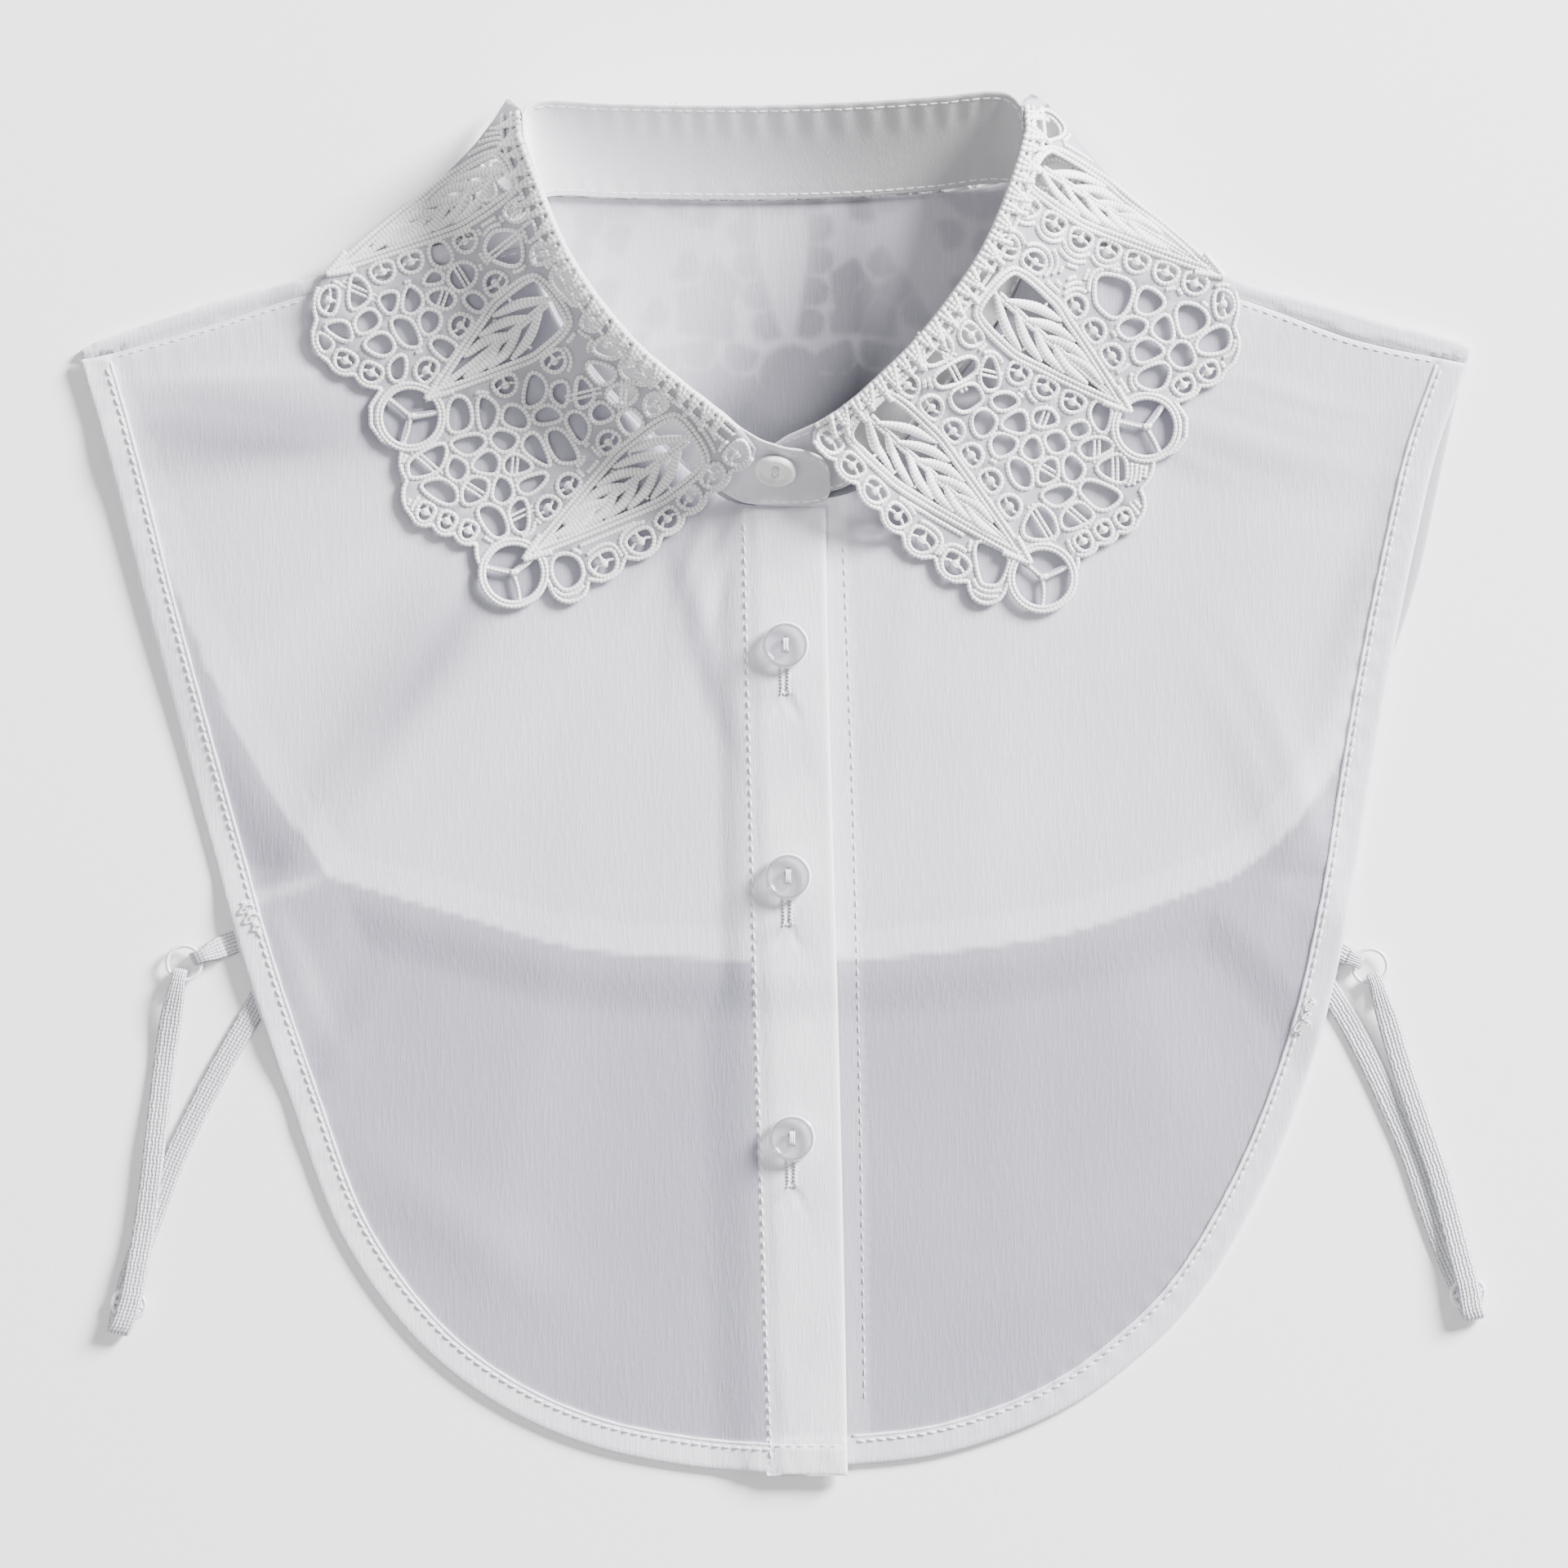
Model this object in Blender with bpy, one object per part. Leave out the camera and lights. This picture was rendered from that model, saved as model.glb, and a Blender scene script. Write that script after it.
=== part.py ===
"""False collar (button-front dickey) with a fold-over guipure lace collar.

The garment lies on its back, face up, on a flat surface at z = 0.
+X is the viewer's right, +Y points to the back of the neck, +Z is up.
All tables and sizes are in millimetres; objects are made in metres.
Every cloth piece is a wall that rests on the pieces below it.
"""
import math

import bmesh
import bpy
import numpy as np
from mathutils import Vector
from mathutils.geometry import delaunay_2d_cdt

MM = 0.001

# Walls and clearances
WALL = 1.0
GAP = 0.32
SPARE = 0.12
CLOSEST = 0.3

# How a wall comes down where the wall below it ends
RAMP_START = 2.5
RAMP_END = 16.0
EDGE_ROW_STEP = 9.0
EDGE_ROW_OUT = 1.2

# Panel grid and hems
GRID = 14.0
OUTLINE_STEP = 8.0
HEM_WIDTH = 7.0
HEM_RISE = 0.45
SHOULDER_STEP = 1.3

# Lace
LACE_FALL = 27.0
LACE_LIFT = 0.4
ROLL_RISE = 1.8
LACE_WEB = 1.7
LACE_MIN_GAP = 4.0
LACE_EDGE_WEB = 1.35
BACK_CELLS_LEFT_WHOLE = 10
LEAF_WEB = 0.9
LEAF_POINTS = 13
LEAF_TAPER = 1.45
LEAF_BASE = 0.78
CELL_STEP = 7.2
CELL_SHIFT = 1.3
SCALLOP_STEP = 7.4
SCALLOP_OUT = 3.5
RING_RADIUS = 8.7
RING_CORD = 1.9

# Buttons: 18 ligne on the front, 16 ligne on the stand
BUTTON_RADIUS = 5.7
STAND_BUTTON_RADIUS = 5.0
BUTTON_THICKNESS = 2.0
BUTTON_RIM = 0.9
BUTTON_HOLE_RADIUS = 0.85
BUTTON_HOLE_OFFSET = 1.35
BUTTON_SIDES = 20

# Elastic, rings and sliders
ELASTIC_WIDTH = 5.4
RING_EYE_RADIUS = 4.2
RING_WIRE_RADIUS = 0.5
RING_SEAT = 1.9
STRAP_STATIONS = 1.9

# Finishes: colour, roughness, metallic, clear share
FINISHES = {
    "cloth": ((0.72, 0.72, 0.75), 0.85, 0.0, 0.0),
    "lace": ((0.80, 0.79, 0.77), 0.75, 0.0, 0.0),
    "clear_button": ((0.75, 0.76, 0.78), 0.12, 0.0, 0.7),
    "white_button": ((0.82, 0.82, 0.80), 0.25, 0.0, 0.0),
    "elastic": ((0.76, 0.76, 0.77), 0.8, 0.0, 0.0),
    "nylon": ((0.85, 0.85, 0.86), 0.3, 0.0, 0.0),
}

# Outer hem of the viewer's left front, shoulder tip to placket: x, y
LEFT_HEM = [
    (-172.7, 103.7), (-165.9, 79.9), (-157.9, 47.9), (-149.3, 15.9), (-140.5, -16.1), (-132.3, -45.1),
    (-121.5, -77.7), (-109.5, -109.7), (-92.3, -134.5), (-72.3, -151.1), (-48.5, -162.1),
    (-22.3, -167.5), (2.7, -169.1), (15.3, -169.3),
]
# Outer hem of the viewer's right front, shoulder tip to centre: x, y
RIGHT_HEM = [
    (167.1, 102.7), (159.7, 81.9), (155.3, 63.9), (148.7, 31.9), (143.1, -0.1), (137.9, -32.1),
    (130.3, -64.1), (118.1, -96.1), (101.3, -125.1), (82.5, -143.7), (63.9, -155.5), (40.9, -163.7),
    (19.7, -166.7), (-2.7, -167.3),
]
# Shoulder seams on the face, neck to shoulder tip: x, y
LEFT_SHOULDER_SEAM = [(-61.9, 131.9), (-114.1, 120.5), (-142.3, 111.9), (-165.5, 105.3), (-172.7, 104.0)]
RIGHT_SHOULDER_SEAM = [(60.3, 131.9), (109.3, 119.3), (138.3, 109.1), (160.1, 104.3), (167.1, 102.9)]
# Neck seam of the fronts, shoulder to centre front: x, y
LEFT_NECK = [
    (-61.9, 131.9), (-59.1, 121.5), (-50.7, 105.5), (-41.1, 93.5), (-31.1, 83.5), (-20.7, 74.3),
    (-11.3, 68.5), (9.9, 67.5),
]
RIGHT_NECK = [
    (60.3, 131.9), (57.1, 121.5), (51.1, 111.1), (42.9, 99.5), (33.3, 88.3), (24.1, 78.3), (14.5, 70.7),
    (-7.3, 69.1),
]
# Middle of the right front's hidden edge under the placket: x, y
RIGHT_FRONT_EDGE = (-5.9, -48.1)
# Back panel: upper edge at the neck, the two shoulder folds, and the short lower edge: x, y
BACK_NECK = [(-57.9, 143.7), (-40.3, 143.1), (-2.3, 142.7), (35.7, 144.5), (55.3, 147.3)]
RIGHT_SHOULDER_FOLD = [
    (60.1, 135.7), (109.3, 123.5), (120.7, 120.7), (136.7, 116.3), (160.5, 109.3), (168.1, 107.1),
]
BACK_RIGHT_SIDE = [
    (168.1, 107.1), (164.3, 93.9), (159.5, 71.5), (154.7, 50.1), (147.1, 27.9), (135.7, 5.9),
    (122.7, -12.1), (109.3, -22.9),
]
BACK_LOWER = [
    (109.3, -22.9), (75.7, -34.7), (51.7, -39.5), (14.5, -43.1), (-24.3, -42.5), (-53.3, -39.7),
    (-77.1, -32.9), (-111.5, -22.9),
]
BACK_LEFT_SIDE = [
    (-111.5, -22.9), (-117.9, -13.1), (-124.3, -5.1), (-132.3, 8.9), (-138.3, 21.9), (-143.7, 33.9),
    (-149.3, 47.9), (-155.3, 63.9), (-162.3, 81.9), (-168.3, 95.9), (-172.7, 105.9),
]
LEFT_SHOULDER_FOLD = [
    (-172.7, 105.9), (-167.1, 108.7), (-149.1, 114.7), (-138.5, 118.3), (-114.1, 124.3), (-62.3, 137.5),
]
# Placket on the viewer's left front: x of its left and right edge at a y
PLACKET_SIDES = [
    ((-11.3, 9.9), 67.5), ((-10.7, 10.3), 39.9), ((-9.7, 11.3), -0.1), ((-8.7, 12.5), -40.1),
    ((-7.5, 13.5), -80.1), ((-6.1, 14.5), -124.1), ((-4.5, 15.3), -169.3),
]
# Soft folds of the fronts: centre x, y, length, width, direction in degrees, height
FRONT_FOLDS = [
    (-137.3, 84.9, 55.0, 13.0, 10.0, 1.5),
    (-98.3, 19.9, 95.0, 16.0, 62.0, 1.6),
    (-19.9, 51.9, 45.0, 8.0, 78.0, 0.9),
    (112.7, 82.9, 48.0, 12.0, -14.0, 1.4),
    (124.7, -10.1, 60.0, 14.0, -64.0, 1.2),
    (-80.3, -108.1, 55.0, 15.0, -38.0, 0.8),
    (65.7, -120.1, 55.0, 15.0, 34.0, 0.8),
]

# Collar stand from the button tab, round the back of the neck, to the end under the tab:
# top edge x, y, z; seam edge x, y, z; how far the middle sags below the straight line
STAND = [
    (10.9, 75.9, 13.0, 10.9, 71.9, 7.4, 0.3),
    (9.7, 78.5, 16.5, 9.9, 69.7, 6.5, 1.4),
    (5.7, 80.7, 19.5, 6.1, 68.3, 6.3, 3.0),
    (-2.3, 82.3, 20.5, -2.3, 68.1, 6.2, 3.8),
    (-9.3, 85.5, 20.5, -11.3, 69.1, 6.1, 3.2),
    (-16.7, 91.5, 20.5, -20.7, 75.5, 5.4, 2.0),
    (-25.7, 98.5, 20.5, -30.7, 84.7, 4.9, 1.5),
    (-35.7, 107.1, 21.0, -40.7, 94.7, 4.8, 1.0),
    (-44.7, 117.5, 21.5, -49.9, 106.3, 4.8, 1.0),
    (-51.7, 127.9, 22.0, -56.7, 117.9, 4.8, 0.5),
    (-56.7, 138.3, 22.5, -60.5, 127.9, 4.8, 0.0),
    (-61.3, 150.9, 22.5, -61.9, 136.9, 4.8, 0.0),
    (-64.3, 160.3, 22.0, -60.3, 142.5, 4.3, 0.5),
    (-60.3, 166.1, 21.0, -53.9, 143.9, 4.1, 1.0),
    (-43.3, 165.7, 20.0, -41.3, 143.3, 3.9, 1.0),
    (-22.7, 165.3, 19.5, -22.3, 142.9, 3.9, 1.0),
    (-2.3, 165.3, 19.5, -2.3, 142.9, 3.9, 1.0),
    (17.7, 165.9, 19.5, 17.7, 143.5, 3.9, 1.0),
    (36.7, 167.1, 20.0, 35.7, 144.9, 3.9, 1.0),
    (53.3, 168.1, 21.0, 48.7, 146.7, 4.1, 1.0),
    (58.1, 161.5, 22.0, 56.7, 146.3, 4.3, 0.5),
    (56.1, 151.5, 22.5, 60.1, 140.5, 4.8, 0.0),
    (52.1, 139.5, 22.5, 60.1, 130.9, 4.8, 0.0),
    (46.9, 128.7, 22.0, 56.3, 121.5, 4.8, 0.5),
    (40.3, 119.1, 21.5, 50.7, 111.9, 4.8, 1.0),
    (32.1, 108.7, 21.0, 42.1, 100.7, 4.8, 1.0),
    (23.3, 99.9, 20.5, 32.5, 89.5, 4.8, 1.5),
    (14.9, 92.5, 19.5, 23.3, 79.5, 4.2, 2.0),
    (7.7, 87.9, 17.5, 14.5, 72.5, 3.6, 2.6),
    (1.3, 85.1, 15.0, 4.7, 71.1, 3.4, 2.6),
    (-3.3, 82.3, 12.0, -2.3, 71.9, 3.4, 1.8),
]
STAND_STATIONS = 56
SEAM_WEIGHT = 0.35

# Free edge of the lace, as arcs from anchor to anchor: x, y, scallops to the next anchor, their bulge
LEFT_LACE_EDGE = [
    (-7.1, 81.5, 4, 1.6), (-29.9, 60.3, 2, 2.6), (-47.9, 49.5, 1, 5.6), (-57.9, 49.5, 1, 8.2),
    (-74.9, 53.1, 1, 0.6), (-75.9, 58.3, 3, 1.3), (-91.7, 65.1, 1, 1.6), (-93.1, 74.3, 1, 1.2),
    (-93.9, 81.9, 1, 5.6), (-99.1, 96.7, 2, 1.4), (-111.9, 102.7, 1, 2.4), (-115.1, 113.5, 1, 1.4),
    (-113.1, 123.9, 0, 0.0),
]
RIGHT_LACE_EDGE = [
    (6.1, 84.9, 4, 1.6), (28.1, 60.9, 2, 2.6), (44.5, 49.1, 1, 5.4), (54.3, 48.7, 1, 8.2),
    (71.3, 51.9, 1, 0.6), (71.7, 55.5, 3, 1.3), (86.7, 63.9, 1, 1.4), (87.3, 71.9, 1, 1.0),
    (90.5, 79.3, 1, 5.6), (95.7, 93.5, 2, 1.4), (107.7, 100.3, 1, 2.4), (110.1, 111.9, 1, 1.4),
    (109.3, 122.9, 0, 0.0),
]
# Where the lace turns over the shoulder, shoulder to back corner: x, y
LEFT_LACE_TURN = [
    (-113.1, 123.9), (-103.5, 132.7), (-96.3, 139.5), (-85.5, 147.1), (-74.7, 157.9), (-67.9, 167.9),
]
RIGHT_LACE_TURN = [
    (109.3, 122.9), (102.1, 127.9), (92.5, 135.7), (84.1, 143.5), (74.7, 153.9), (66.1, 164.7),
    (60.1, 169.1),
]
# Free edge of the lace under the back panel: x, y, scallops to the next anchor, their bulge
BACK_LACE_EDGE = [
    (-111.5, 121.9, 2, 2.0), (-95.1, 110.3, 3, 2.0), (-64.3, 107.9, 2, 2.6), (-43.9, 98.3, 3, 2.2),
    (-16.3, 103.9, 1, 2.2), (-7.3, 100.3, 1, 7.4), (9.7, 100.3, 1, 2.2), (17.7, 103.9, 3, 2.2),
    (43.7, 98.3, 2, 2.6), (63.7, 107.9, 3, 2.0), (92.5, 110.3, 2, 2.0), (107.7, 121.1, 0, 0.0),
]
# Leaves of the lace: base x, y, tip x, y, half width at the base
LEFT_LEAVES = [
    (-21.5, 85.3, -62.9, 55.6, 8.4), (-55.3, 118.9, -86.9, 94.9, 8.5),
    (-66.3, 149.9, -111.0, 125.1, 6.5),
]
RIGHT_LEAVES = [
    (18.6, 91.3, 59.0, 54.8, 8.4), (49.7, 120.9, 83.5, 91.7, 8.5), (59.9, 150.9, 106.0, 124.5, 6.5),
]
BACK_LEAVES = [
    (-1.3, 139.5, 0.9, 108.3, 6.0), (-28.3, 139.5, -41.9, 107.9, 6.0), (27.7, 140.9, 42.1, 107.9, 6.0),
    (-54.3, 139.5, -79.1, 117.5, 6.0), (53.3, 140.9, 77.7, 117.5, 6.0),
]
# Large rings at the leaf tips: centre x, y, direction of the leaf in degrees
LEFT_RINGS = [(-66.5, 51.5, 218.0), (-91.7, 89.7, 190.0)]
RIGHT_RINGS = [(62.9, 50.3, -40.0), (88.3, 87.1, -12.0)]
BACK_RINGS = [(1.1, 99.5, -90.0)]

# Button centres on the placket: x, y
BUTTONS = [(0.1, 33.9), (0.7, -22.7), (1.7, -86.7)]
# Button on the stand tab: x, y, z of its seat, tilt about X in degrees, turn about Z in degrees
STAND_BUTTON = (-2.3, 76.9, 14.4, 50.0, -8.0)

# Side straps: x, y, height of the middle of the elastic, heading in degrees, width share
LEFT_STRAP = [
    (-113.9, -26.5, 0.52, 235, 1.0), (-122.3, -40.1, 0.52, 238, 1.0), (-129.7, -54.5, 0.52, 240, 1.0),
    (-137.1, -67.3, 0.52, 241, 1.0), (-143.5, -79.3, 0.52, 243, 1.0), (-149.5, -91.7, 0.52, 246, 1.0),
    (-154.9, -106.1, 0.52, 252, 1.0), (-159.1, -117.1, 0.52, 255, 1.0),
    (-161.7, -126.1, 0.52, 257, 1.0), (-162.9, -132.1, 0.6, 259, 1.0), (-163.3, -133.9, 1.15, 259, 1.0),
    (-163.3, -134.5, 2.1, 260, 1.0), (-162.9, -133.7, 3.05, 260, 1.0), (-161.9, -131.7, 3.4, 260, 1.0),
    (-160.1, -126.1, 3.4, 262, 1.0), (-158.7, -119.1, 2.9, 262, 1.0), (-157.1, -110.1, 2.1, 263, 1.0),
    (-155.7, -100.1, 1.9, 264, 1.0), (-154.3, -88.1, 1.9, 265, 1.0), (-152.9, -76.1, 1.2, 264, 1.0),
    (-151.7, -66.1, 1.0, 264, 1.0), (-150.3, -57.1, 2.0, 262, 1.0), (-149.1, -51.1, 3.1, 262, 0.8),
    (-148.5, -48.1, 3.35, 260, 0.63), (-148.0, -46.2, 2.9, 260, 0.63), (-147.9, -45.7, 1.9, 260, 0.63),
    (-148.0, -46.2, 0.9, 260, 0.63), (-148.5, -48.1, 0.52, 260, 0.7), (-149.3, -52.5, 0.52, 262, 0.8),
]
RIGHT_STRAP = [
    (111.7, -26.5, 0.52, 305, 1.0), (125.7, -40.1, 0.52, 303, 1.0), (135.7, -54.5, 0.52, 300, 1.0),
    (142.1, -66.1, 0.52, 299, 1.0), (148.3, -79.3, 0.52, 298, 1.0), (153.1, -90.5, 0.52, 295, 1.0),
    (157.7, -104.1, 0.52, 290, 1.0), (162.1, -116.1, 0.52, 287, 1.0), (165.7, -124.1, 0.52, 285, 1.0),
    (167.9, -128.9, 0.6, 284, 1.0), (168.5, -130.5, 1.15, 284, 1.0), (168.7, -130.9, 2.1, 283, 1.0),
    (168.5, -130.1, 3.05, 283, 1.0), (167.9, -128.1, 3.4, 283, 1.0), (167.1, -123.1, 3.4, 283, 1.0),
    (165.3, -116.1, 2.9, 283, 1.0), (162.7, -106.1, 2.1, 285, 1.0), (159.9, -96.1, 1.9, 288, 1.0),
    (156.9, -87.3, 1.9, 291, 1.0), (153.5, -77.3, 1.9, 291, 1.0), (150.5, -68.1, 1.6, 289, 1.0),
    (147.9, -59.3, 2.2, 286, 1.0), (145.7, -52.5, 3.1, 284, 0.8), (144.8, -49.3, 3.35, 288, 0.63),
    (144.0, -47.1, 2.9, 288, 0.63), (143.8, -46.6, 1.9, 288, 0.63), (144.0, -47.1, 0.9, 288, 0.63),
    (144.8, -49.3, 0.52, 287, 0.7), (146.1, -53.7, 0.52, 286, 0.8),
]
# Short tabs that hold the rings: same columns
LEFT_TAB = [
    (-129.9, -37.3, 0.52, 200, 1.0), (-134.3, -38.7, 0.52, 201, 1.0), (-139.3, -40.7, 0.52, 203, 1.0),
    (-142.5, -42.0, 0.52, 204, 0.72), (-144.5, -42.8, 0.9, 204, 0.63), (-145.0, -43.0, 1.9, 204, 0.63),
    (-144.5, -42.8, 2.9, 204, 0.63), (-142.3, -41.9, 3.35, 204, 0.63), (-139.9, -40.9, 2.6, 203, 0.9),
    (-137.5, -39.9, 1.9, 202, 1.0),
]
RIGHT_TAB = [
    (133.3, -40.1, 0.52, -20, 1.0), (135.7, -41.1, 0.52, -22, 1.0), (137.3, -42.0, 0.52, -24, 0.95),
    (138.9, -42.7, 0.52, -24, 0.72), (140.5, -43.6, 0.9, -23, 0.63), (141.0, -43.8, 1.9, -23, 0.63),
    (140.5, -43.6, 2.9, -23, 0.63), (138.9, -42.9, 3.35, -24, 0.63), (137.5, -42.3, 3.3, -24, 0.8),
]
# Rings the elastic runs through, and sliders at the loop ends: x, y, turn in degrees
EYES = {"ring_left": (-147.1, -43.9), "ring_right": (143.1, -44.7)}
SLIDERS = {"slider_left": (-160.7, -127.5, -13.0), "slider_right": (167.1, -124.7, 14.0)}
SLIDER_SIZE = (8.8, 7.0)
SLIDER_BAR = 1.1
SLIDER_THICKNESS = 1.0
SLIDER_SEAT = 1.42

# Parts of the stand's line: seam rows that lie behind the neck, and the lace's two roll lines
SEAM_BACK_Y = 142.3
LEFT_ROLL_SPAN = ((-8.7, 85.1), (-65.1, 161.5))
RIGHT_ROLL_SPAN = ((58.1, 163.9), (7.7, 87.9))


# Plane geometry

def smooth_line(anchors, step=OUTLINE_STEP):
    """Even points along a Catmull-Rom curve through the anchors, ends included."""
    pts = np.array(anchors, float)
    padded = np.vstack([2 * pts[0] - pts[1], pts, 2 * pts[-1] - pts[-2]])
    fine = []
    for i in range(len(pts) - 1):
        p0, p1, p2, p3 = padded[i:i + 4]
        for t in np.linspace(0.0, 1.0, 16, endpoint=False):
            fine.append(0.5 * (2 * p1 + (p2 - p0) * t + (2 * p0 - 5 * p1 + 4 * p2 - p3) * t ** 2
                               + (3 * p1 - p0 - 3 * p2 + p3) * t ** 3))
    fine.append(pts[-1])
    return resample(np.array(fine), step)


def resample(line, step):
    """The same open line with points at an even step."""
    lengths = np.concatenate([[0.0], np.cumsum(np.linalg.norm(np.diff(line, axis=0), axis=1))])
    count = max(2, int(round(lengths[-1] / step)) + 1)
    at = np.linspace(0.0, lengths[-1], count)
    return np.column_stack([np.interp(at, lengths, line[:, k]) for k in range(line.shape[1])])


def join_lines(*lines):
    """One closed loop from open lines that meet end to start."""
    loop = []
    for line in lines:
        for point in np.asarray(line, float):
            if not loop or np.linalg.norm(point - loop[-1]) > 0.25:
                loop.append(point)
    if np.linalg.norm(loop[0] - loop[-1]) < 0.25:
        loop.pop()
    return np.array(loop)


def line_distance(points, line):
    """Distance of each point to an open line."""
    points = np.asarray(points, float)
    line = np.asarray(line, float)
    start = line[:-1]
    run = line[1:] - start
    to_point = points[:, None, :] - start[None]
    t = np.clip((to_point * run).sum(2) / np.maximum((run * run).sum(1), 1e-12), 0.0, 1.0)
    return np.linalg.norm(to_point - t[:, :, None] * run, axis=2).min(1)


def inside(points, loop):
    """True for each point within a closed loop."""
    x, y = np.asarray(points, float).T
    hit = np.zeros(len(x), bool)
    for (x0, y0), (x1, y1) in zip(loop, np.roll(loop, -1, axis=0)):
        crosses = (y0 > y) != (y1 > y)
        slope = (x1 - x0) / (y1 - y0) if y1 != y0 else 0.0
        hit ^= crosses & (x < x0 + (y - y0) * slope)
    return hit


def outside_distance(points, loop):
    """Signed distance to a closed loop, positive outside."""
    closed = np.vstack([loop, loop[:1]])
    distance = line_distance(points, closed)
    return np.where(inside(points, loop), -distance, distance)


def ease(value):
    """Smooth step from 0 to 1."""
    t = np.clip(value, 0.0, 1.0)
    return t * t * (3.0 - 2.0 * t)


def grid_points(loop, step, inset):
    """Even triangular grid inside a loop, kept clear of its edge."""
    low = loop.min(0)
    high = loop.max(0)
    points = []
    for row, y in enumerate(np.arange(low[1], high[1], step * 0.866)):
        for x in np.arange(low[0] + (row % 2) * step / 2, high[0], step):
            points.append((x, y))
    points = np.array(points)
    return points[outside_distance(points, loop) < -inset]


def side_rows(line, offsets, loop, inset):
    """Copies of an open line moved to its right by each offset, cut where they leave a loop."""
    run = np.gradient(line, axis=0)
    run /= np.linalg.norm(run, axis=1)[:, None]
    right = np.column_stack([run[:, 1], -run[:, 0]])
    rows = []
    for offset in offsets:
        row = line + right * offset
        keep = outside_distance(row, loop) < -inset
        if keep.any():
            first, last = np.flatnonzero(keep)[[0, -1]]
            rows.append(row[first:last + 1])
    return rows


def arc_edge(anchors, points_per_arc=4):
    """Open edge from a table of anchors, with scallops as arcs that bulge to the left of the run."""
    edge = []
    for (x0, y0, count, bulge), (x1, y1, _, _) in zip(anchors[:-1], anchors[1:]):
        start = np.array([x0, y0])
        run = np.array([x1, y1]) - start
        if count == 0:
            edge.append(start)
            continue
        chord = np.linalg.norm(run) / count
        along = run / np.linalg.norm(run)
        out = np.array([-along[1], along[0]])
        radius = (chord * chord / 4 + bulge * bulge) / (2 * bulge)
        half_angle = math.acos(max(-1.0, min(1.0, (radius - bulge) / radius)))
        steps = points_per_arc if half_angle < 1.3 else points_per_arc * 2
        for lobe in range(count):
            middle = start + along * chord * (lobe + 0.5) - out * (radius - bulge)
            for k in range(steps):
                a = -half_angle + 2 * half_angle * k / steps
                edge.append(middle + radius * (out * math.cos(a) + along * math.sin(a)))
    edge.append(np.array(anchors[-1][:2]))
    return np.array(edge)


# Walls

def add_object(name, verts, faces, finish, smooth=False):
    """A named object with its own material from points in millimetres."""
    mesh = bpy.data.meshes.new(name)
    mesh.from_pydata([Vector(v) * MM for v in verts], [], faces)
    mesh.validate()
    work = bmesh.new()
    work.from_mesh(mesh)
    bmesh.ops.recalc_face_normals(work, faces=work.faces)
    work.to_mesh(mesh)
    work.free()
    if smooth:
        mesh.shade_smooth()
        mesh.set_sharp_from_angle(angle=math.radians(35))
    color, roughness, metallic, clear = FINISHES[finish]
    material = bpy.data.materials.new(name + "_finish")
    material.use_nodes = True
    shader = material.node_tree.nodes["Principled BSDF"]
    shader.inputs["Base Color"].default_value = (*color, 1.0)
    shader.inputs["Roughness"].default_value = roughness
    shader.inputs["Metallic"].default_value = metallic
    shader.inputs["Transmission Weight"].default_value = clear
    mesh.materials.append(material)
    obj = bpy.data.objects.new(name, mesh)
    bpy.context.scene.collection.objects.link(obj)
    return obj


def triangulate(loop, holes, extra, lines):
    """Triangles inside a loop and outside its holes, through the extra points and along the lines."""
    points = []
    edges = []
    for ring in [loop, *holes]:
        first = len(points)
        points.extend(map(tuple, ring))
        edges.extend((first + i, first + (i + 1) % len(ring)) for i in range(len(ring)))
    for line in lines:
        before = None
        for point in line:
            if np.linalg.norm(np.array(points) - point, axis=1).min() < CLOSEST:
                before = None
                continue
            points.append(tuple(point))
            if before is not None:
                edges.append((before, len(points) - 1))
            before = len(points) - 1
    for point in extra:
        if np.linalg.norm(np.array(points) - point, axis=1).min() > 2.0:
            points.append(tuple(point))
    verts, _, faces, _, _, _ = delaunay_2d_cdt([Vector(p) for p in points], edges, [], 0, 1e-4)
    verts = np.array([tuple(v) for v in verts])
    faces = np.array([tuple(f) for f in faces])
    centres = verts[faces].mean(1)
    keep = inside(centres, loop)
    for hole in holes:
        keep &= ~inside(centres, hole)
    return verts, faces[keep]


def make_wall(name, loop, bottom, top, finish, holes=(), extra=(), lines=(), smooth=True):
    """A closed wall over a plan area, between a bottom and a top height function."""
    verts, faces = triangulate(loop, holes, extra, lines)
    used = np.unique(faces)
    index = -np.ones(len(verts), int)
    index[used] = np.arange(len(used))
    verts = verts[used]
    faces = index[faces]
    low = bottom(verts)
    high = top(verts)
    count = len(verts)
    solid = [(x, y, z) for (x, y), z in zip(verts, low)] + [(x, y, z) for (x, y), z in zip(verts, high)]
    sides = {}
    for a, b, c in faces:
        for edge in ((a, b), (b, c), (c, a)):
            key = tuple(sorted(edge))
            sides[key] = None if key in sides else edge
    skin = [(int(c), int(b), int(a)) for a, b, c in faces]
    skin += [(int(a) + count, int(b) + count, int(c) + count) for a, b, c in faces]
    for edge in sides.values():
        if edge is not None:
            a, b = int(edge[0]), int(edge[1])
            skin += [(a, b, b + count), (a, b + count, a + count)]
    return add_object(name, solid, skin, finish, smooth)


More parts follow.
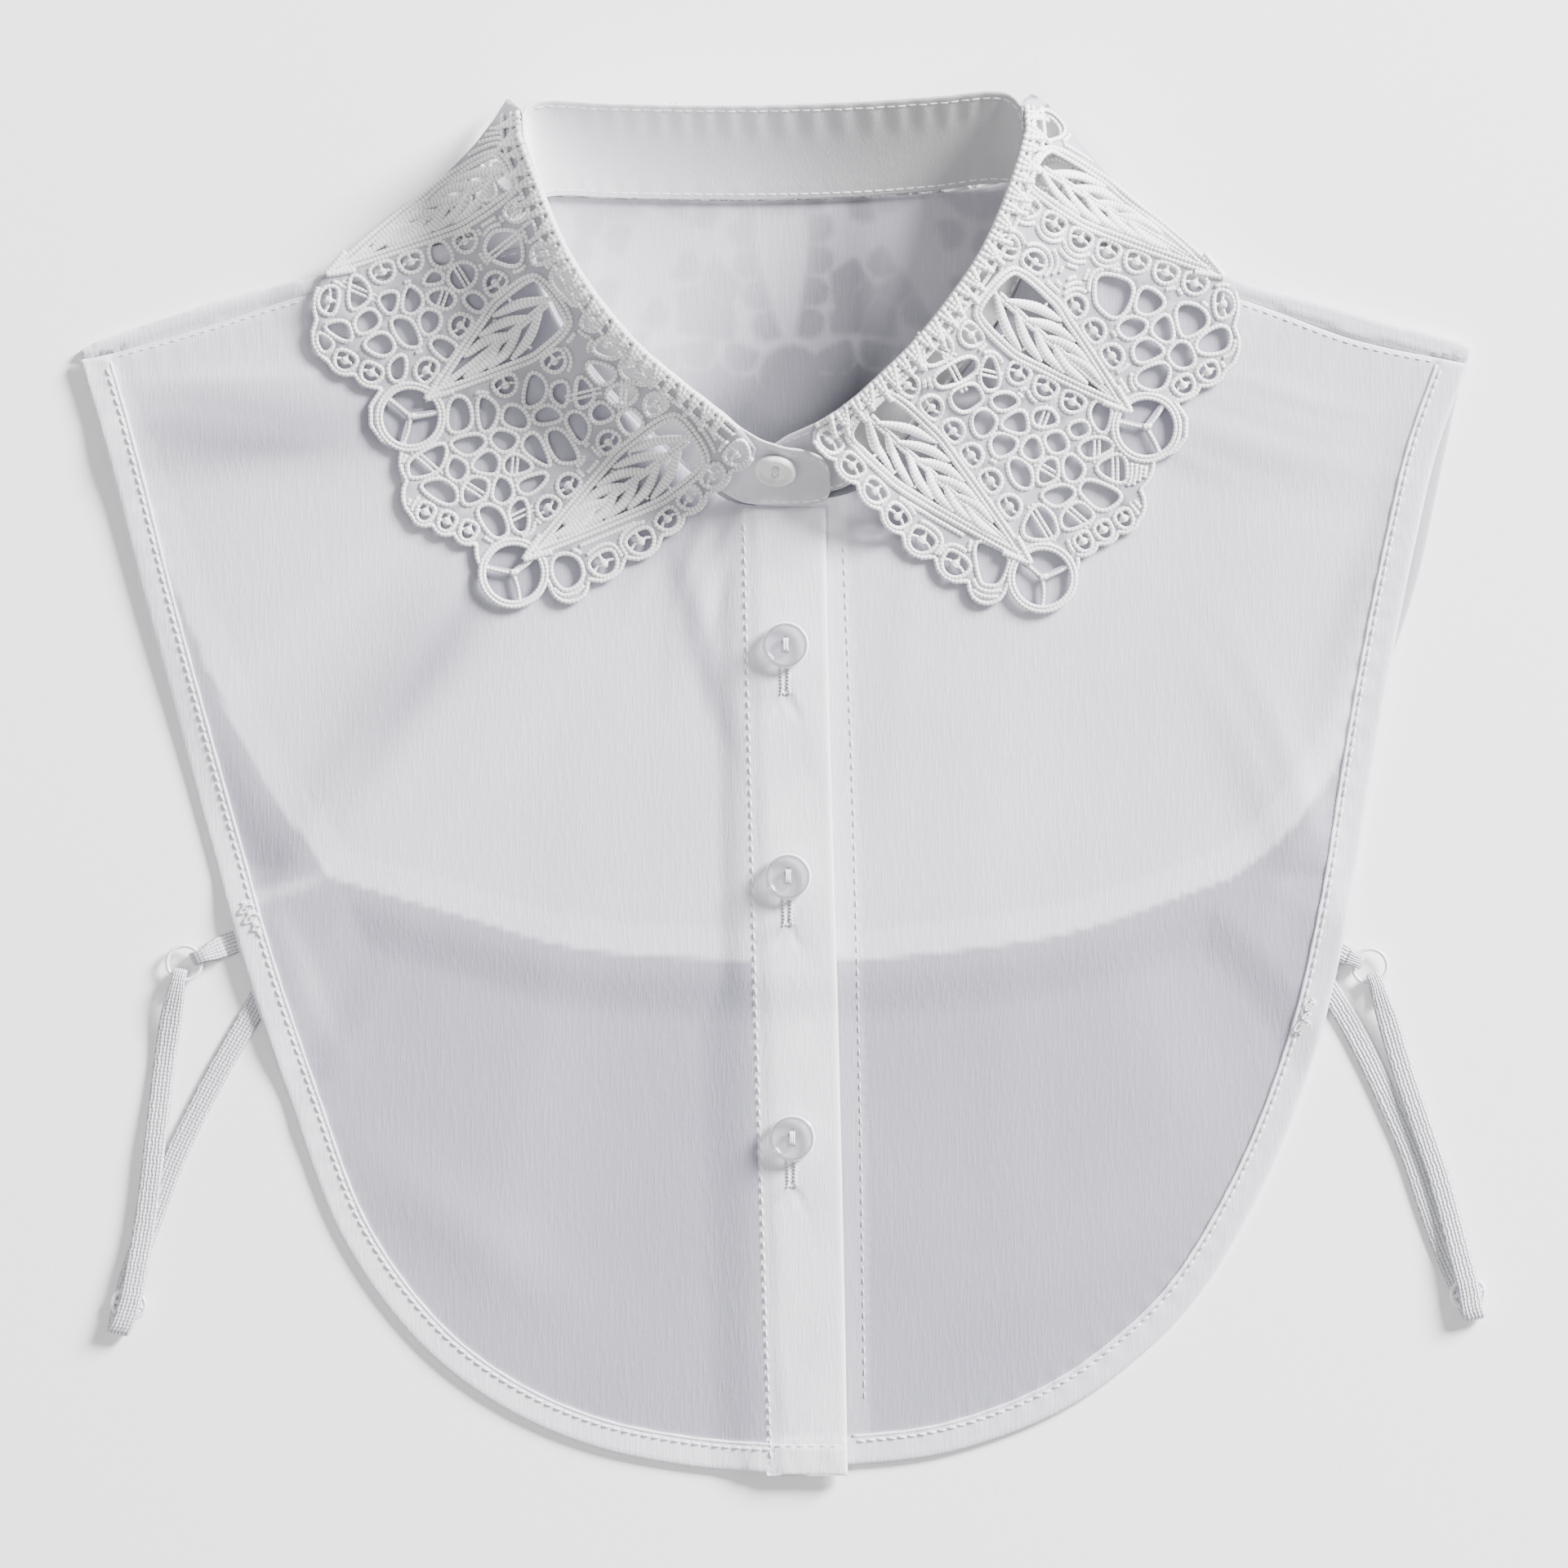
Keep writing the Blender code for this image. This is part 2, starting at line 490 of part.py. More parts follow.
class Layer:
    """A cloth piece that lies over the pieces below it."""

    def __init__(self, loop, below=(), folds=(), raised=None):
        self.loop = loop
        self.below = below
        self.folds = folds
        self.raised = raised

    def bottom(self, points):
        """Height of the lower face: over the lower pieces, plus its own folds."""
        height = cover(points, self.below)
        for x, y, length, width, angle, rise in self.folds:
            a = math.radians(angle)
            dx = points[:, 0] - x
            dy = points[:, 1] - y
            along = (dx * math.cos(a) + dy * math.sin(a)) / length
            across = (-dx * math.sin(a) + dy * math.cos(a)) / width
            height = height + rise * np.exp(-along ** 2 * 3.0 - across ** 2 * 3.0)
        return height

    def top(self, points):
        """Height of the upper face."""
        extra = self.raised(points) if self.raised else 0.0
        return self.bottom(points) + WALL + extra


def edge_rows(below, loop):
    """Lines just outside the edges of the pieces below, where they run under a loop."""
    rows = []
    for layer in below:
        line = resample(np.vstack([layer.loop, layer.loop[:1]]), EDGE_ROW_STEP)
        run = np.gradient(line, axis=0)
        run /= np.maximum(np.linalg.norm(run, axis=1), 1e-9)[:, None]
        out = np.column_stack([run[:, 1], -run[:, 0]])
        if outside_distance(line + out * 0.5, layer.loop).mean() < 0.0:
            out = -out
        moved = line + out * EDGE_ROW_OUT
        keep = outside_distance(moved, loop) < -2.0
        keep &= outside_distance(moved, layer.loop) > EDGE_ROW_OUT * 0.6
        start = None
        for i, used in enumerate([*keep, False]):
            if used and start is None:
                start = i
            if not used and start is not None:
                rows.append(moved[start:i])
                start = None
    return rows


def cover(points, below):
    """Height a wall needs to clear the pieces below, easing down where they end."""
    height = np.zeros(len(points))
    for layer in below:
        distance = outside_distance(points, layer.loop)
        share = ease((RAMP_END - distance) / (RAMP_END - RAMP_START))
        near = share > 0.0
        if near.any():
            lift = (layer.top(points[near]) + GAP + SPARE) * share[near]
            height[near] = np.maximum(height[near], lift)
    return height


def sweep_band(name, centres, widths, finish, thickness):
    """A flat band along a path; widths holds each station's half-width vector."""
    centres = np.array(centres, float)
    widths = np.array(widths, float)
    run = np.gradient(centres, axis=0)
    normal = np.cross(widths, run)
    normal /= np.linalg.norm(normal, axis=1)[:, None]
    half = normal * thickness / 2
    rings = np.stack([centres - widths - half, centres + widths - half,
                      centres + widths + half, centres - widths + half], axis=1)
    verts = rings.reshape(-1, 3)
    faces = [(3, 2, 1, 0)]
    for i in range(len(rings) - 1):
        a = i * 4
        for k in range(4):
            faces.append((a + k, a + (k + 1) % 4, a + 4 + (k + 1) % 4, a + 4 + k))
    last = (len(rings) - 1) * 4
    faces.append((last, last + 1, last + 2, last + 3))
    return add_object(name, verts, triangles(faces), finish, True)


def triangles(faces):
    """Each face with more than three corners as a fan of triangles."""
    split = []
    for face in faces:
        split.extend((face[0], face[i], face[i + 1]) for i in range(1, len(face) - 1))
    return split


# Stand

def stand_stations():
    """Smooth stations of the stand: top edge, seam edge and sag."""
    fine = smooth_line(np.array(STAND, float), 0.5)
    top_steps = np.linalg.norm(np.diff(fine[:, :2], axis=0), axis=1)
    seam_steps = np.linalg.norm(np.diff(fine[:, 3:5], axis=0), axis=1)
    travel = np.concatenate([[0.0], np.cumsum(top_steps + SEAM_WEIGHT * seam_steps)])
    at = np.linspace(0.0, travel[-1], STAND_STATIONS)
    return np.column_stack([np.interp(at, travel, fine[:, k]) for k in range(fine.shape[1])])


def stand_point(row, share):
    """Middle of the stand's wall, from seam (0) to top edge (1)."""
    top = row[0:3]
    seam = row[3:6]
    point = seam + (top - seam) * share
    point[2] -= row[6] * 4.0 * share * (1.0 - share)
    return point


def make_stand():
    """The collar stand as one wall from the button tab round to its other end."""
    rows = stand_stations()
    shares = (0.0, 0.34, 0.67, 1.0)
    middle = np.array([[stand_point(row, share) for share in shares] for row in rows])
    along = np.gradient(middle, axis=0)
    across = np.gradient(middle, axis=1)
    normal = np.cross(along, across)
    normal /= np.linalg.norm(normal, axis=2)[:, :, None]
    count = len(rows)
    wide = len(shares)
    one = (middle + normal * WALL / 2).reshape(-1, 3)
    two = (middle - normal * WALL / 2).reshape(-1, 3)
    verts = np.vstack([one, two])
    half = count * wide
    faces = []
    for i in range(count - 1):
        for k in range(wide - 1):
            a = i * wide + k
            faces.append((a, a + 1, a + wide + 1, a + wide))
            faces.append((half + a, half + a + wide, half + a + wide + 1, half + a + 1))
    rim = [i * wide for i in range(count)]
    rim += [(count - 1) * wide + k for k in range(1, wide)]
    rim += [i * wide + wide - 1 for i in range(count - 2, -1, -1)]
    rim += [k for k in range(wide - 2, 0, -1)]
    for a, b in zip(rim, rim[1:] + rim[:1]):
        faces.append((a, b, b + half, a + half))
    return add_object("stand", verts, triangles(faces), "cloth", True)


def roll_height(points):
    """Distance to the stand's top edge, and the height of that edge at the nearest place."""
    rows = stand_stations()
    top = rows[:, :3]
    gaps = np.linalg.norm(points[:, None, :] - top[None, :, :2], axis=2)
    weight = 1.0 / (gaps + 0.4) ** 4
    height = (weight * top[:, 2]).sum(1) / weight.sum(1)
    return line_distance(points, top[:, :2]), height


# Lace

def leaf_loop(leaf, grow=0.0):
    """Outline of a leaf: pointed at its tip, widest three quarters of the way to its base."""
    base = np.array(leaf[:2])
    run = np.array(leaf[2:4]) - base
    length = np.linalg.norm(run)
    along = run / length
    across = np.array([-along[1], along[0]])
    side = []
    for t in np.linspace(0.0, 1.0, LEAF_POINTS):
        taper = min(1.0, LEAF_TAPER * (1.0 - t) ** 0.9) * min(1.0, LEAF_BASE + 2.2 * t)
        width = leaf[4] * taper + grow
        side.append((t * length + (t - 0.5) * 2 * grow, width))
    loop = [base + along * a + across * w for a, w in side]
    loop += [base + along * a - across * w for a, w in reversed(side)]
    return np.array(loop)


def d_gap(centre, heading, width, depth):
    """A D-shaped gap whose round side faces the heading."""
    shape = [(-0.5, -0.45), (0.5, -0.45), (0.46, 0.12), (0.2, 0.5), (-0.2, 0.5), (-0.46, 0.12)]
    c, s = math.cos(heading), math.sin(heading)
    return np.array([(centre[0] + u * width * s + v * depth * c,
                      centre[1] - u * width * c + v * depth * s) for u, v in shape])


def ring_gaps(x, y, heading):
    """Three gaps of a large ring, parted by an uneven Y of brides."""
    radius = RING_RADIUS - RING_CORD
    bride = 0.75
    turns = [heading + 180.0, heading + 65.0, heading - 50.0]
    gaps = []
    for start, stop in zip(turns, turns[1:] + turns[:1]):
        span = (start - stop) % 360.0
        a0 = math.radians(stop) + bride / radius
        a1 = math.radians(stop + span) - bride / radius
        middle = (a0 + a1) / 2
        reach = min(bride / math.sin(min((a1 - a0) / 2, math.pi / 2)), radius * 0.4)
        points = [(x + reach * math.cos(middle), y + reach * math.sin(middle))]
        for a in np.linspace(a0, a1, 6):
            points.append((x + radius * math.cos(a), y + radius * math.sin(a)))
        gaps.append(np.array(points))
    return gaps


def edge_gaps(anchors, side):
    """One D-shaped gap behind each small scallop of an edge table."""
    gaps = []
    for (x0, y0, count, bulge), (x1, y1, _, _) in zip(anchors[:-1], anchors[1:]):
        run = np.array([x1 - x0, y1 - y0])
        if count == 0 or bulge > 7.0:
            continue
        chord = np.linalg.norm(run) / count
        along = run / np.linalg.norm(run)
        out = np.array([-along[1], along[0]]) * side
        for lobe in range(count):
            width = min(chord - 2.0, 6.8)
            depth = max(4.3, min(5.4, bulge + 2.8))
            crown = min(bulge, 3.2) - LACE_EDGE_WEB - 0.4
            centre = np.array([x0, y0]) + along * chord * (lobe + 0.5) + out * (crown - depth / 2)
            gaps.append(d_gap(centre, math.atan2(out[1], out[0]), width, depth))
    return gaps


def leaf_gaps(leaf):
    """A row of D-shaped gaps along both sides of a leaf."""
    loop = leaf_loop(leaf, grow=SCALLOP_OUT)
    base = np.array(leaf[:2])
    tip = np.array(leaf[2:4])
    gaps = []
    for side in (loop[:LEAF_POINTS], loop[LEAF_POINTS:][::-1]):
        line = resample(side, SCALLOP_STEP)
        run = np.gradient(line, axis=0)
        for point, step in zip(line[:-1], run[:-1]):
            out = np.array([-step[1], step[0]])
            foot = base + (tip - base) * np.dot(point - base, tip - base) / np.dot(tip - base, tip - base)
            if np.dot(out, point - foot) < 0:
                out = -out
            gaps.append(d_gap(point, math.atan2(out[1], out[0]), 5.6, 4.4))
    return gaps


def trim_gap(gap, place, away):
    """The part of a convex gap that stays on the near side of a line through a place."""
    kept = []
    depth = (gap - place) @ away
    for i in range(len(gap)):
        j = (i + 1) % len(gap)
        if depth[i] <= 0.0:
            kept.append(gap[i])
        if (depth[i] < 0.0) != (depth[j] < 0.0) and depth[i] != depth[j]:
            kept.append(gap[i] + (gap[j] - gap[i]) * depth[i] / (depth[i] - depth[j]))
    return np.array(kept)


def outward(loop):
    """Unit directions out of a closed loop at its points."""
    run = np.roll(loop, -1, axis=0) - np.roll(loop, 1, axis=0)
    run /= np.maximum(np.linalg.norm(run, axis=1), 1e-9)[:, None]
    area = (loop[:, 0] * np.roll(loop[:, 1], -1) - np.roll(loop[:, 0], -1) * loop[:, 1]).sum()
    return np.column_stack([run[:, 1], -run[:, 0]]) * (1.0 if area > 0 else -1.0)


def cell_seeds(loop, leaves, discs):
    """Uneven rows of places for the cells, clear of the edge, the leaves and the discs."""
    low = loop.min(0)
    high = loop.max(0)
    seeds = []
    for row, y in enumerate(np.arange(low[1], high[1], CELL_STEP * 0.8)):
        for column, x in enumerate(np.arange(low[0] + row % 2 * CELL_STEP / 2, high[0], CELL_STEP)):
            seed = np.array([x + CELL_SHIFT * math.sin(row * 2.3 + column * 1.7),
                             y + CELL_SHIFT * math.cos(row * 1.1 + column * 2.9)])
            if outside_distance([seed], loop)[0] > -LACE_EDGE_WEB - 1.3:
                continue
            if any(outside_distance([seed], leaf_loop(leaf))[0] < LEAF_WEB + 1.4 for leaf in leaves):
                continue
            if any(np.linalg.norm(seed - centre) < radius + LACE_WEB + 1.2 for centre, radius in discs):
                continue
            seeds.append(seed)
    return seeds


def cell_gaps(loop, leaves, rings, kept):
    """Many-sided gaps that share out the lace between the leaves, rings and scallops."""
    walls = [(resample(np.vstack([loop, loop[:1]]), 1.5)[:-1], 1.0, LACE_EDGE_WEB + 0.1)]
    for leaf in leaves:
        outline = leaf_loop(leaf)
        walls.append((resample(np.vstack([outline, outline[:1]]), 1.5)[:-1], -1.0, LEAF_WEB))
    discs = [(np.array([x, y]), RING_RADIUS - LACE_WEB + 0.6) for x, y, _ in rings]
    discs += [(gap.mean(0), np.linalg.norm(gap - gap.mean(0), axis=1).max() * 0.92) for gap in kept]
    seeds = cell_seeds(loop, leaves, discs)
    gaps = []
    for seed in seeds:
        gap = seed + np.array([(-6, -6), (6, -6), (6, 6), (-6, 6)], float)
        limits = []
        for other in seeds:
            apart = np.linalg.norm(other - seed)
            if 0.0 < apart < 15.0:
                away = (other - seed) / apart
                limits.append((seed + away * (apart - LACE_WEB) / 2, away))
        for centre, radius in discs:
            apart = np.linalg.norm(centre - seed)
            if apart < radius + 12.0:
                away = (centre - seed) / apart
                limits.append((centre - away * (radius + LACE_WEB), away))
        for line, sense, margin in walls:
            near = np.linalg.norm(line - seed, axis=1) < 10.0
            for point, out in zip(line[near], outward(line)[near] * sense):
                facing = np.dot(point - seed, out)
                if facing > max(margin, 0.62 * np.linalg.norm(point - seed)):
                    limits.append((point - out * margin, out))
        for place, away in limits:
            if len(gap) > 2:
                gap = trim_gap(gap, place, away)
        if len(gap) > 2:
            gap = merge_corners(gap)
        for _ in range(4):
            points = edge_samples(gap)
            if outside_distance(points, loop).max() < -LACE_EDGE_WEB * 0.9:
                break
            gap = gap.mean(0) + (gap - gap.mean(0)) * 0.86
        if len(gap) > 2 and np.linalg.norm(gap[:, None] - gap[None], axis=2).max() > LACE_MIN_GAP:
            gaps.append(gap)
    return gaps


def merge_corners(gap, apart=1.3):
    """A gap without corners that lie too near each other."""
    corners = [gap[0]]
    for point in gap[1:]:
        if np.linalg.norm(point - corners[-1]) > apart:
            corners.append(point)
    if len(corners) > 3 and np.linalg.norm(corners[0] - corners[-1]) < apart:
        corners.pop()
    return np.array(corners)


def edge_samples(loop):
    """Corners and edge thirds of a small closed loop."""
    turned = np.roll(loop, -1, axis=0)
    return np.vstack([loop, loop * 2 / 3 + turned / 3, loop / 3 + turned * 2 / 3])


def gap_area(gap):
    """Plan area of a gap."""
    after = np.roll(gap, -1, axis=0)
    return abs((gap[:, 0] * after[:, 1] - after[:, 0] * gap[:, 1]).sum()) / 2


def lace_gaps(loop, leaves, rings, candidates, left_whole=0):
    """Gaps that fit in the lace: rings, scallops a web's width apart, then cells but for the smallest."""
    solid_leaves = [leaf_loop(leaf) for leaf in leaves]
    kept = []
    for x, y, heading in rings:
        kept.extend(ring_gaps(x, y, heading))
    samples = [edge_samples(gap) for gap in kept]
    scallops = []
    for gap in candidates:
        points = edge_samples(gap)
        if outside_distance(points, loop).max() > -LACE_EDGE_WEB:
            continue
        if any(outside_distance(points, leaf).min() < LEAF_WEB * 0.8 for leaf in solid_leaves):
            continue
        if any(np.linalg.norm(points - (x, y), axis=1).min() < RING_RADIUS + 0.2 for x, y, _ in rings):
            continue
        centre = gap.mean(0)
        near = [other for other in samples if np.linalg.norm(other.mean(0) - centre) < 16.0]
        if any(np.linalg.norm(points[:, None] - other[None], axis=2).min() < LACE_WEB for other in near):
            continue
        scallops.append(gap)
        samples.append(points)
    cells = sorted(cell_gaps(loop, leaves, rings, scallops), key=gap_area, reverse=True)
    return kept + scallops + cells[:len(cells) - left_whole]


def leaf_axis_points(leaves):
    """Points along the middle of each leaf, for the wall's curve."""
    return np.vstack([resample(np.array([leaf[:2], leaf[2:4]]), 9.0)[1:-1] for leaf in leaves])


def slope_wall(height, points):
    """Upright thickness that keeps the wall's real thickness on a slope."""
    d = 0.4
    gx = (height(points + (d, 0)) - height(points - (d, 0))) / (2 * d)
    gy = (height(points + (0, d)) - height(points - (0, d))) / (2 * d)
    return np.minimum(WALL * np.sqrt(1.0 + gx * gx + gy * gy), 3.4)


def make_side_lace(name, anchors, side, turn, roll, leaves, rings, below):
    """The fold-over lace on one side: from the roll line onto the front, turned under at the shoulder."""
    free_edge = arc_edge(anchors) if side > 0 else mirror_arcs(anchors)
    turn_line = smooth_line(turn, 7.0)
    loop = join_lines(free_edge, turn_line, roll)
    candidates = edge_gaps(anchors, side)
    for leaf in leaves:
        candidates.extend(leaf_gaps(leaf))
    gaps = lace_gaps(loop, leaves, rings, candidates)

    def bottom(points):
        base = cover(points, below)
        away, roll_z = roll_height(points)
        to_turn = line_distance(points, turn_line)
        reach = np.minimum(LACE_FALL, away + to_turn)
        share = 1.0 - ease(away / np.maximum(reach, 1e-6))
        return base + LACE_LIFT + (roll_z + ROLL_RISE - base) * share

    def top(points):
        return bottom(points) + slope_wall(bottom, points)

    make_wall(name, loop, bottom, top, "lace", gaps, leaf_axis_points(leaves))


def mirror_arcs(anchors):
    """Arcs that bulge to the right of the run."""
    flipped = [(-x, y, n, b) for x, y, n, b in anchors]
    return arc_edge(flipped) * (-1.0, 1.0)


def make_back_lace(roll_back):
    """The lace behind the neck: down the stand's outer face, then flat under the back panel."""
    free_edge = mirror_arcs(BACK_LACE_EDGE)
    right_turn = smooth_line(RIGHT_LACE_TURN, 7.0)
    left_turn = smooth_line(LEFT_LACE_TURN, 7.0)[::-1]
    loop = join_lines(free_edge, right_turn + (-0.4, -0.4), roll_back, left_turn + (0.4, -0.4))
    candidates = edge_gaps(BACK_LACE_EDGE, -1)
    for leaf in BACK_LEAVES:
        candidates.extend(leaf_gaps(leaf))
    gaps = lace_gaps(loop, BACK_LEAVES, BACK_RINGS, candidates, BACK_CELLS_LEFT_WHOLE)
    rows = stand_stations()
    rows = rows[(rows[:, 4] > SEAM_BACK_Y)]

    def bottom(points):
        run = rows[:, 0:2] - rows[:, 3:5]
        gap = points[:, None] - rows[None, :, 3:5]
        share = (gap * run).sum(2) / (run * run).sum(1)
        foot = np.abs((gap - share[:, :, None] * run)).sum(2)
        nearest = foot.argmin(1)
        pick = np.arange(len(points))
        t = np.clip((share[pick, nearest] - 0.06) / 0.94, 0.0, 1.0)
        inward = ease((points[:, 0] - rows[:, 0].min() - 1.0) / 12.0)
        inward *= ease((rows[:, 0].max() - 1.0 - points[:, 0]) / 12.0)
        return (rows[nearest, 2] - 3.6) * t ** 1.4 * inward

    def top(points):
        return bottom(points) + WALL

    extra = grid_points(loop, 9.0, 2.0)
    extra = extra[extra[:, 1] > SEAM_BACK_Y + 3.0]
    seam = rows[1:-1, 3:5]
    make_wall("lace_back", loop, bottom, top, "lace", gaps, extra, [resample(seam, 6.0)])


# Buttons, rings and sliders

def disc_points(radius, count):
    """Points of a circle."""
    turn = np.linspace(0.0, 2 * math.pi, count, endpoint=False)
    return np.column_stack([radius * np.cos(turn), radius * np.sin(turn)])


def make_button(name, radius, finish, place, tilt=0.0, turn=0.0):
    """A two-hole button with a raised rim, its holes one above the other."""
    holes = [disc_points(BUTTON_HOLE_RADIUS, 8) + (0, side * BUTTON_HOLE_OFFSET) for side in (1, -1)]
    rows = [disc_points(radius - step, BUTTON_SIDES) for step in (0.4, BUTTON_RIM, 1.5)]

    def bottom(points):
        return 0.25 * ease((np.hypot(*points.T) - radius + 0.5) / 0.5)

    def top(points):
        r = np.hypot(*points.T)
        rim = ease((r - radius + 1.5) / 0.6) - 0.6 * ease((r - radius + 0.35) / 0.35)
        return BUTTON_THICKNESS * 0.7 + BUTTON_THICKNESS * 0.3 * rim

    button = make_wall(name, disc_points(radius, BUTTON_SIDES), bottom, top, finish, holes, lines=rows)
    button.location = Vector(place) * MM
    button.rotation_euler = (math.radians(tilt), 0.0, math.radians(turn))
    return button


def make_eye(name, centre):
    """A round nylon ring that the elastic loops through."""
    verts = []
    faces = []
    around = 20
    wire = 6
    for i in range(around):
        a = 2 * math.pi * i / around
        for k in range(wire):
            b = 2 * math.pi * k / wire
            r = RING_EYE_RADIUS + RING_WIRE_RADIUS * math.cos(b)
            verts.append((centre[0] + r * math.cos(a), centre[1] + r * math.sin(a),
                          RING_SEAT + RING_WIRE_RADIUS * math.sin(b)))
            faces.append((i * wire + k, (i + 1) % around * wire + k,
                          (i + 1) % around * wire + (k + 1) % wire, i * wire + (k + 1) % wire))
    return add_object(name, verts, triangles(faces), "nylon", True)


def make_slider(name, x, y, turn):
    """A flat slider with two slots either side of its bar."""
    wide, tall = SLIDER_SIZE
    bar = SLIDER_BAR
    corner = 0.8
    outer = [(-wide / 2 + corner, -tall / 2), (wide / 2 - corner, -tall / 2), (wide / 2, -tall / 2 + corner),
             (wide / 2, tall / 2 - corner), (wide / 2 - corner, tall / 2), (-wide / 2 + corner, tall / 2),
             (-wide / 2, tall / 2 - corner), (-wide / 2, -tall / 2 + corner)]
    slots = []
    for low, high in ((-tall / 2 + bar, -bar / 2), (bar / 2, tall / 2 - bar)):
        slots.append(np.array([(-wide / 2 + bar, low), (wide / 2 - bar, low),
                               (wide / 2 - bar, high), (-wide / 2 + bar, high)]))
    slider = make_wall(name, np.array(outer), lambda p: np.full(len(p), SLIDER_SEAT),
                       lambda p: np.full(len(p), SLIDER_SEAT + SLIDER_THICKNESS),
                       "nylon", slots, smooth=False)
    slider.location = Vector((x, y, 0.0)) * MM
    slider.rotation_euler = (0.0, 0.0, math.radians(turn))
    return slider


# Straps

def strap_path(table):
    """Smooth centres and half-width vectors of a strap from its table."""
    rows = np.array(table, float)
    fine = smooth_line(rows, 0.5)
    travel = np.concatenate([[0.0], np.cumsum(np.linalg.norm(np.diff(fine[:, :3], axis=0), axis=1))])
    bend = np.abs(np.gradient(fine[:, 2])) + 0.04
    weight = np.concatenate([[0.0], np.cumsum((np.diff(travel)) * (0.1 + bend[1:] * 3.0))])
    count = int(len(table) * STRAP_STATIONS)
    at = np.linspace(0.0, weight[-1], count)
    even = np.column_stack([np.interp(at, weight, fine[:, k]) for k in range(5)])
    heading = np.radians(even[:, 3])
    across = np.column_stack([-np.sin(heading), np.cos(heading), np.zeros(count)])
    return even[:, :3], across * (ELASTIC_WIDTH / 2 * even[:, 4])[:, None]


def strap_loop(table):
    """Plan outline of the strap's floor-level strand, for what lies over it."""
    rows = np.array([row for row in table if row[2] <= 0.6][:9], float)
    heading = np.radians(rows[:, 3])
    across = np.column_stack([-np.sin(heading), np.cos(heading)]) * ELASTIC_WIDTH / 2
    return np.vstack([rows[:, :2] + across, (rows[:, :2] - across)[::-1]])


def make_strap(name, table):
    """One elastic strap."""
    centres, widths = strap_path(table)
    return sweep_band(name, centres, widths, "elastic", WALL)


# Assembly

def hem_rise(hem):
    """Extra height along a folded hem."""
    def rise(points):
        return HEM_RISE * ease(HEM_WIDTH + 0.5 - line_distance(points, hem))
    return rise


def shoulder_rise(strips):
    """Extra height of the back panel where it wraps over the shoulders to the seams."""
    def rise(points):
        height = np.zeros(len(points))
        for seam, strip in strips:
            depth = np.where(inside(points, strip), line_distance(points, seam), 0.0)
            height = np.maximum(height, SHOULDER_STEP * ease((depth - 0.1) / 0.4))
        return height
    return rise


def clear_scene():
    """Start from an empty scene."""
    for obj in list(bpy.data.objects):
        bpy.data.objects.remove(obj, do_unlink=True)


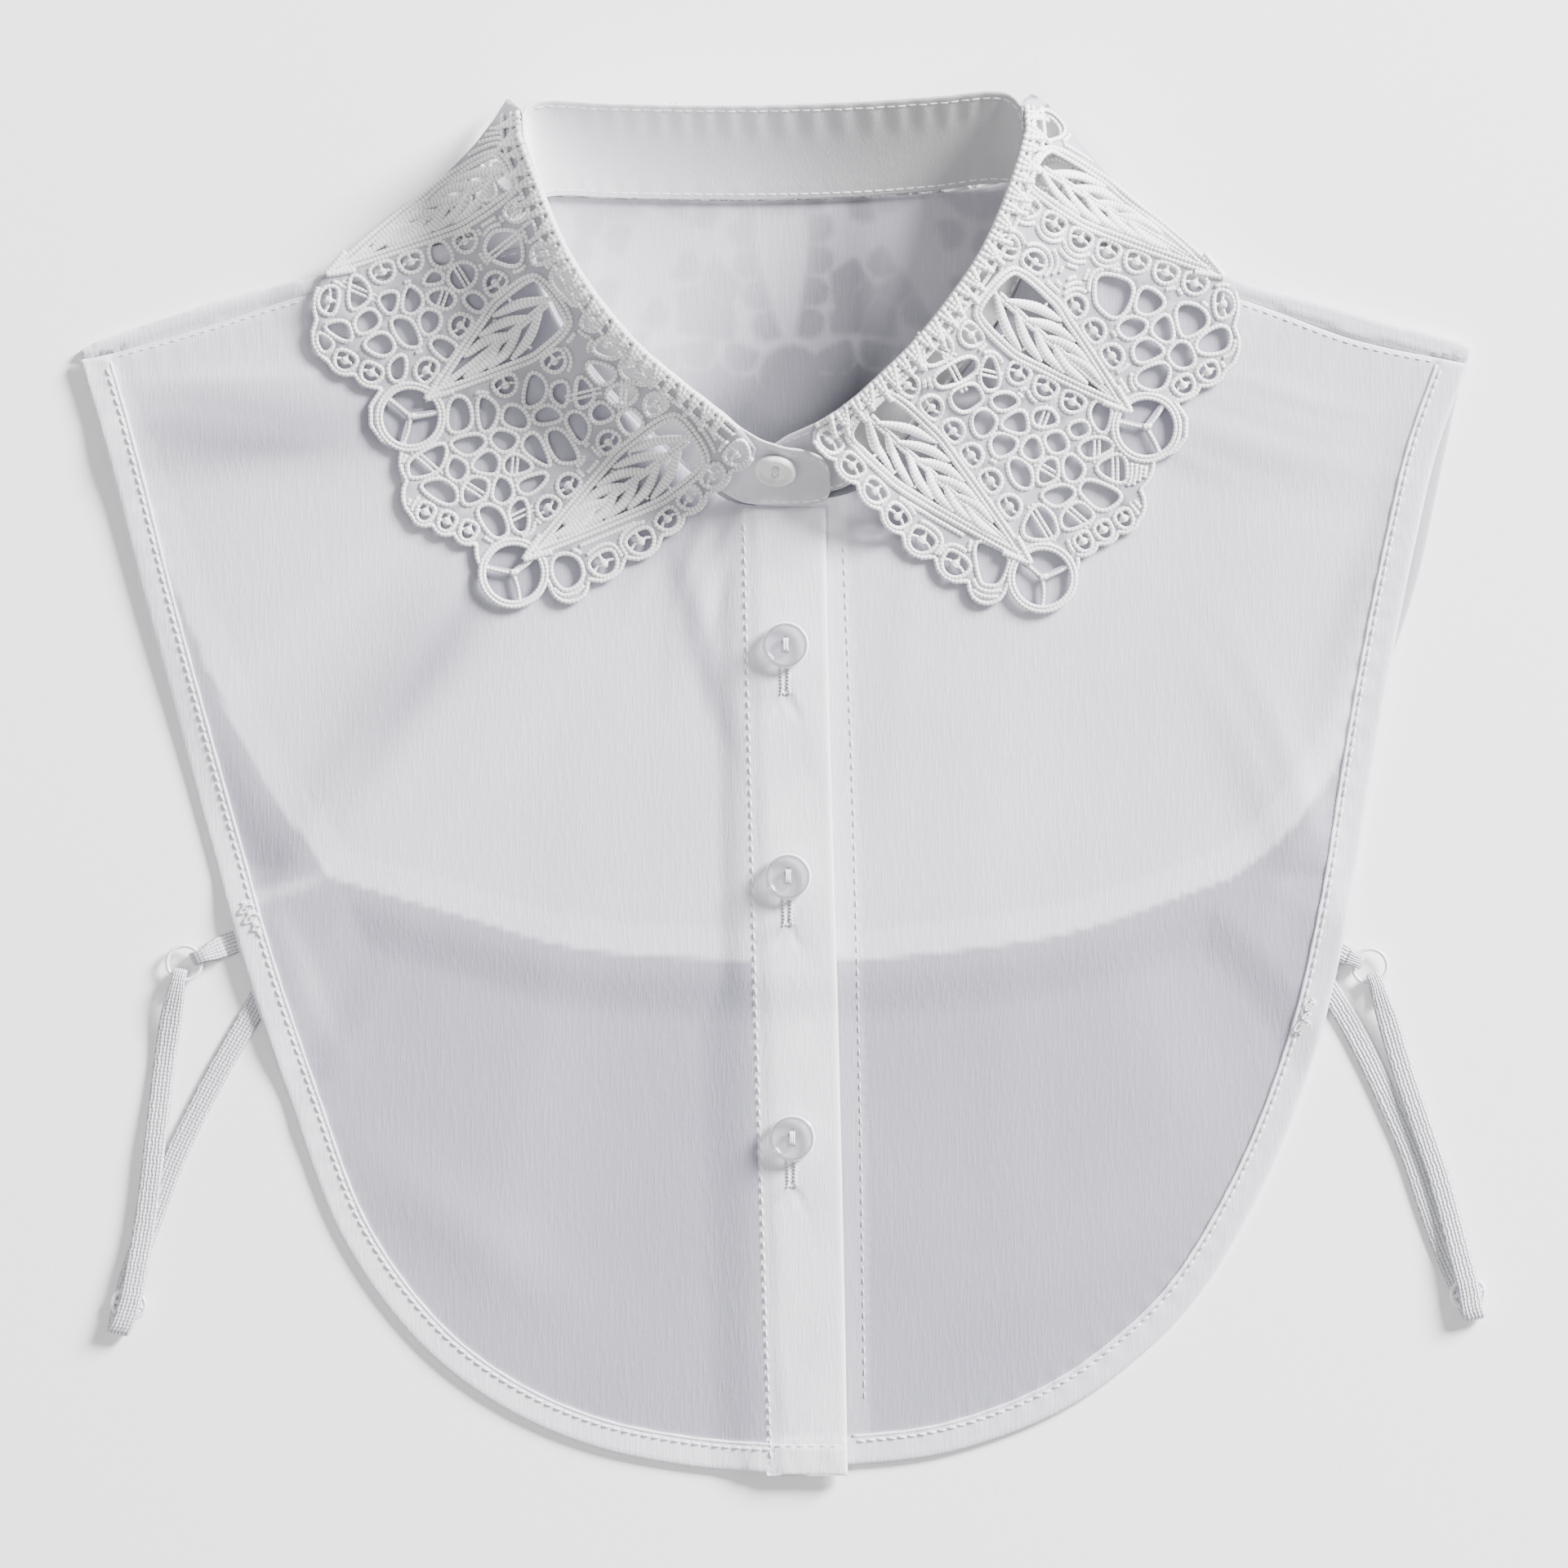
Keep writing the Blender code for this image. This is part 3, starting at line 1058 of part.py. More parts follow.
def build():
    """Build the whole collar."""
    clear_scene()
    left_hem = smooth_line(LEFT_HEM)
    right_hem = smooth_line(RIGHT_HEM)
    left_seam = smooth_line(LEFT_SHOULDER_SEAM)
    right_seam = smooth_line(RIGHT_SHOULDER_SEAM)
    placket_left = smooth_line([(sides[0], y) for sides, y in PLACKET_SIDES])
    placket_right = smooth_line([(sides[1], y) for sides, y in PLACKET_SIDES])
    left_fold = smooth_line(LEFT_SHOULDER_FOLD)
    right_fold = smooth_line(RIGHT_SHOULDER_FOLD)

    left_loop = join_lines(left_hem, placket_right[::-1], smooth_line(LEFT_NECK)[::-1], left_seam + (0, -0.2))
    right_loop = join_lines(right_hem, smooth_line([right_hem[-1], RIGHT_FRONT_EDGE, RIGHT_NECK[-1]]),
                            smooth_line(RIGHT_NECK)[::-1], right_seam + (0, -0.2))
    back_loop = join_lines(smooth_line(BACK_NECK), right_fold, smooth_line(BACK_RIGHT_SIDE),
                           smooth_line(BACK_LOWER), smooth_line(BACK_LEFT_SIDE), left_fold)
    placket_loop = join_lines(placket_left, placket_right[::-1])

    rows = stand_stations()
    top_line = rows[:, :2]
    back_rows = top_line[(rows[:, 4] > SEAM_BACK_Y)]
    left_roll = resample(line_between(top_line, LEFT_ROLL_SPAN), 6.0)[::-1]
    right_roll = resample(line_between(top_line, RIGHT_ROLL_SPAN), 6.0)

    back_lace_loop = join_lines(mirror_arcs(BACK_LACE_EDGE), smooth_line(RIGHT_LACE_TURN, 7.0),
                                smooth_line(LEFT_LACE_TURN, 7.0)[::-1])
    lace_floor = Layer(back_lace_loop)
    straps_floor = [Layer(strap_loop(LEFT_STRAP)), Layer(strap_loop(RIGHT_STRAP)),
                    Layer(strap_loop(LEFT_TAB)), Layer(strap_loop(RIGHT_TAB))]
    strips = [(left_seam, np.vstack([left_seam, left_fold])),
              (right_seam, np.vstack([right_seam, right_fold[::-1]]))]
    back = Layer(back_loop, [lace_floor], raised=shoulder_rise(strips))
    flat_back = Layer(back_loop, [lace_floor])
    right_folds = [fold for fold in FRONT_FOLDS if fold[0] > 0]
    left_folds = [fold for fold in FRONT_FOLDS if fold[0] < 0]
    right = Layer(right_loop, [flat_back, *straps_floor], right_folds, hem_rise(right_hem))
    left = Layer(left_loop, [flat_back, right, *straps_floor], left_folds, hem_rise(left_hem))
    placket = Layer(placket_loop, [left])

    hem_rows = np.array([HEM_WIDTH - 0.4, HEM_WIDTH + 0.6])
    left_lines = side_rows(left_hem, -hem_rows, left_loop, 0.8)
    right_lines = side_rows(right_hem, hem_rows, right_loop, 0.8)
    seam_lines = side_rows(resample(left_seam, 3.5), (0.1, 0.5), back_loop, 0.2)
    seam_lines += side_rows(resample(right_seam, 3.5), (-0.1, -0.5), back_loop, 0.2)
    make_wall("front_left", left_loop, left.bottom, left.top, "cloth",
              extra=grid_points(left_loop, GRID, HEM_WIDTH + 3.0),
              lines=left_lines + edge_rows([lace_floor, back, right], left_loop))
    make_wall("front_right", right_loop, right.bottom, right.top, "cloth",
              extra=grid_points(right_loop, GRID, HEM_WIDTH + 3.0),
              lines=right_lines + edge_rows([lace_floor, back], right_loop))
    make_wall("back_panel", back_loop, back.bottom, back.top, "cloth",
              extra=grid_points(back_loop, GRID, HEM_WIDTH),
              lines=seam_lines + edge_rows([lace_floor], back_loop))
    make_wall("placket", placket_loop, placket.bottom, placket.top, "cloth",
              extra=grid_points(placket_loop, 10.0, 3.0),
              lines=side_rows(left_hem, -hem_rows, placket_loop, 0.5) + edge_rows([back], placket_loop))
    make_stand()

    folds = [Layer(strip, [lace_floor], raised=lambda points: SHOULDER_STEP) for _, strip in strips]
    below = [lace_floor, flat_back, *folds, right, left, placket]
    make_side_lace("lace_left", LEFT_LACE_EDGE, 1, LEFT_LACE_TURN, left_roll,
                   LEFT_LEAVES, LEFT_RINGS, below)
    make_side_lace("lace_right", RIGHT_LACE_EDGE, -1, RIGHT_LACE_TURN, right_roll,
                   RIGHT_LEAVES, RIGHT_RINGS, below)
    make_back_lace(back_rows[::-1])

    for number, place in enumerate(BUTTONS, 1):
        seat = placket.top(disc_points(BUTTON_RADIUS, 12) + place).max() + GAP
        make_button("button_%d" % number, BUTTON_RADIUS, "clear_button", (*place, seat))
    x, y, z, tilt, turn = STAND_BUTTON
    make_button("stand_button", STAND_BUTTON_RADIUS, "white_button", (x, y, z), tilt, turn)
    for name, centre in EYES.items():
        make_eye(name, centre)
    for name, (x, y, turn) in SLIDERS.items():
        make_slider(name, x, y, turn)
    make_strap("strap_left", LEFT_STRAP)
    make_strap("strap_right", RIGHT_STRAP)
    make_strap("tab_left", LEFT_TAB)
    make_strap("tab_right", RIGHT_TAB)


def line_between(line, span):
    """The stretch of a line from the point nearest one place to the point nearest another."""
    first = np.linalg.norm(line - span[0], axis=1).argmin()
    last = np.linalg.norm(line - span[1], axis=1).argmin()
    return line[first:last + 1] if first < last else line[last:first + 1]


build()
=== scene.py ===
"""The false collar dressed for its picture: cloth shells, stitched hems, lace cords, buttons, elastic.

Sizes in the tables are millimetres in the same frame as the solids: +X the viewer's right,
+Y the back of the neck, +Z up, and the garment lies on z = 0.
"""
import math

import bpy
import numpy as np
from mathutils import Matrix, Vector
from mathutils.geometry import delaunay_2d_cdt
from mathutils.kdtree import KDTree


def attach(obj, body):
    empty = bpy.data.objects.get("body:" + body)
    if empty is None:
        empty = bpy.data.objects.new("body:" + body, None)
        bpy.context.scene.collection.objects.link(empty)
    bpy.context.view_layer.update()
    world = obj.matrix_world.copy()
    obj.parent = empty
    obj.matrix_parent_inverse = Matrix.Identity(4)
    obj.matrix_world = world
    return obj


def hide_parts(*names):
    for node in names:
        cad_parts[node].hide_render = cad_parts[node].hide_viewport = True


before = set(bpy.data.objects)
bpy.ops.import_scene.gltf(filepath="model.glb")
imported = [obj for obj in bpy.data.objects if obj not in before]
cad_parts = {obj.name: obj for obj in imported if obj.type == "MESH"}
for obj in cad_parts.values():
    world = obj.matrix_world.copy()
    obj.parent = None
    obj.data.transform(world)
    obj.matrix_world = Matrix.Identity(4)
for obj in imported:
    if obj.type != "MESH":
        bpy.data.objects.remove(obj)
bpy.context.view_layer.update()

MM = 0.001

# Sizes shared with the solids
OUTLINE_STEP = 8.0
TURN_STEP = 7.0
ROLL_STEP = 6.0
WALL = 1.0
GAP = 0.32
SPARE = 0.12
RAMP_START = 2.5
RAMP_END = 16.0
HEM_WIDTH = 7.0
HEM_RISE = 0.45
SHOULDER_STEP = 1.3
LACE_FALL = 27.0
LACE_LIFT = 0.4
ROLL_RISE = 1.8
LACE_WEB = 1.7
LACE_MIN_GAP = 4.0
LACE_EDGE_WEB = 1.35
LEAF_WEB = 0.9
LEAF_POINTS = 13
LEAF_TAPER = 1.45
LEAF_BASE = 0.78
CELL_STEP = 7.2
CELL_SHIFT = 1.3
SCALLOP_STEP = 7.4
SCALLOP_OUT = 3.5
RING_RADIUS = 8.7
RING_CORD = 1.9
BUTTON_RADIUS = 5.7
STAND_BUTTON_RADIUS = 5.0
BUTTON_THICKNESS = 2.0
BUTTON_HOLE_RADIUS = 0.85
BUTTON_HOLE_OFFSET = 1.35
ELASTIC_WIDTH = 5.4
RING_EYE_RADIUS = 4.2
RING_WIRE_RADIUS = 0.5
RING_SEAT = 1.9
SLIDER_SEAT = 1.42
STAND_STATIONS = 56
STAND_HEIGHT = 22.0
SEAM_WEIGHT = 0.35
SLIDER_SIZE = (8.8, 7.0)
SLIDER_BAR = 1.1
SLIDER_THICKNESS = 1.0
SEAM_BACK_Y = 142.3
LEFT_ROLL_SPAN = ((-8.7, 85.1), (-65.1, 161.5))
RIGHT_ROLL_SPAN = ((58.1, 163.9), (7.7, 87.9))
BACK_CELLS_LEFT_WHOLE = 10

# Directions and colours mixed in more than one place
UP = np.array([0.0, 0.0, 1.0])
MULTIPLY = {"data_type": "RGBA", "blend_type": "MULTIPLY"}

# Cloth: one layer, and how fine the shells are drawn inside and in rows along their edge
CLOTH_THICK = 0.45
CLOTH_STEP = 1.7
FINE_STEP = 1.1
BACK_STEP = 1.9
EDGE_STEP = 1.4
EDGE_ROWS = (0.25, 0.8, 1.8, 3.2, 4.8, 6.0, 6.6, 7.1, 7.6, 8.4, 9.6)

# Sewing: pitch and length of a hem's stitches, the threads, and how far in from its edge a hem is sewn
HEM_PITCH = 2.5
STITCH_LENGTH = 2.25
THREAD = 0.42
HOLE_THREAD = 0.4
STAND_THREAD = 0.34
TACK_THREAD = 0.34
PLACKET_THREAD = 0.31
FINE_THREAD = 0.2
HEM_ROW = HEM_WIDTH - 1.1

# Lace cords: width of the main cord, its height, the brides, and one turn of its satin stitch,
# which is 0.8 mm in the real lace and is drawn at 1 mm so that it shows
CORD = 1.12
CORD_HEIGHT = 1.05
CORD_ROW = 1.55
BRIDE = 0.75
CORD_SIDES = 6
SATIN_PITCH = 1.0

# Outer hem of the viewer's left front, shoulder tip to placket: x, y
LEFT_HEM = [
    (-172.7, 103.7), (-165.9, 79.9), (-157.9, 47.9), (-149.3, 15.9), (-140.5, -16.1), (-132.3, -45.1),
    (-121.5, -77.7), (-109.5, -109.7), (-92.3, -134.5), (-72.3, -151.1), (-48.5, -162.1),
    (-22.3, -167.5), (2.7, -169.1), (15.3, -169.3),
]
# Outer hem of the viewer's right front, shoulder tip to centre: x, y
RIGHT_HEM = [
    (167.1, 102.7), (159.7, 81.9), (155.3, 63.9), (148.7, 31.9), (143.1, -0.1), (137.9, -32.1),
    (130.3, -64.1), (118.1, -96.1), (101.3, -125.1), (82.5, -143.7), (63.9, -155.5), (40.9, -163.7),
    (19.7, -166.7), (-2.7, -167.3),
]
# Shoulder seams on the face, neck to shoulder tip: x, y
LEFT_SHOULDER_SEAM = [(-61.9, 131.9), (-114.1, 120.5), (-142.3, 111.9), (-165.5, 105.3), (-172.7, 104.0)]
RIGHT_SHOULDER_SEAM = [(60.3, 131.9), (109.3, 119.3), (138.3, 109.1), (160.1, 104.3), (167.1, 102.9)]
# Neck seam of the fronts, shoulder to centre front: x, y
LEFT_NECK = [
    (-61.9, 131.9), (-59.1, 121.5), (-50.7, 105.5), (-41.1, 93.5), (-31.1, 83.5), (-20.7, 74.3),
    (-11.3, 68.5), (9.9, 67.5),
]
RIGHT_NECK = [
    (60.3, 131.9), (57.1, 121.5), (51.1, 111.1), (42.9, 99.5), (33.3, 88.3), (24.1, 78.3), (14.5, 70.7),
    (-7.3, 69.1),
]
# Middle of the right front's hidden edge under the placket: x, y
RIGHT_FRONT_EDGE = (-5.9, -48.1)
# Back panel: upper edge at the neck, the two shoulder folds, and the short lower edge: x, y
BACK_NECK = [(-57.9, 143.7), (-40.3, 143.1), (-2.3, 142.7), (35.7, 144.5), (55.3, 147.3)]
RIGHT_SHOULDER_FOLD = [
    (60.1, 135.7), (109.3, 123.5), (120.7, 120.7), (136.7, 116.3), (160.5, 109.3), (168.1, 107.1),
]
BACK_RIGHT_SIDE = [
    (168.1, 107.1), (164.3, 93.9), (159.5, 71.5), (154.7, 50.1), (147.1, 27.9), (135.7, 5.9),
    (122.7, -12.1), (109.3, -22.9),
]
BACK_LOWER = [
    (109.3, -22.9), (75.7, -34.7), (51.7, -39.5), (14.5, -43.1), (-24.3, -42.5), (-53.3, -39.7),
    (-77.1, -32.9), (-111.5, -22.9),
]
BACK_LEFT_SIDE = [
    (-111.5, -22.9), (-117.9, -13.1), (-124.3, -5.1), (-132.3, 8.9), (-138.3, 21.9), (-143.7, 33.9),
    (-149.3, 47.9), (-155.3, 63.9), (-162.3, 81.9), (-168.3, 95.9), (-172.7, 105.9),
]
LEFT_SHOULDER_FOLD = [
    (-172.7, 105.9), (-167.1, 108.7), (-149.1, 114.7), (-138.5, 118.3), (-114.1, 124.3), (-62.3, 137.5),
]
# Placket on the viewer's left front: x of its left and right edge at a y
PLACKET_SIDES = [
    ((-11.3, 9.9), 67.5), ((-10.7, 10.3), 39.9), ((-9.7, 11.3), -0.1), ((-8.7, 12.5), -40.1),
    ((-7.5, 13.5), -80.1), ((-6.1, 14.5), -124.1), ((-4.5, 15.3), -169.3),
]
# Soft folds of the fronts: centre x, y, length, width, direction in degrees, height
FRONT_FOLDS = [
    (-137.3, 84.9, 55.0, 13.0, 10.0, 1.5),
    (-98.3, 19.9, 95.0, 16.0, 62.0, 1.6),
    (-19.9, 51.9, 45.0, 8.0, 78.0, 0.9),
    (112.7, 82.9, 48.0, 12.0, -14.0, 1.4),
    (124.7, -10.1, 60.0, 14.0, -64.0, 1.2),
    (-80.3, -108.1, 55.0, 15.0, -38.0, 0.8),
    (65.7, -120.1, 55.0, 15.0, 34.0, 0.8),
]
# Collar stand from the button tab, round the back of the neck, to the end under the tab:
# top edge x, y, z; seam edge x, y, z; how far the middle sags below the straight line
STAND = [
    (10.9, 75.9, 13.0, 10.9, 71.9, 7.4, 0.3),
    (9.7, 78.5, 16.5, 9.9, 69.7, 6.5, 1.4),
    (5.7, 80.7, 19.5, 6.1, 68.3, 6.3, 3.0),
    (-2.3, 82.3, 20.5, -2.3, 68.1, 6.2, 3.8),
    (-9.3, 85.5, 20.5, -11.3, 69.1, 6.1, 3.2),
    (-16.7, 91.5, 20.5, -20.7, 75.5, 5.4, 2.0),
    (-25.7, 98.5, 20.5, -30.7, 84.7, 4.9, 1.5),
    (-35.7, 107.1, 21.0, -40.7, 94.7, 4.8, 1.0),
    (-44.7, 117.5, 21.5, -49.9, 106.3, 4.8, 1.0),
    (-51.7, 127.9, 22.0, -56.7, 117.9, 4.8, 0.5),
    (-56.7, 138.3, 22.5, -60.5, 127.9, 4.8, 0.0),
    (-61.3, 150.9, 22.5, -61.9, 136.9, 4.8, 0.0),
    (-64.3, 160.3, 22.0, -60.3, 142.5, 4.3, 0.5),
    (-60.3, 166.1, 21.0, -53.9, 143.9, 4.1, 1.0),
    (-43.3, 165.7, 20.0, -41.3, 143.3, 3.9, 1.0),
    (-22.7, 165.3, 19.5, -22.3, 142.9, 3.9, 1.0),
    (-2.3, 165.3, 19.5, -2.3, 142.9, 3.9, 1.0),
    (17.7, 165.9, 19.5, 17.7, 143.5, 3.9, 1.0),
    (36.7, 167.1, 20.0, 35.7, 144.9, 3.9, 1.0),
    (53.3, 168.1, 21.0, 48.7, 146.7, 4.1, 1.0),
    (58.1, 161.5, 22.0, 56.7, 146.3, 4.3, 0.5),
    (56.1, 151.5, 22.5, 60.1, 140.5, 4.8, 0.0),
    (52.1, 139.5, 22.5, 60.1, 130.9, 4.8, 0.0),
    (46.9, 128.7, 22.0, 56.3, 121.5, 4.8, 0.5),
    (40.3, 119.1, 21.5, 50.7, 111.9, 4.8, 1.0),
    (32.1, 108.7, 21.0, 42.1, 100.7, 4.8, 1.0),
    (23.3, 99.9, 20.5, 32.5, 89.5, 4.8, 1.5),
    (14.9, 92.5, 19.5, 23.3, 79.5, 4.2, 2.0),
    (7.7, 87.9, 17.5, 14.5, 72.5, 3.6, 2.6),
    (1.3, 85.1, 15.0, 4.7, 71.1, 3.4, 2.6),
    (-3.3, 82.3, 12.0, -2.3, 71.9, 3.4, 1.8),
]
# Free edge of the lace, as arcs from anchor to anchor: x, y, scallops to the next anchor, their bulge
LEFT_LACE_EDGE = [
    (-7.1, 81.5, 4, 1.6), (-29.9, 60.3, 2, 2.6), (-47.9, 49.5, 1, 5.6), (-57.9, 49.5, 1, 8.2),
    (-74.9, 53.1, 1, 0.6), (-75.9, 58.3, 3, 1.3), (-91.7, 65.1, 1, 1.6), (-93.1, 74.3, 1, 1.2),
    (-93.9, 81.9, 1, 5.6), (-99.1, 96.7, 2, 1.4), (-111.9, 102.7, 1, 2.4), (-115.1, 113.5, 1, 1.4),
    (-113.1, 123.9, 0, 0.0),
]
RIGHT_LACE_EDGE = [
    (6.1, 84.9, 4, 1.6), (28.1, 60.9, 2, 2.6), (44.5, 49.1, 1, 5.4), (54.3, 48.7, 1, 8.2),
    (71.3, 51.9, 1, 0.6), (71.7, 55.5, 3, 1.3), (86.7, 63.9, 1, 1.4), (87.3, 71.9, 1, 1.0),
    (90.5, 79.3, 1, 5.6), (95.7, 93.5, 2, 1.4), (107.7, 100.3, 1, 2.4), (110.1, 111.9, 1, 1.4),
    (109.3, 122.9, 0, 0.0),
]
# Where the lace turns over the shoulder, shoulder to back corner: x, y
LEFT_LACE_TURN = [
    (-113.1, 123.9), (-103.5, 132.7), (-96.3, 139.5), (-85.5, 147.1), (-74.7, 157.9), (-67.9, 167.9),
]
RIGHT_LACE_TURN = [
    (109.3, 122.9), (102.1, 127.9), (92.5, 135.7), (84.1, 143.5), (74.7, 153.9), (66.1, 164.7),
    (60.1, 169.1),
]
# Free edge of the lace under the back panel: x, y, scallops to the next anchor, their bulge
BACK_LACE_EDGE = [
    (-111.5, 121.9, 2, 2.0), (-95.1, 110.3, 3, 2.0), (-64.3, 107.9, 2, 2.6), (-43.9, 98.3, 3, 2.2),
    (-16.3, 103.9, 1, 2.2), (-7.3, 100.3, 1, 7.4), (9.7, 100.3, 1, 2.2), (17.7, 103.9, 3, 2.2),
    (43.7, 98.3, 2, 2.6), (63.7, 107.9, 3, 2.0), (92.5, 110.3, 2, 2.0), (107.7, 121.1, 0, 0.0),
]
# Leaves of the lace: base x, y, tip x, y, half width at the base
LEFT_LEAVES = [
    (-21.5, 85.3, -62.9, 55.6, 8.4), (-55.3, 118.9, -86.9, 94.9, 8.5),
    (-66.3, 149.9, -111.0, 125.1, 6.5),
]
RIGHT_LEAVES = [
    (18.6, 91.3, 59.0, 54.8, 8.4), (49.7, 120.9, 83.5, 91.7, 8.5), (59.9, 150.9, 106.0, 124.5, 6.5),
]
BACK_LEAVES = [
    (-1.3, 139.5, 0.9, 108.3, 6.0), (-28.3, 139.5, -41.9, 107.9, 6.0), (27.7, 140.9, 42.1, 107.9, 6.0),
    (-54.3, 139.5, -79.1, 117.5, 6.0), (53.3, 140.9, 77.7, 117.5, 6.0),
]
# Large rings at the leaf tips: centre x, y, direction of the leaf in degrees
LEFT_RINGS = [(-66.5, 51.5, 218.0), (-91.7, 89.7, 190.0)]
RIGHT_RINGS = [(62.9, 50.3, -40.0), (88.3, 87.1, -12.0)]
BACK_RINGS = [(1.1, 99.5, -90.0)]
# Button centres on the placket: x, y
BUTTONS = [(0.1, 33.9), (0.7, -22.7), (1.7, -86.7)]
# Button on the stand tab: x, y, z of its seat, tilt about X in degrees, turn about Z in degrees
STAND_BUTTON = (-2.3, 76.9, 14.4, 50.0, -8.0)
# Side straps: x, y, height of the middle of the elastic, heading in degrees, width share
LEFT_STRAP = [
    (-113.9, -26.5, 0.52, 235, 1.0), (-122.3, -40.1, 0.52, 238, 1.0), (-129.7, -54.5, 0.52, 240, 1.0),
    (-137.1, -67.3, 0.52, 241, 1.0), (-143.5, -79.3, 0.52, 243, 1.0), (-149.5, -91.7, 0.52, 246, 1.0),
    (-154.9, -106.1, 0.52, 252, 1.0), (-159.1, -117.1, 0.52, 255, 1.0),
    (-161.7, -126.1, 0.52, 257, 1.0), (-162.9, -132.1, 0.6, 259, 1.0), (-163.3, -133.9, 1.15, 259, 1.0),
    (-163.3, -134.5, 2.1, 260, 1.0), (-162.9, -133.7, 3.05, 260, 1.0), (-161.9, -131.7, 3.4, 260, 1.0),
    (-160.1, -126.1, 3.4, 262, 1.0), (-158.7, -119.1, 2.9, 262, 1.0), (-157.1, -110.1, 2.1, 263, 1.0),
    (-155.7, -100.1, 1.9, 264, 1.0), (-154.3, -88.1, 1.9, 265, 1.0), (-152.9, -76.1, 1.2, 264, 1.0),
    (-151.7, -66.1, 1.0, 264, 1.0), (-150.3, -57.1, 2.0, 262, 1.0), (-149.1, -51.1, 3.1, 262, 0.8),
    (-148.5, -48.1, 3.35, 260, 0.63), (-148.0, -46.2, 2.9, 260, 0.63), (-147.9, -45.7, 1.9, 260, 0.63),
    (-148.0, -46.2, 0.9, 260, 0.63), (-148.5, -48.1, 0.52, 260, 0.7), (-149.3, -52.5, 0.52, 262, 0.8),
]
RIGHT_STRAP = [
    (111.7, -26.5, 0.52, 305, 1.0), (125.7, -40.1, 0.52, 303, 1.0), (135.7, -54.5, 0.52, 300, 1.0),
    (142.1, -66.1, 0.52, 299, 1.0), (148.3, -79.3, 0.52, 298, 1.0), (153.1, -90.5, 0.52, 295, 1.0),
    (157.7, -104.1, 0.52, 290, 1.0), (162.1, -116.1, 0.52, 287, 1.0), (165.7, -124.1, 0.52, 285, 1.0),
    (167.9, -128.9, 0.6, 284, 1.0), (168.5, -130.5, 1.15, 284, 1.0), (168.7, -130.9, 2.1, 283, 1.0),
    (168.5, -130.1, 3.05, 283, 1.0), (167.9, -128.1, 3.4, 283, 1.0), (167.1, -123.1, 3.4, 283, 1.0),
    (165.3, -116.1, 2.9, 283, 1.0), (162.7, -106.1, 2.1, 285, 1.0), (159.9, -96.1, 1.9, 288, 1.0),
    (156.9, -87.3, 1.9, 291, 1.0), (153.5, -77.3, 1.9, 291, 1.0), (150.5, -68.1, 1.6, 289, 1.0),
    (147.9, -59.3, 2.2, 286, 1.0), (145.7, -52.5, 3.1, 284, 0.8), (144.8, -49.3, 3.35, 288, 0.63),
    (144.0, -47.1, 2.9, 288, 0.63), (143.8, -46.6, 1.9, 288, 0.63), (144.0, -47.1, 0.9, 288, 0.63),
    (144.8, -49.3, 0.52, 287, 0.7), (146.1, -53.7, 0.52, 286, 0.8),
]
# Short tabs that hold the rings: same columns
LEFT_TAB = [
    (-129.9, -37.3, 0.52, 200, 1.0), (-134.3, -38.7, 0.52, 201, 1.0), (-139.3, -40.7, 0.52, 203, 1.0),
    (-142.5, -42.0, 0.52, 204, 0.72), (-144.5, -42.8, 0.9, 204, 0.63), (-145.0, -43.0, 1.9, 204, 0.63),
    (-144.5, -42.8, 2.9, 204, 0.63), (-142.3, -41.9, 3.35, 204, 0.63), (-139.9, -40.9, 2.6, 203, 0.9),
    (-137.5, -39.9, 1.9, 202, 1.0),
]
RIGHT_TAB = [
    (133.3, -40.1, 0.52, -20, 1.0), (135.7, -41.1, 0.52, -22, 1.0), (137.3, -42.0, 0.52, -24, 0.95),
    (138.9, -42.7, 0.52, -24, 0.72), (140.5, -43.6, 0.9, -23, 0.63), (141.0, -43.8, 1.9, -23, 0.63),
    (140.5, -43.6, 2.9, -23, 0.63), (138.9, -42.9, 3.35, -24, 0.63), (137.5, -42.3, 3.3, -24, 0.8),
]
# Rings the elastic runs through, and sliders at the loop ends: x, y, turn in degrees
EYES = {"ring_left": (-147.1, -43.9), "ring_right": (143.1, -44.7)}
SLIDERS = {"slider_left": (-160.7, -127.5, -13.0), "slider_right": (167.1, -124.7, 14.0)}

# Creases pressed or worn into the fronts: x, y, length, width, direction in degrees, height
FRONT_CREASES = [
    (-138.0, 92.0, 40.0, 4.5, 6.0, -0.5), (-132.0, 99.0, 46.0, 4.0, 9.0, 0.5),
    (-118.0, 84.0, 30.0, 5.0, 14.0, 0.4), (-86.0, 34.0, 80.0, 7.0, 60.0, -0.6),
    (-104.0, 10.0, 70.0, 6.0, 64.0, 0.5), (-70.0, 62.0, 40.0, 5.0, 58.0, 0.4),
    (-22.0, 58.0, 34.0, 2.6, 80.0, 0.7), (-16.5, 44.0, 30.0, 2.4, 84.0, -0.4),
    (-30.0, 52.0, 30.0, 4.0, 74.0, -0.4), (114.0, 88.0, 42.0, 4.5, -10.0, -0.5),
    (122.0, 96.0, 36.0, 4.0, -8.0, 0.4), (98.0, 80.0, 30.0, 5.0, -16.0, 0.4),
    (128.0, -6.0, 50.0, 6.0, -66.0, 0.5), (116.0, 10.0, 50.0, 6.0, -60.0, -0.4),
    (30.0, 40.0, 60.0, 8.0, 88.0, 0.35), (-60.0, -60.0, 90.0, 14.0, 80.0, 0.35),
    (54.0, -70.0, 90.0, 14.0, -84.0, 0.35), (-110.0, -70.0, 50.0, 6.0, 66.0, 0.4),
]
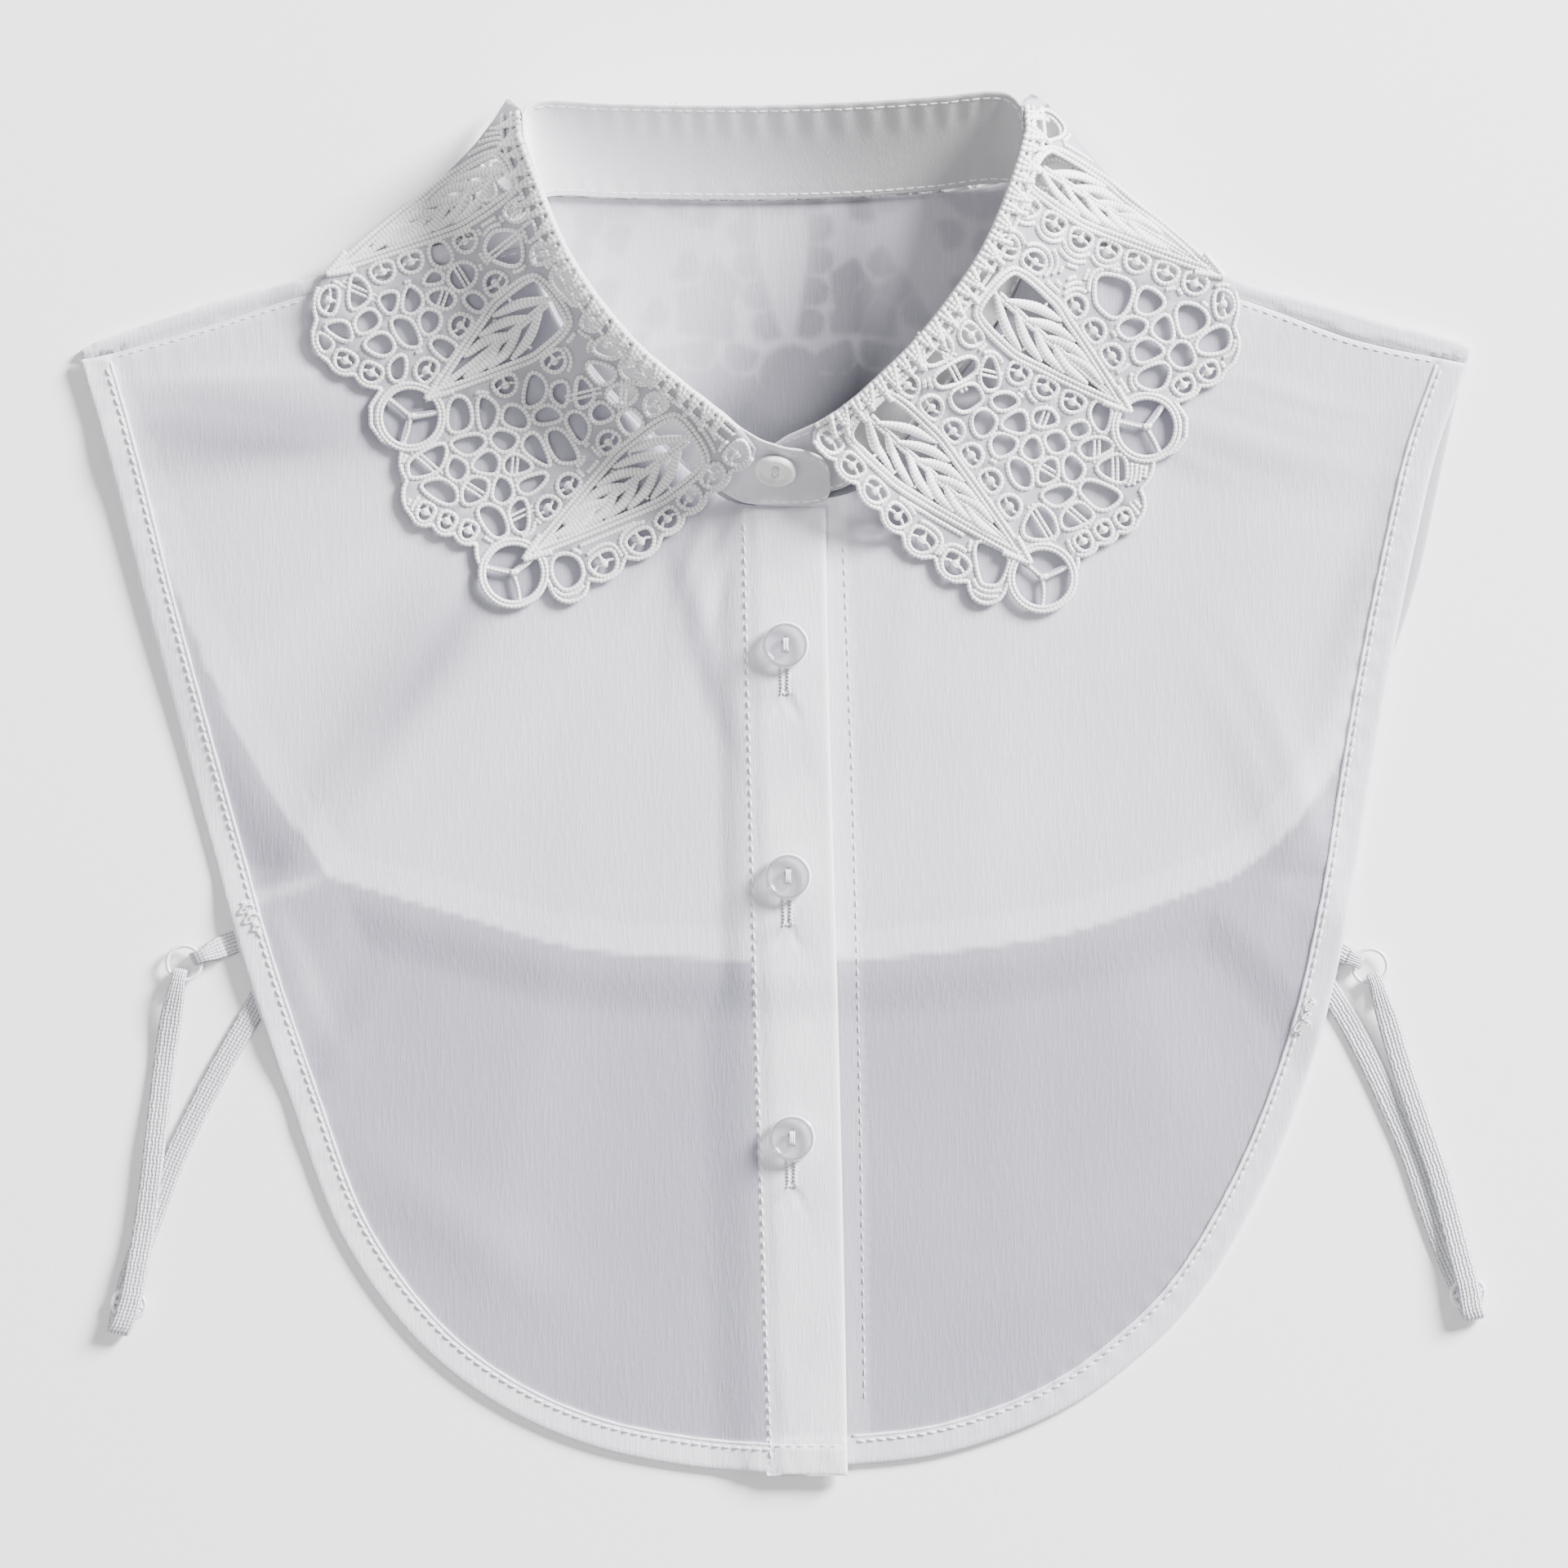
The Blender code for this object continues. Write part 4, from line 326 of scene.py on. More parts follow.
# Painted shade and painted light where the cloth dips or rises: x, y, length, width, direction in degrees,
# change of tone
FRONT_SHADES = [
    (-134.0, 87.0, 60.0, 15.0, 6.0, -0.6), (-120.0, 104.0, 60.0, 10.0, 10.0, 0.08),
    (-88.0, 28.0, 62.0, 13.0, 61.0, -0.5), (-110.0, 44.0, 70.0, 12.0, 48.0, 0.14),
    (-64.0, 10.0, 70.0, 14.0, 61.0, 0.1), (-21.0, 34.0, 44.0, 5.5, -67.0, -0.6),
    (-34.0, 60.0, 40.0, 6.0, 80.0, -0.12), (-14.5, 62.0, 16.0, 3.0, 84.0, -0.3),
    (-121.5, -25.5, 16.0, 3.2, 36.0, 0.42), (-126.0, -52.0, 34.0, 5.0, -58.0, -0.2),
    (-117.0, -46.0, 34.0, 5.0, -58.0, 0.24), (108.0, 86.0, 60.0, 12.0, -8.0, -0.24),
    (124.0, 70.0, 60.0, 12.0, -20.0, 0.14), (116.0, 4.0, 60.0, 16.0, -62.0, -0.14),
    (132.0, 0.0, 60.0, 8.0, 76.0, 0.2), (142.0, 52.0, 60.0, 9.0, 76.0, -0.3),
    (60.0, 40.0, 90.0, 26.0, 90.0, 0.1), (-60.0, -90.0, 90.0, 26.0, 90.0, 0.08),
    (40.0, -100.0, 90.0, 22.0, 90.0, -0.05), (96.0, -60.0, 60.0, 18.0, -60.0, 0.1),
]
# Painted shade and painted light of the placket's creases: same columns
PLACKET_SHADES = [
    (-4.0, 22.0, 12.0, 4.0, 40.0, -0.34), (5.0, 10.0, 16.0, 3.6, -60.0, -0.28),
    (2.0, -4.0, 20.0, 6.0, 70.0, 0.1), (-3.0, -36.0, 14.0, 4.0, 50.0, -0.32),
    (6.0, -38.0, 14.0, 3.6, -50.0, -0.26), (4.0, -62.0, 24.0, 6.0, 80.0, 0.1),
    (0.0, -100.0, 12.0, 4.0, 55.0, -0.16), (8.0, -104.0, 12.0, 4.0, -60.0, -0.14),
    (6.0, -140.0, 30.0, 6.0, 85.0, -0.1), (0.0, 54.0, 16.0, 7.0, 0.0, -0.2),
]
# Rows of points in the rim of a button, inward from its edge
RIM_ROWS = (0.12, 0.3, 0.42, 0.56, 0.75, 0.95, 1.2, 1.5, 1.8)
# The part of the back panel that shows through the neck: x, y
NECK_BOX = np.array([(-58.0, 68.0), (55.0, 68.0), (55.0, 143.0), (-58.0, 143.0)])
# Line of the back panel's own hem above its lower edge, and the facing's edge on the right front: x, y
BACK_HEM = 7.4
FACING_EDGE = [(15.1, 67.5), (16.6, 30.0), (18.0, -10.0), (19.2, -60.0), (20.1, -110.0), (20.8, -160.0)]

# Studio, in metres and watts: lamps by place and width, the open sky, and the camera straight above,
# whose picture takes in 384 mm of the board
LAMPS = [("key", (2.28, 1.75, 1.36), 1.2, 590.0), ("fill", (-1.0, -0.5, 2.8), 1.8, 30.0)]
SKY_STRENGTH = 0.5
BOARD_HALF = 3.0
BOARD_DROP = -0.0002
SENSOR_WIDTH = 36.0
PICTURE_WIDTH = 0.384
CAMERA_PLACE = (-0.0003, -0.0001, 3.0)


# Plane geometry

def smooth_line(anchors, step=OUTLINE_STEP):
    """Even points along a Catmull-Rom curve through the anchors, ends included."""
    pts = np.array(anchors, float)
    padded = np.vstack([2 * pts[0] - pts[1], pts, 2 * pts[-1] - pts[-2]])
    fine = []
    for i in range(len(pts) - 1):
        p0, p1, p2, p3 = padded[i:i + 4]
        for t in np.linspace(0.0, 1.0, 16, endpoint=False):
            fine.append(0.5 * (2 * p1 + (p2 - p0) * t + (2 * p0 - 5 * p1 + 4 * p2 - p3) * t ** 2
                               + (3 * p1 - p0 - 3 * p2 + p3) * t ** 3))
    fine.append(pts[-1])
    return resample(np.array(fine), step)


def travel_along(line):
    """How far along a line each of its points is."""
    return np.concatenate([[0.0], np.cumsum(np.linalg.norm(np.diff(line, axis=0), axis=1))])


def unit(vectors):
    """The same directions at length 1."""
    return vectors / np.maximum(np.linalg.norm(vectors, axis=-1, keepdims=True), 1e-9)


def resample(line, step):
    """The same open line with points at an even step."""
    lengths = travel_along(line)
    count = max(2, int(round(lengths[-1] / step)) + 1)
    at = np.linspace(0.0, lengths[-1], count)
    return np.column_stack([np.interp(at, lengths, line[:, k]) for k in range(line.shape[1])])


def even_loop(loop, step):
    """The same closed loop with points at an even step."""
    return resample(np.vstack([loop, loop[:1]]), step)[:-1]


def join_lines(*lines):
    """One closed loop from open lines that meet end to start."""
    loop = []
    for line in lines:
        for point in np.asarray(line, float):
            if not loop or np.linalg.norm(point - loop[-1]) > 0.25:
                loop.append(point)
    if np.linalg.norm(loop[0] - loop[-1]) < 0.25:
        loop.pop()
    return np.array(loop)


def inside(points, loop):
    """True for each point within a closed loop."""
    x, y = np.asarray(points, float).T
    hit = np.zeros(len(x), bool)
    for (x0, y0), (x1, y1) in zip(loop, np.roll(loop, -1, axis=0)):
        crosses = (y0 > y) != (y1 > y)
        slope = (x1 - x0) / (y1 - y0) if y1 != y0 else 0.0
        hit ^= crosses & (x < x0 + (y - y0) * slope)
    return hit


def outside_distance(points, loop):
    """Signed distance to a closed loop, positive outside."""
    closed = np.vstack([loop, loop[:1]])
    distance = line_distance(points, closed)
    return np.where(inside(points, loop), -distance, distance)


def ease(value):
    """Smooth step from 0 to 1."""
    t = np.clip(value, 0.0, 1.0)
    return t * t * (3.0 - 2.0 * t)


def grid_points(loop, step, inset):
    """Even triangular grid inside a loop, kept clear of its edge."""
    low = loop.min(0)
    high = loop.max(0)
    points = []
    for row, y in enumerate(np.arange(low[1], high[1], step * 0.866)):
        for x in np.arange(low[0] + (row % 2) * step / 2, high[0], step):
            points.append((x, y))
    points = np.array(points)
    return points[outside_distance(points, loop) < -inset]


def arc_edge(anchors, points_per_arc=4):
    """Open edge from a table of anchors, with scallops as arcs that bulge to the left of the run."""
    edge = []
    for (x0, y0, count, bulge), (x1, y1, _, _) in zip(anchors[:-1], anchors[1:]):
        start = np.array([x0, y0])
        run = np.array([x1, y1]) - start
        if count == 0:
            edge.append(start)
            continue
        chord = np.linalg.norm(run) / count
        along = run / np.linalg.norm(run)
        out = np.array([-along[1], along[0]])
        radius = (chord * chord / 4 + bulge * bulge) / (2 * bulge)
        half_angle = math.acos(max(-1.0, min(1.0, (radius - bulge) / radius)))
        steps = points_per_arc if half_angle < 1.3 else points_per_arc * 2
        for lobe in range(count):
            middle = start + along * chord * (lobe + 0.5) - out * (radius - bulge)
            for k in range(steps):
                a = -half_angle + 2 * half_angle * k / steps
                edge.append(middle + radius * (out * math.cos(a) + along * math.sin(a)))
    edge.append(np.array(anchors[-1][:2]))
    return np.array(edge)


def mirror_arcs(anchors):
    """Arcs that bulge to the right of the run."""
    flipped = [(-x, y, n, b) for x, y, n, b in anchors]
    return arc_edge(flipped) * (-1.0, 1.0)


def line_distance(points, line):
    """Distance of each point to an open line."""
    return line_place(points, line)[0]


def line_place(points, line):
    """Distance of each point to an open line, and how far along the line its nearest place is."""
    points = np.asarray(points, float)[:, :2]
    line = np.asarray(line, float)[:, :2]
    start = line[:-1]
    run = line[1:] - start
    size = np.maximum((run * run).sum(1), 1e-12)
    before = np.concatenate([[0.0], np.cumsum(np.sqrt(size))[:-1]])
    away = np.empty(len(points))
    travel = np.empty(len(points))
    for first in range(0, len(points), 2000):
        to_point = points[first:first + 2000, None, :] - start[None]
        t = np.clip((to_point * run).sum(2) / size, 0.0, 1.0)
        gap = ((to_point - t[:, :, None] * run) ** 2).sum(2)
        best = gap.argmin(1)
        pick = np.arange(len(best))
        away[first:first + 2000] = np.sqrt(gap[pick, best])
        travel[first:first + 2000] = before[best] + t[pick, best] * np.sqrt(size[best])
    return away, travel


def side_line(line, offset):
    """A copy of an open line moved to its right."""
    run = unit(np.gradient(np.asarray(line, float), axis=0))
    return np.asarray(line, float) + np.column_stack([run[:, 1], -run[:, 0]]) * offset


def closed_offset(loop, grow):
    """A closed loop moved outward, or inward where grow is below zero."""
    return loop + outward(loop) * grow


def round_loop(loop, step):
    """A closed loop with its corners rounded, at an even step."""
    rounded = loop
    for _ in range(2):
        ahead = np.roll(rounded, -1, axis=0)
        corners = [rounded * 0.75 + ahead * 0.25, rounded * 0.25 + ahead * 0.75]
        rounded = np.stack(corners, axis=1).reshape(-1, 2)
    return even_loop(rounded, step)


# Forms shared with the solids

def raise_folds(height, points, table, sway=0.0):
    """Height with soft ridges and troughs: x, y, length, width, direction in degrees, rise."""
    for x, y, length, width, angle, rise in table:
        a = math.radians(angle)
        dx = points[:, 0] - x
        dy = points[:, 1] - y
        along = (dx * math.cos(a) + dy * math.sin(a)) / length
        across = (-dx * math.sin(a) + dy * math.cos(a) + sway * np.sin(along * 3.0)) / width
        height = height + rise * np.exp(-along ** 2 * 3.0 - across ** 2 * 3.0)
    return height


class Layer:
    """A cloth piece that lies over the pieces below it."""

    def __init__(self, loop, below=(), folds=(), raised=None):
        self.loop = loop
        self.below = below
        self.folds = folds
        self.raised = raised

    def bottom(self, points):
        """Height of the lower face: over the lower pieces, plus its own folds."""
        return raise_folds(cover(points, self.below), points, self.folds)

    def top(self, points):
        """Height of the upper face."""
        extra = self.raised(points) if self.raised else 0.0
        return self.bottom(points) + WALL + extra


def cover(points, below):
    """Height a wall needs to clear the pieces below, easing down where they end."""
    height = np.zeros(len(points))
    for layer in below:
        distance = outside_distance(points, layer.loop)
        share = ease((RAMP_END - distance) / (RAMP_END - RAMP_START))
        near = share > 0.0
        if near.any():
            lift = (layer.top(points[near]) + GAP + SPARE) * share[near]
            height[near] = np.maximum(height[near], lift)
    return height


def hem_rise(hem):
    """Extra height along a folded hem."""
    def rise(points):
        return HEM_RISE * ease(HEM_WIDTH + 0.5 - line_distance(points, hem))
    return rise


def shoulder_rise(strips):
    """Extra height of the back panel where it wraps over the shoulders to the seams."""
    def rise(points):
        height = np.zeros(len(points))
        for seam, strip in strips:
            depth = np.where(inside(points, strip), line_distance(points, seam), 0.0)
            height = np.maximum(height, SHOULDER_STEP * ease((depth - 0.1) / 0.4))
        return height
    return rise


def line_between(line, span):
    """The stretch of a line from the point nearest one place to the point nearest another."""
    first = np.linalg.norm(line - span[0], axis=1).argmin()
    last = np.linalg.norm(line - span[1], axis=1).argmin()
    return line[first:last + 1] if first < last else line[last:first + 1]


def stand_point(row, share):
    """Middle of the stand's wall, from seam (0) to top edge (1)."""
    top = row[0:3]
    seam = row[3:6]
    point = seam + (top - seam) * share
    point[2] -= row[6] * 4.0 * share * (1.0 - share)
    return point


def stand_stations(count=STAND_STATIONS):
    """Smooth stations of the stand: top edge, seam edge and sag."""
    fine = smooth_line(np.array(STAND, float), 0.5)
    top_steps = np.linalg.norm(np.diff(fine[:, :2], axis=0), axis=1)
    seam_steps = np.linalg.norm(np.diff(fine[:, 3:5], axis=0), axis=1)
    travel = np.concatenate([[0.0], np.cumsum(top_steps + SEAM_WEIGHT * seam_steps)])
    at = np.linspace(0.0, travel[-1], count)
    return np.column_stack([np.interp(at, travel, fine[:, k]) for k in range(fine.shape[1])])


def roll_height(points):
    """Distance to the stand's top edge, and the height of that edge at the nearest place."""
    top = stand_stations()[:, :3]
    gaps = np.linalg.norm(points[:, None, :] - top[None, :, :2], axis=2)
    weight = 1.0 / (gaps + 0.4) ** 4
    height = (weight * top[:, 2]).sum(1) / weight.sum(1)
    return line_distance(points, top[:, :2]), height


def leaf_axes(leaf):
    """A leaf's base, its run to the tip, its length, and the directions along and across it."""
    base = np.array(leaf[:2])
    run = np.array(leaf[2:4]) - base
    length = np.linalg.norm(run)
    along = run / length
    return base, run, length, along, np.array([-along[1], along[0]])


def leaf_loop(leaf, grow=0.0):
    """Outline of a leaf: pointed at its tip, widest three quarters of the way to its base."""
    base, _, length, along, across = leaf_axes(leaf)
    side = []
    for t in np.linspace(0.0, 1.0, LEAF_POINTS):
        taper = min(1.0, LEAF_TAPER * (1.0 - t) ** 0.9) * min(1.0, LEAF_BASE + 2.2 * t)
        width = leaf[4] * taper + grow
        side.append((t * length + (t - 0.5) * 2 * grow, width))
    loop = [base + along * a + across * w for a, w in side]
    loop += [base + along * a - across * w for a, w in reversed(side)]
    return np.array(loop)


def d_gap(centre, heading, width, depth):
    """A D-shaped gap whose round side faces the heading."""
    shape = [(-0.5, -0.45), (0.5, -0.45), (0.46, 0.12), (0.2, 0.5), (-0.2, 0.5), (-0.46, 0.12)]
    c, s = math.cos(heading), math.sin(heading)
    return np.array([(centre[0] + u * width * s + v * depth * c,
                      centre[1] - u * width * c + v * depth * s) for u, v in shape])


def ring_gaps(x, y, heading):
    """Three gaps of a large ring, parted by an uneven Y of brides."""
    radius = RING_RADIUS - RING_CORD
    bride = 0.75
    turns = [heading + 180.0, heading + 65.0, heading - 50.0]
    gaps = []
    for start, stop in zip(turns, turns[1:] + turns[:1]):
        span = (start - stop) % 360.0
        a0 = math.radians(stop) + bride / radius
        a1 = math.radians(stop + span) - bride / radius
        middle = (a0 + a1) / 2
        reach = min(bride / math.sin(min((a1 - a0) / 2, math.pi / 2)), radius * 0.4)
        points = [(x + reach * math.cos(middle), y + reach * math.sin(middle))]
        for a in np.linspace(a0, a1, 6):
            points.append((x + radius * math.cos(a), y + radius * math.sin(a)))
        gaps.append(np.array(points))
    return gaps


def edge_gaps(anchors, side):
    """One D-shaped gap behind each small scallop of an edge table."""
    gaps = []
    for (x0, y0, count, bulge), (x1, y1, _, _) in zip(anchors[:-1], anchors[1:]):
        run = np.array([x1 - x0, y1 - y0])
        if count == 0 or bulge > 7.0:
            continue
        chord = np.linalg.norm(run) / count
        along = run / np.linalg.norm(run)
        out = np.array([-along[1], along[0]]) * side
        for lobe in range(count):
            width = min(chord - 2.0, 6.8)
            depth = max(4.3, min(5.4, bulge + 2.8))
            crown = min(bulge, 3.2) - LACE_EDGE_WEB - 0.4
            centre = np.array([x0, y0]) + along * chord * (lobe + 0.5) + out * (crown - depth / 2)
            gaps.append(d_gap(centre, math.atan2(out[1], out[0]), width, depth))
    return gaps


def leaf_gaps(leaf):
    """A row of D-shaped gaps along both sides of a leaf."""
    loop = leaf_loop(leaf, grow=SCALLOP_OUT)
    base = np.array(leaf[:2])
    tip = np.array(leaf[2:4])
    gaps = []
    for side in (loop[:LEAF_POINTS], loop[LEAF_POINTS:][::-1]):
        line = resample(side, SCALLOP_STEP)
        run = np.gradient(line, axis=0)
        for point, step in zip(line[:-1], run[:-1]):
            out = np.array([-step[1], step[0]])
            foot = base + (tip - base) * np.dot(point - base, tip - base) / np.dot(tip - base, tip - base)
            if np.dot(out, point - foot) < 0:
                out = -out
            gaps.append(d_gap(point, math.atan2(out[1], out[0]), 5.6, 4.4))
    return gaps


def trim_gap(gap, place, away):
    """The part of a convex gap that stays on the near side of a line through a place."""
    kept = []
    depth = (gap - place) @ away
    for i in range(len(gap)):
        j = (i + 1) % len(gap)
        if depth[i] <= 0.0:
            kept.append(gap[i])
        if (depth[i] < 0.0) != (depth[j] < 0.0) and depth[i] != depth[j]:
            kept.append(gap[i] + (gap[j] - gap[i]) * depth[i] / (depth[i] - depth[j]))
    return np.array(kept)


def outward(loop):
    """Unit directions out of a closed loop at its points."""
    run = unit(np.roll(loop, -1, axis=0) - np.roll(loop, 1, axis=0))
    area = (loop[:, 0] * np.roll(loop[:, 1], -1) - np.roll(loop[:, 0], -1) * loop[:, 1]).sum()
    return np.column_stack([run[:, 1], -run[:, 0]]) * (1.0 if area > 0 else -1.0)


def cell_seeds(loop, leaves, discs):
    """Uneven rows of places for the cells, clear of the edge, the leaves and the discs."""
    low = loop.min(0)
    high = loop.max(0)
    seeds = []
    for row, y in enumerate(np.arange(low[1], high[1], CELL_STEP * 0.8)):
        for column, x in enumerate(np.arange(low[0] + row % 2 * CELL_STEP / 2, high[0], CELL_STEP)):
            seed = np.array([x + CELL_SHIFT * math.sin(row * 2.3 + column * 1.7),
                             y + CELL_SHIFT * math.cos(row * 1.1 + column * 2.9)])
            if outside_distance([seed], loop)[0] > -LACE_EDGE_WEB - 1.3:
                continue
            if any(outside_distance([seed], leaf_loop(leaf))[0] < LEAF_WEB + 1.4 for leaf in leaves):
                continue
            if any(np.linalg.norm(seed - centre) < radius + LACE_WEB + 1.2 for centre, radius in discs):
                continue
            seeds.append(seed)
    return seeds


def cell_gaps(loop, leaves, rings, kept):
    """Many-sided gaps that share out the lace between the leaves, rings and scallops."""
    walls = [(even_loop(loop, 1.5), 1.0, LACE_EDGE_WEB + 0.1)]
    walls += [(even_loop(leaf_loop(leaf), 1.5), -1.0, LEAF_WEB) for leaf in leaves]
    discs = [(np.array([x, y]), RING_RADIUS - LACE_WEB + 0.6) for x, y, _ in rings]
    discs += [(gap.mean(0), np.linalg.norm(gap - gap.mean(0), axis=1).max() * 0.92) for gap in kept]
    seeds = cell_seeds(loop, leaves, discs)
    gaps = []
    for seed in seeds:
        gap = seed + np.array([(-6, -6), (6, -6), (6, 6), (-6, 6)], float)
        limits = []
        for other in seeds:
            apart = np.linalg.norm(other - seed)
            if 0.0 < apart < 15.0:
                away = (other - seed) / apart
                limits.append((seed + away * (apart - LACE_WEB) / 2, away))
        for centre, radius in discs:
            apart = np.linalg.norm(centre - seed)
            if apart < radius + 12.0:
                away = (centre - seed) / apart
                limits.append((centre - away * (radius + LACE_WEB), away))
        for line, sense, margin in walls:
            near = np.linalg.norm(line - seed, axis=1) < 10.0
            for point, out in zip(line[near], outward(line)[near] * sense):
                facing = np.dot(point - seed, out)
                if facing > max(margin, 0.62 * np.linalg.norm(point - seed)):
                    limits.append((point - out * margin, out))
        for place, away in limits:
            if len(gap) > 2:
                gap = trim_gap(gap, place, away)
        if len(gap) > 2:
            gap = merge_corners(gap)
        for _ in range(4):
            points = edge_samples(gap)
            if outside_distance(points, loop).max() < -LACE_EDGE_WEB * 0.9:
                break
            gap = gap.mean(0) + (gap - gap.mean(0)) * 0.86
        if len(gap) > 2 and np.linalg.norm(gap[:, None] - gap[None], axis=2).max() > LACE_MIN_GAP:
            gaps.append(gap)
    return gaps


def merge_corners(gap, apart=1.3):
    """A gap without corners that lie too near each other."""
    corners = [gap[0]]
    for point in gap[1:]:
        if np.linalg.norm(point - corners[-1]) > apart:
            corners.append(point)
    if len(corners) > 3 and np.linalg.norm(corners[0] - corners[-1]) < apart:
        corners.pop()
    return np.array(corners)


def edge_samples(loop):
    """Corners and edge thirds of a small closed loop."""
    turned = np.roll(loop, -1, axis=0)
    return np.vstack([loop, loop * 2 / 3 + turned / 3, loop / 3 + turned * 2 / 3])


def gap_area(gap):
    """Plan area of a gap."""
    after = np.roll(gap, -1, axis=0)
    return abs((gap[:, 0] * after[:, 1] - after[:, 0] * gap[:, 1]).sum()) / 2


def lace_gaps(loop, leaves, rings, candidates, left_whole=0):
    """Gaps that fit in the lace: rings, scallops a web's width apart, then cells but for the smallest."""
    solid_leaves = [leaf_loop(leaf) for leaf in leaves]
    kept = []
    for x, y, heading in rings:
        kept.extend(ring_gaps(x, y, heading))
    samples = [edge_samples(gap) for gap in kept]
    scallops = []
    for gap in candidates:
        points = edge_samples(gap)
        if outside_distance(points, loop).max() > -LACE_EDGE_WEB:
            continue
        if any(outside_distance(points, leaf).min() < LEAF_WEB * 0.8 for leaf in solid_leaves):
            continue
        if any(np.linalg.norm(points - (x, y), axis=1).min() < RING_RADIUS + 0.2 for x, y, _ in rings):
            continue
        centre = gap.mean(0)
        near = [other for other in samples if np.linalg.norm(other.mean(0) - centre) < 16.0]
        if any(np.linalg.norm(points[:, None] - other[None], axis=2).min() < LACE_WEB for other in near):
            continue
        scallops.append(gap)
        samples.append(points)
    cells = sorted(cell_gaps(loop, leaves, rings, scallops), key=gap_area, reverse=True)
    return kept + scallops + cells[:len(cells) - left_whole]


def disc_points(radius, count):
    """Points of a circle."""
    turn = np.linspace(0.0, 2 * math.pi, count, endpoint=False)
    return np.column_stack([radius * np.cos(turn), radius * np.sin(turn)])


def strap_loop(table):
    """Plan outline of the strap's floor-level strand, for what lies over it."""
    rows = np.array([row for row in table if row[2] <= 0.6][:9], float)
    heading = np.radians(rows[:, 3])
    across = np.column_stack([-np.sin(heading), np.cos(heading)]) * ELASTIC_WIDTH / 2
    return np.vstack([rows[:, :2] + across, (rows[:, :2] - across)[::-1]])


def strap_path(table, step=0.45):
    """Smooth centres and half-width vectors of a strap from its table."""
    fine = smooth_line(np.array(table, float), 0.3)
    travel = travel_along(fine[:, :3])
    bend = np.abs(np.gradient(fine[:, 2])) + 0.04
    weight = np.concatenate([[0.0], np.cumsum(np.diff(travel) * (0.1 + bend[1:] * 3.0))])
    at = np.linspace(0.0, weight[-1], int(travel[-1] / step))
    even = np.column_stack([np.interp(at, weight, fine[:, k]) for k in range(5)])
    heading = np.radians(even[:, 3])
    across = np.column_stack([-np.sin(heading), np.cos(heading), np.zeros(len(even))])
    return even[:, :3], across * (ELASTIC_WIDTH / 2 * even[:, 4])[:, None]


# Materials

def linear(hex_colour):
    """A colour socket's value from an sRGB hex colour."""
    parts = [int(hex_colour[i:i + 2], 16) / 255 for i in (1, 3, 5)]
    return (*[c / 12.92 if c <= 0.04045 else ((c + 0.055) / 1.055) ** 2.4 for c in parts], 1.0)


def set_sockets(tree, node, settings=None, links=None):
    """A node's settings, the stops of its ramp, the values of its sockets and what feeds them."""
    for name, value in (settings or {}).items():
        if name == "stops":
            set_ramp(node, value)
        elif isinstance(name, str) and hasattr(node, name):
            setattr(node, name, value)
        else:
            node.inputs[name].default_value = value
    for name, source in (links or {}).items():
        tree.links.new(source, node.inputs[name])
    return node


def add_node(tree, kind, settings=None, links=None):
    """One shader node with its settings and the sockets that feed it."""
    return set_sockets(tree, tree.nodes.new("ShaderNode" + kind), settings, links)


def start_material(name):
    """An empty material with its output and Principled shader."""
    material = bpy.data.materials.new(name)
    material.use_nodes = True
    tree = material.node_tree
    tree.nodes.clear()
    shader = add_node(tree, "BsdfPrincipled")
    add_node(tree, "OutputMaterial", None, {"Surface": shader.outputs["BSDF"]})
    return material, tree, shader


def set_ramp(node, stops):
    """Positions and colours of a colour ramp."""
    ramp = node.color_ramp
    while len(ramp.elements) < len(stops):
        ramp.elements.new(0.5)
    for element, (place, colour) in zip(ramp.elements, stops):
        element.position = place
        element.color = linear(colour)


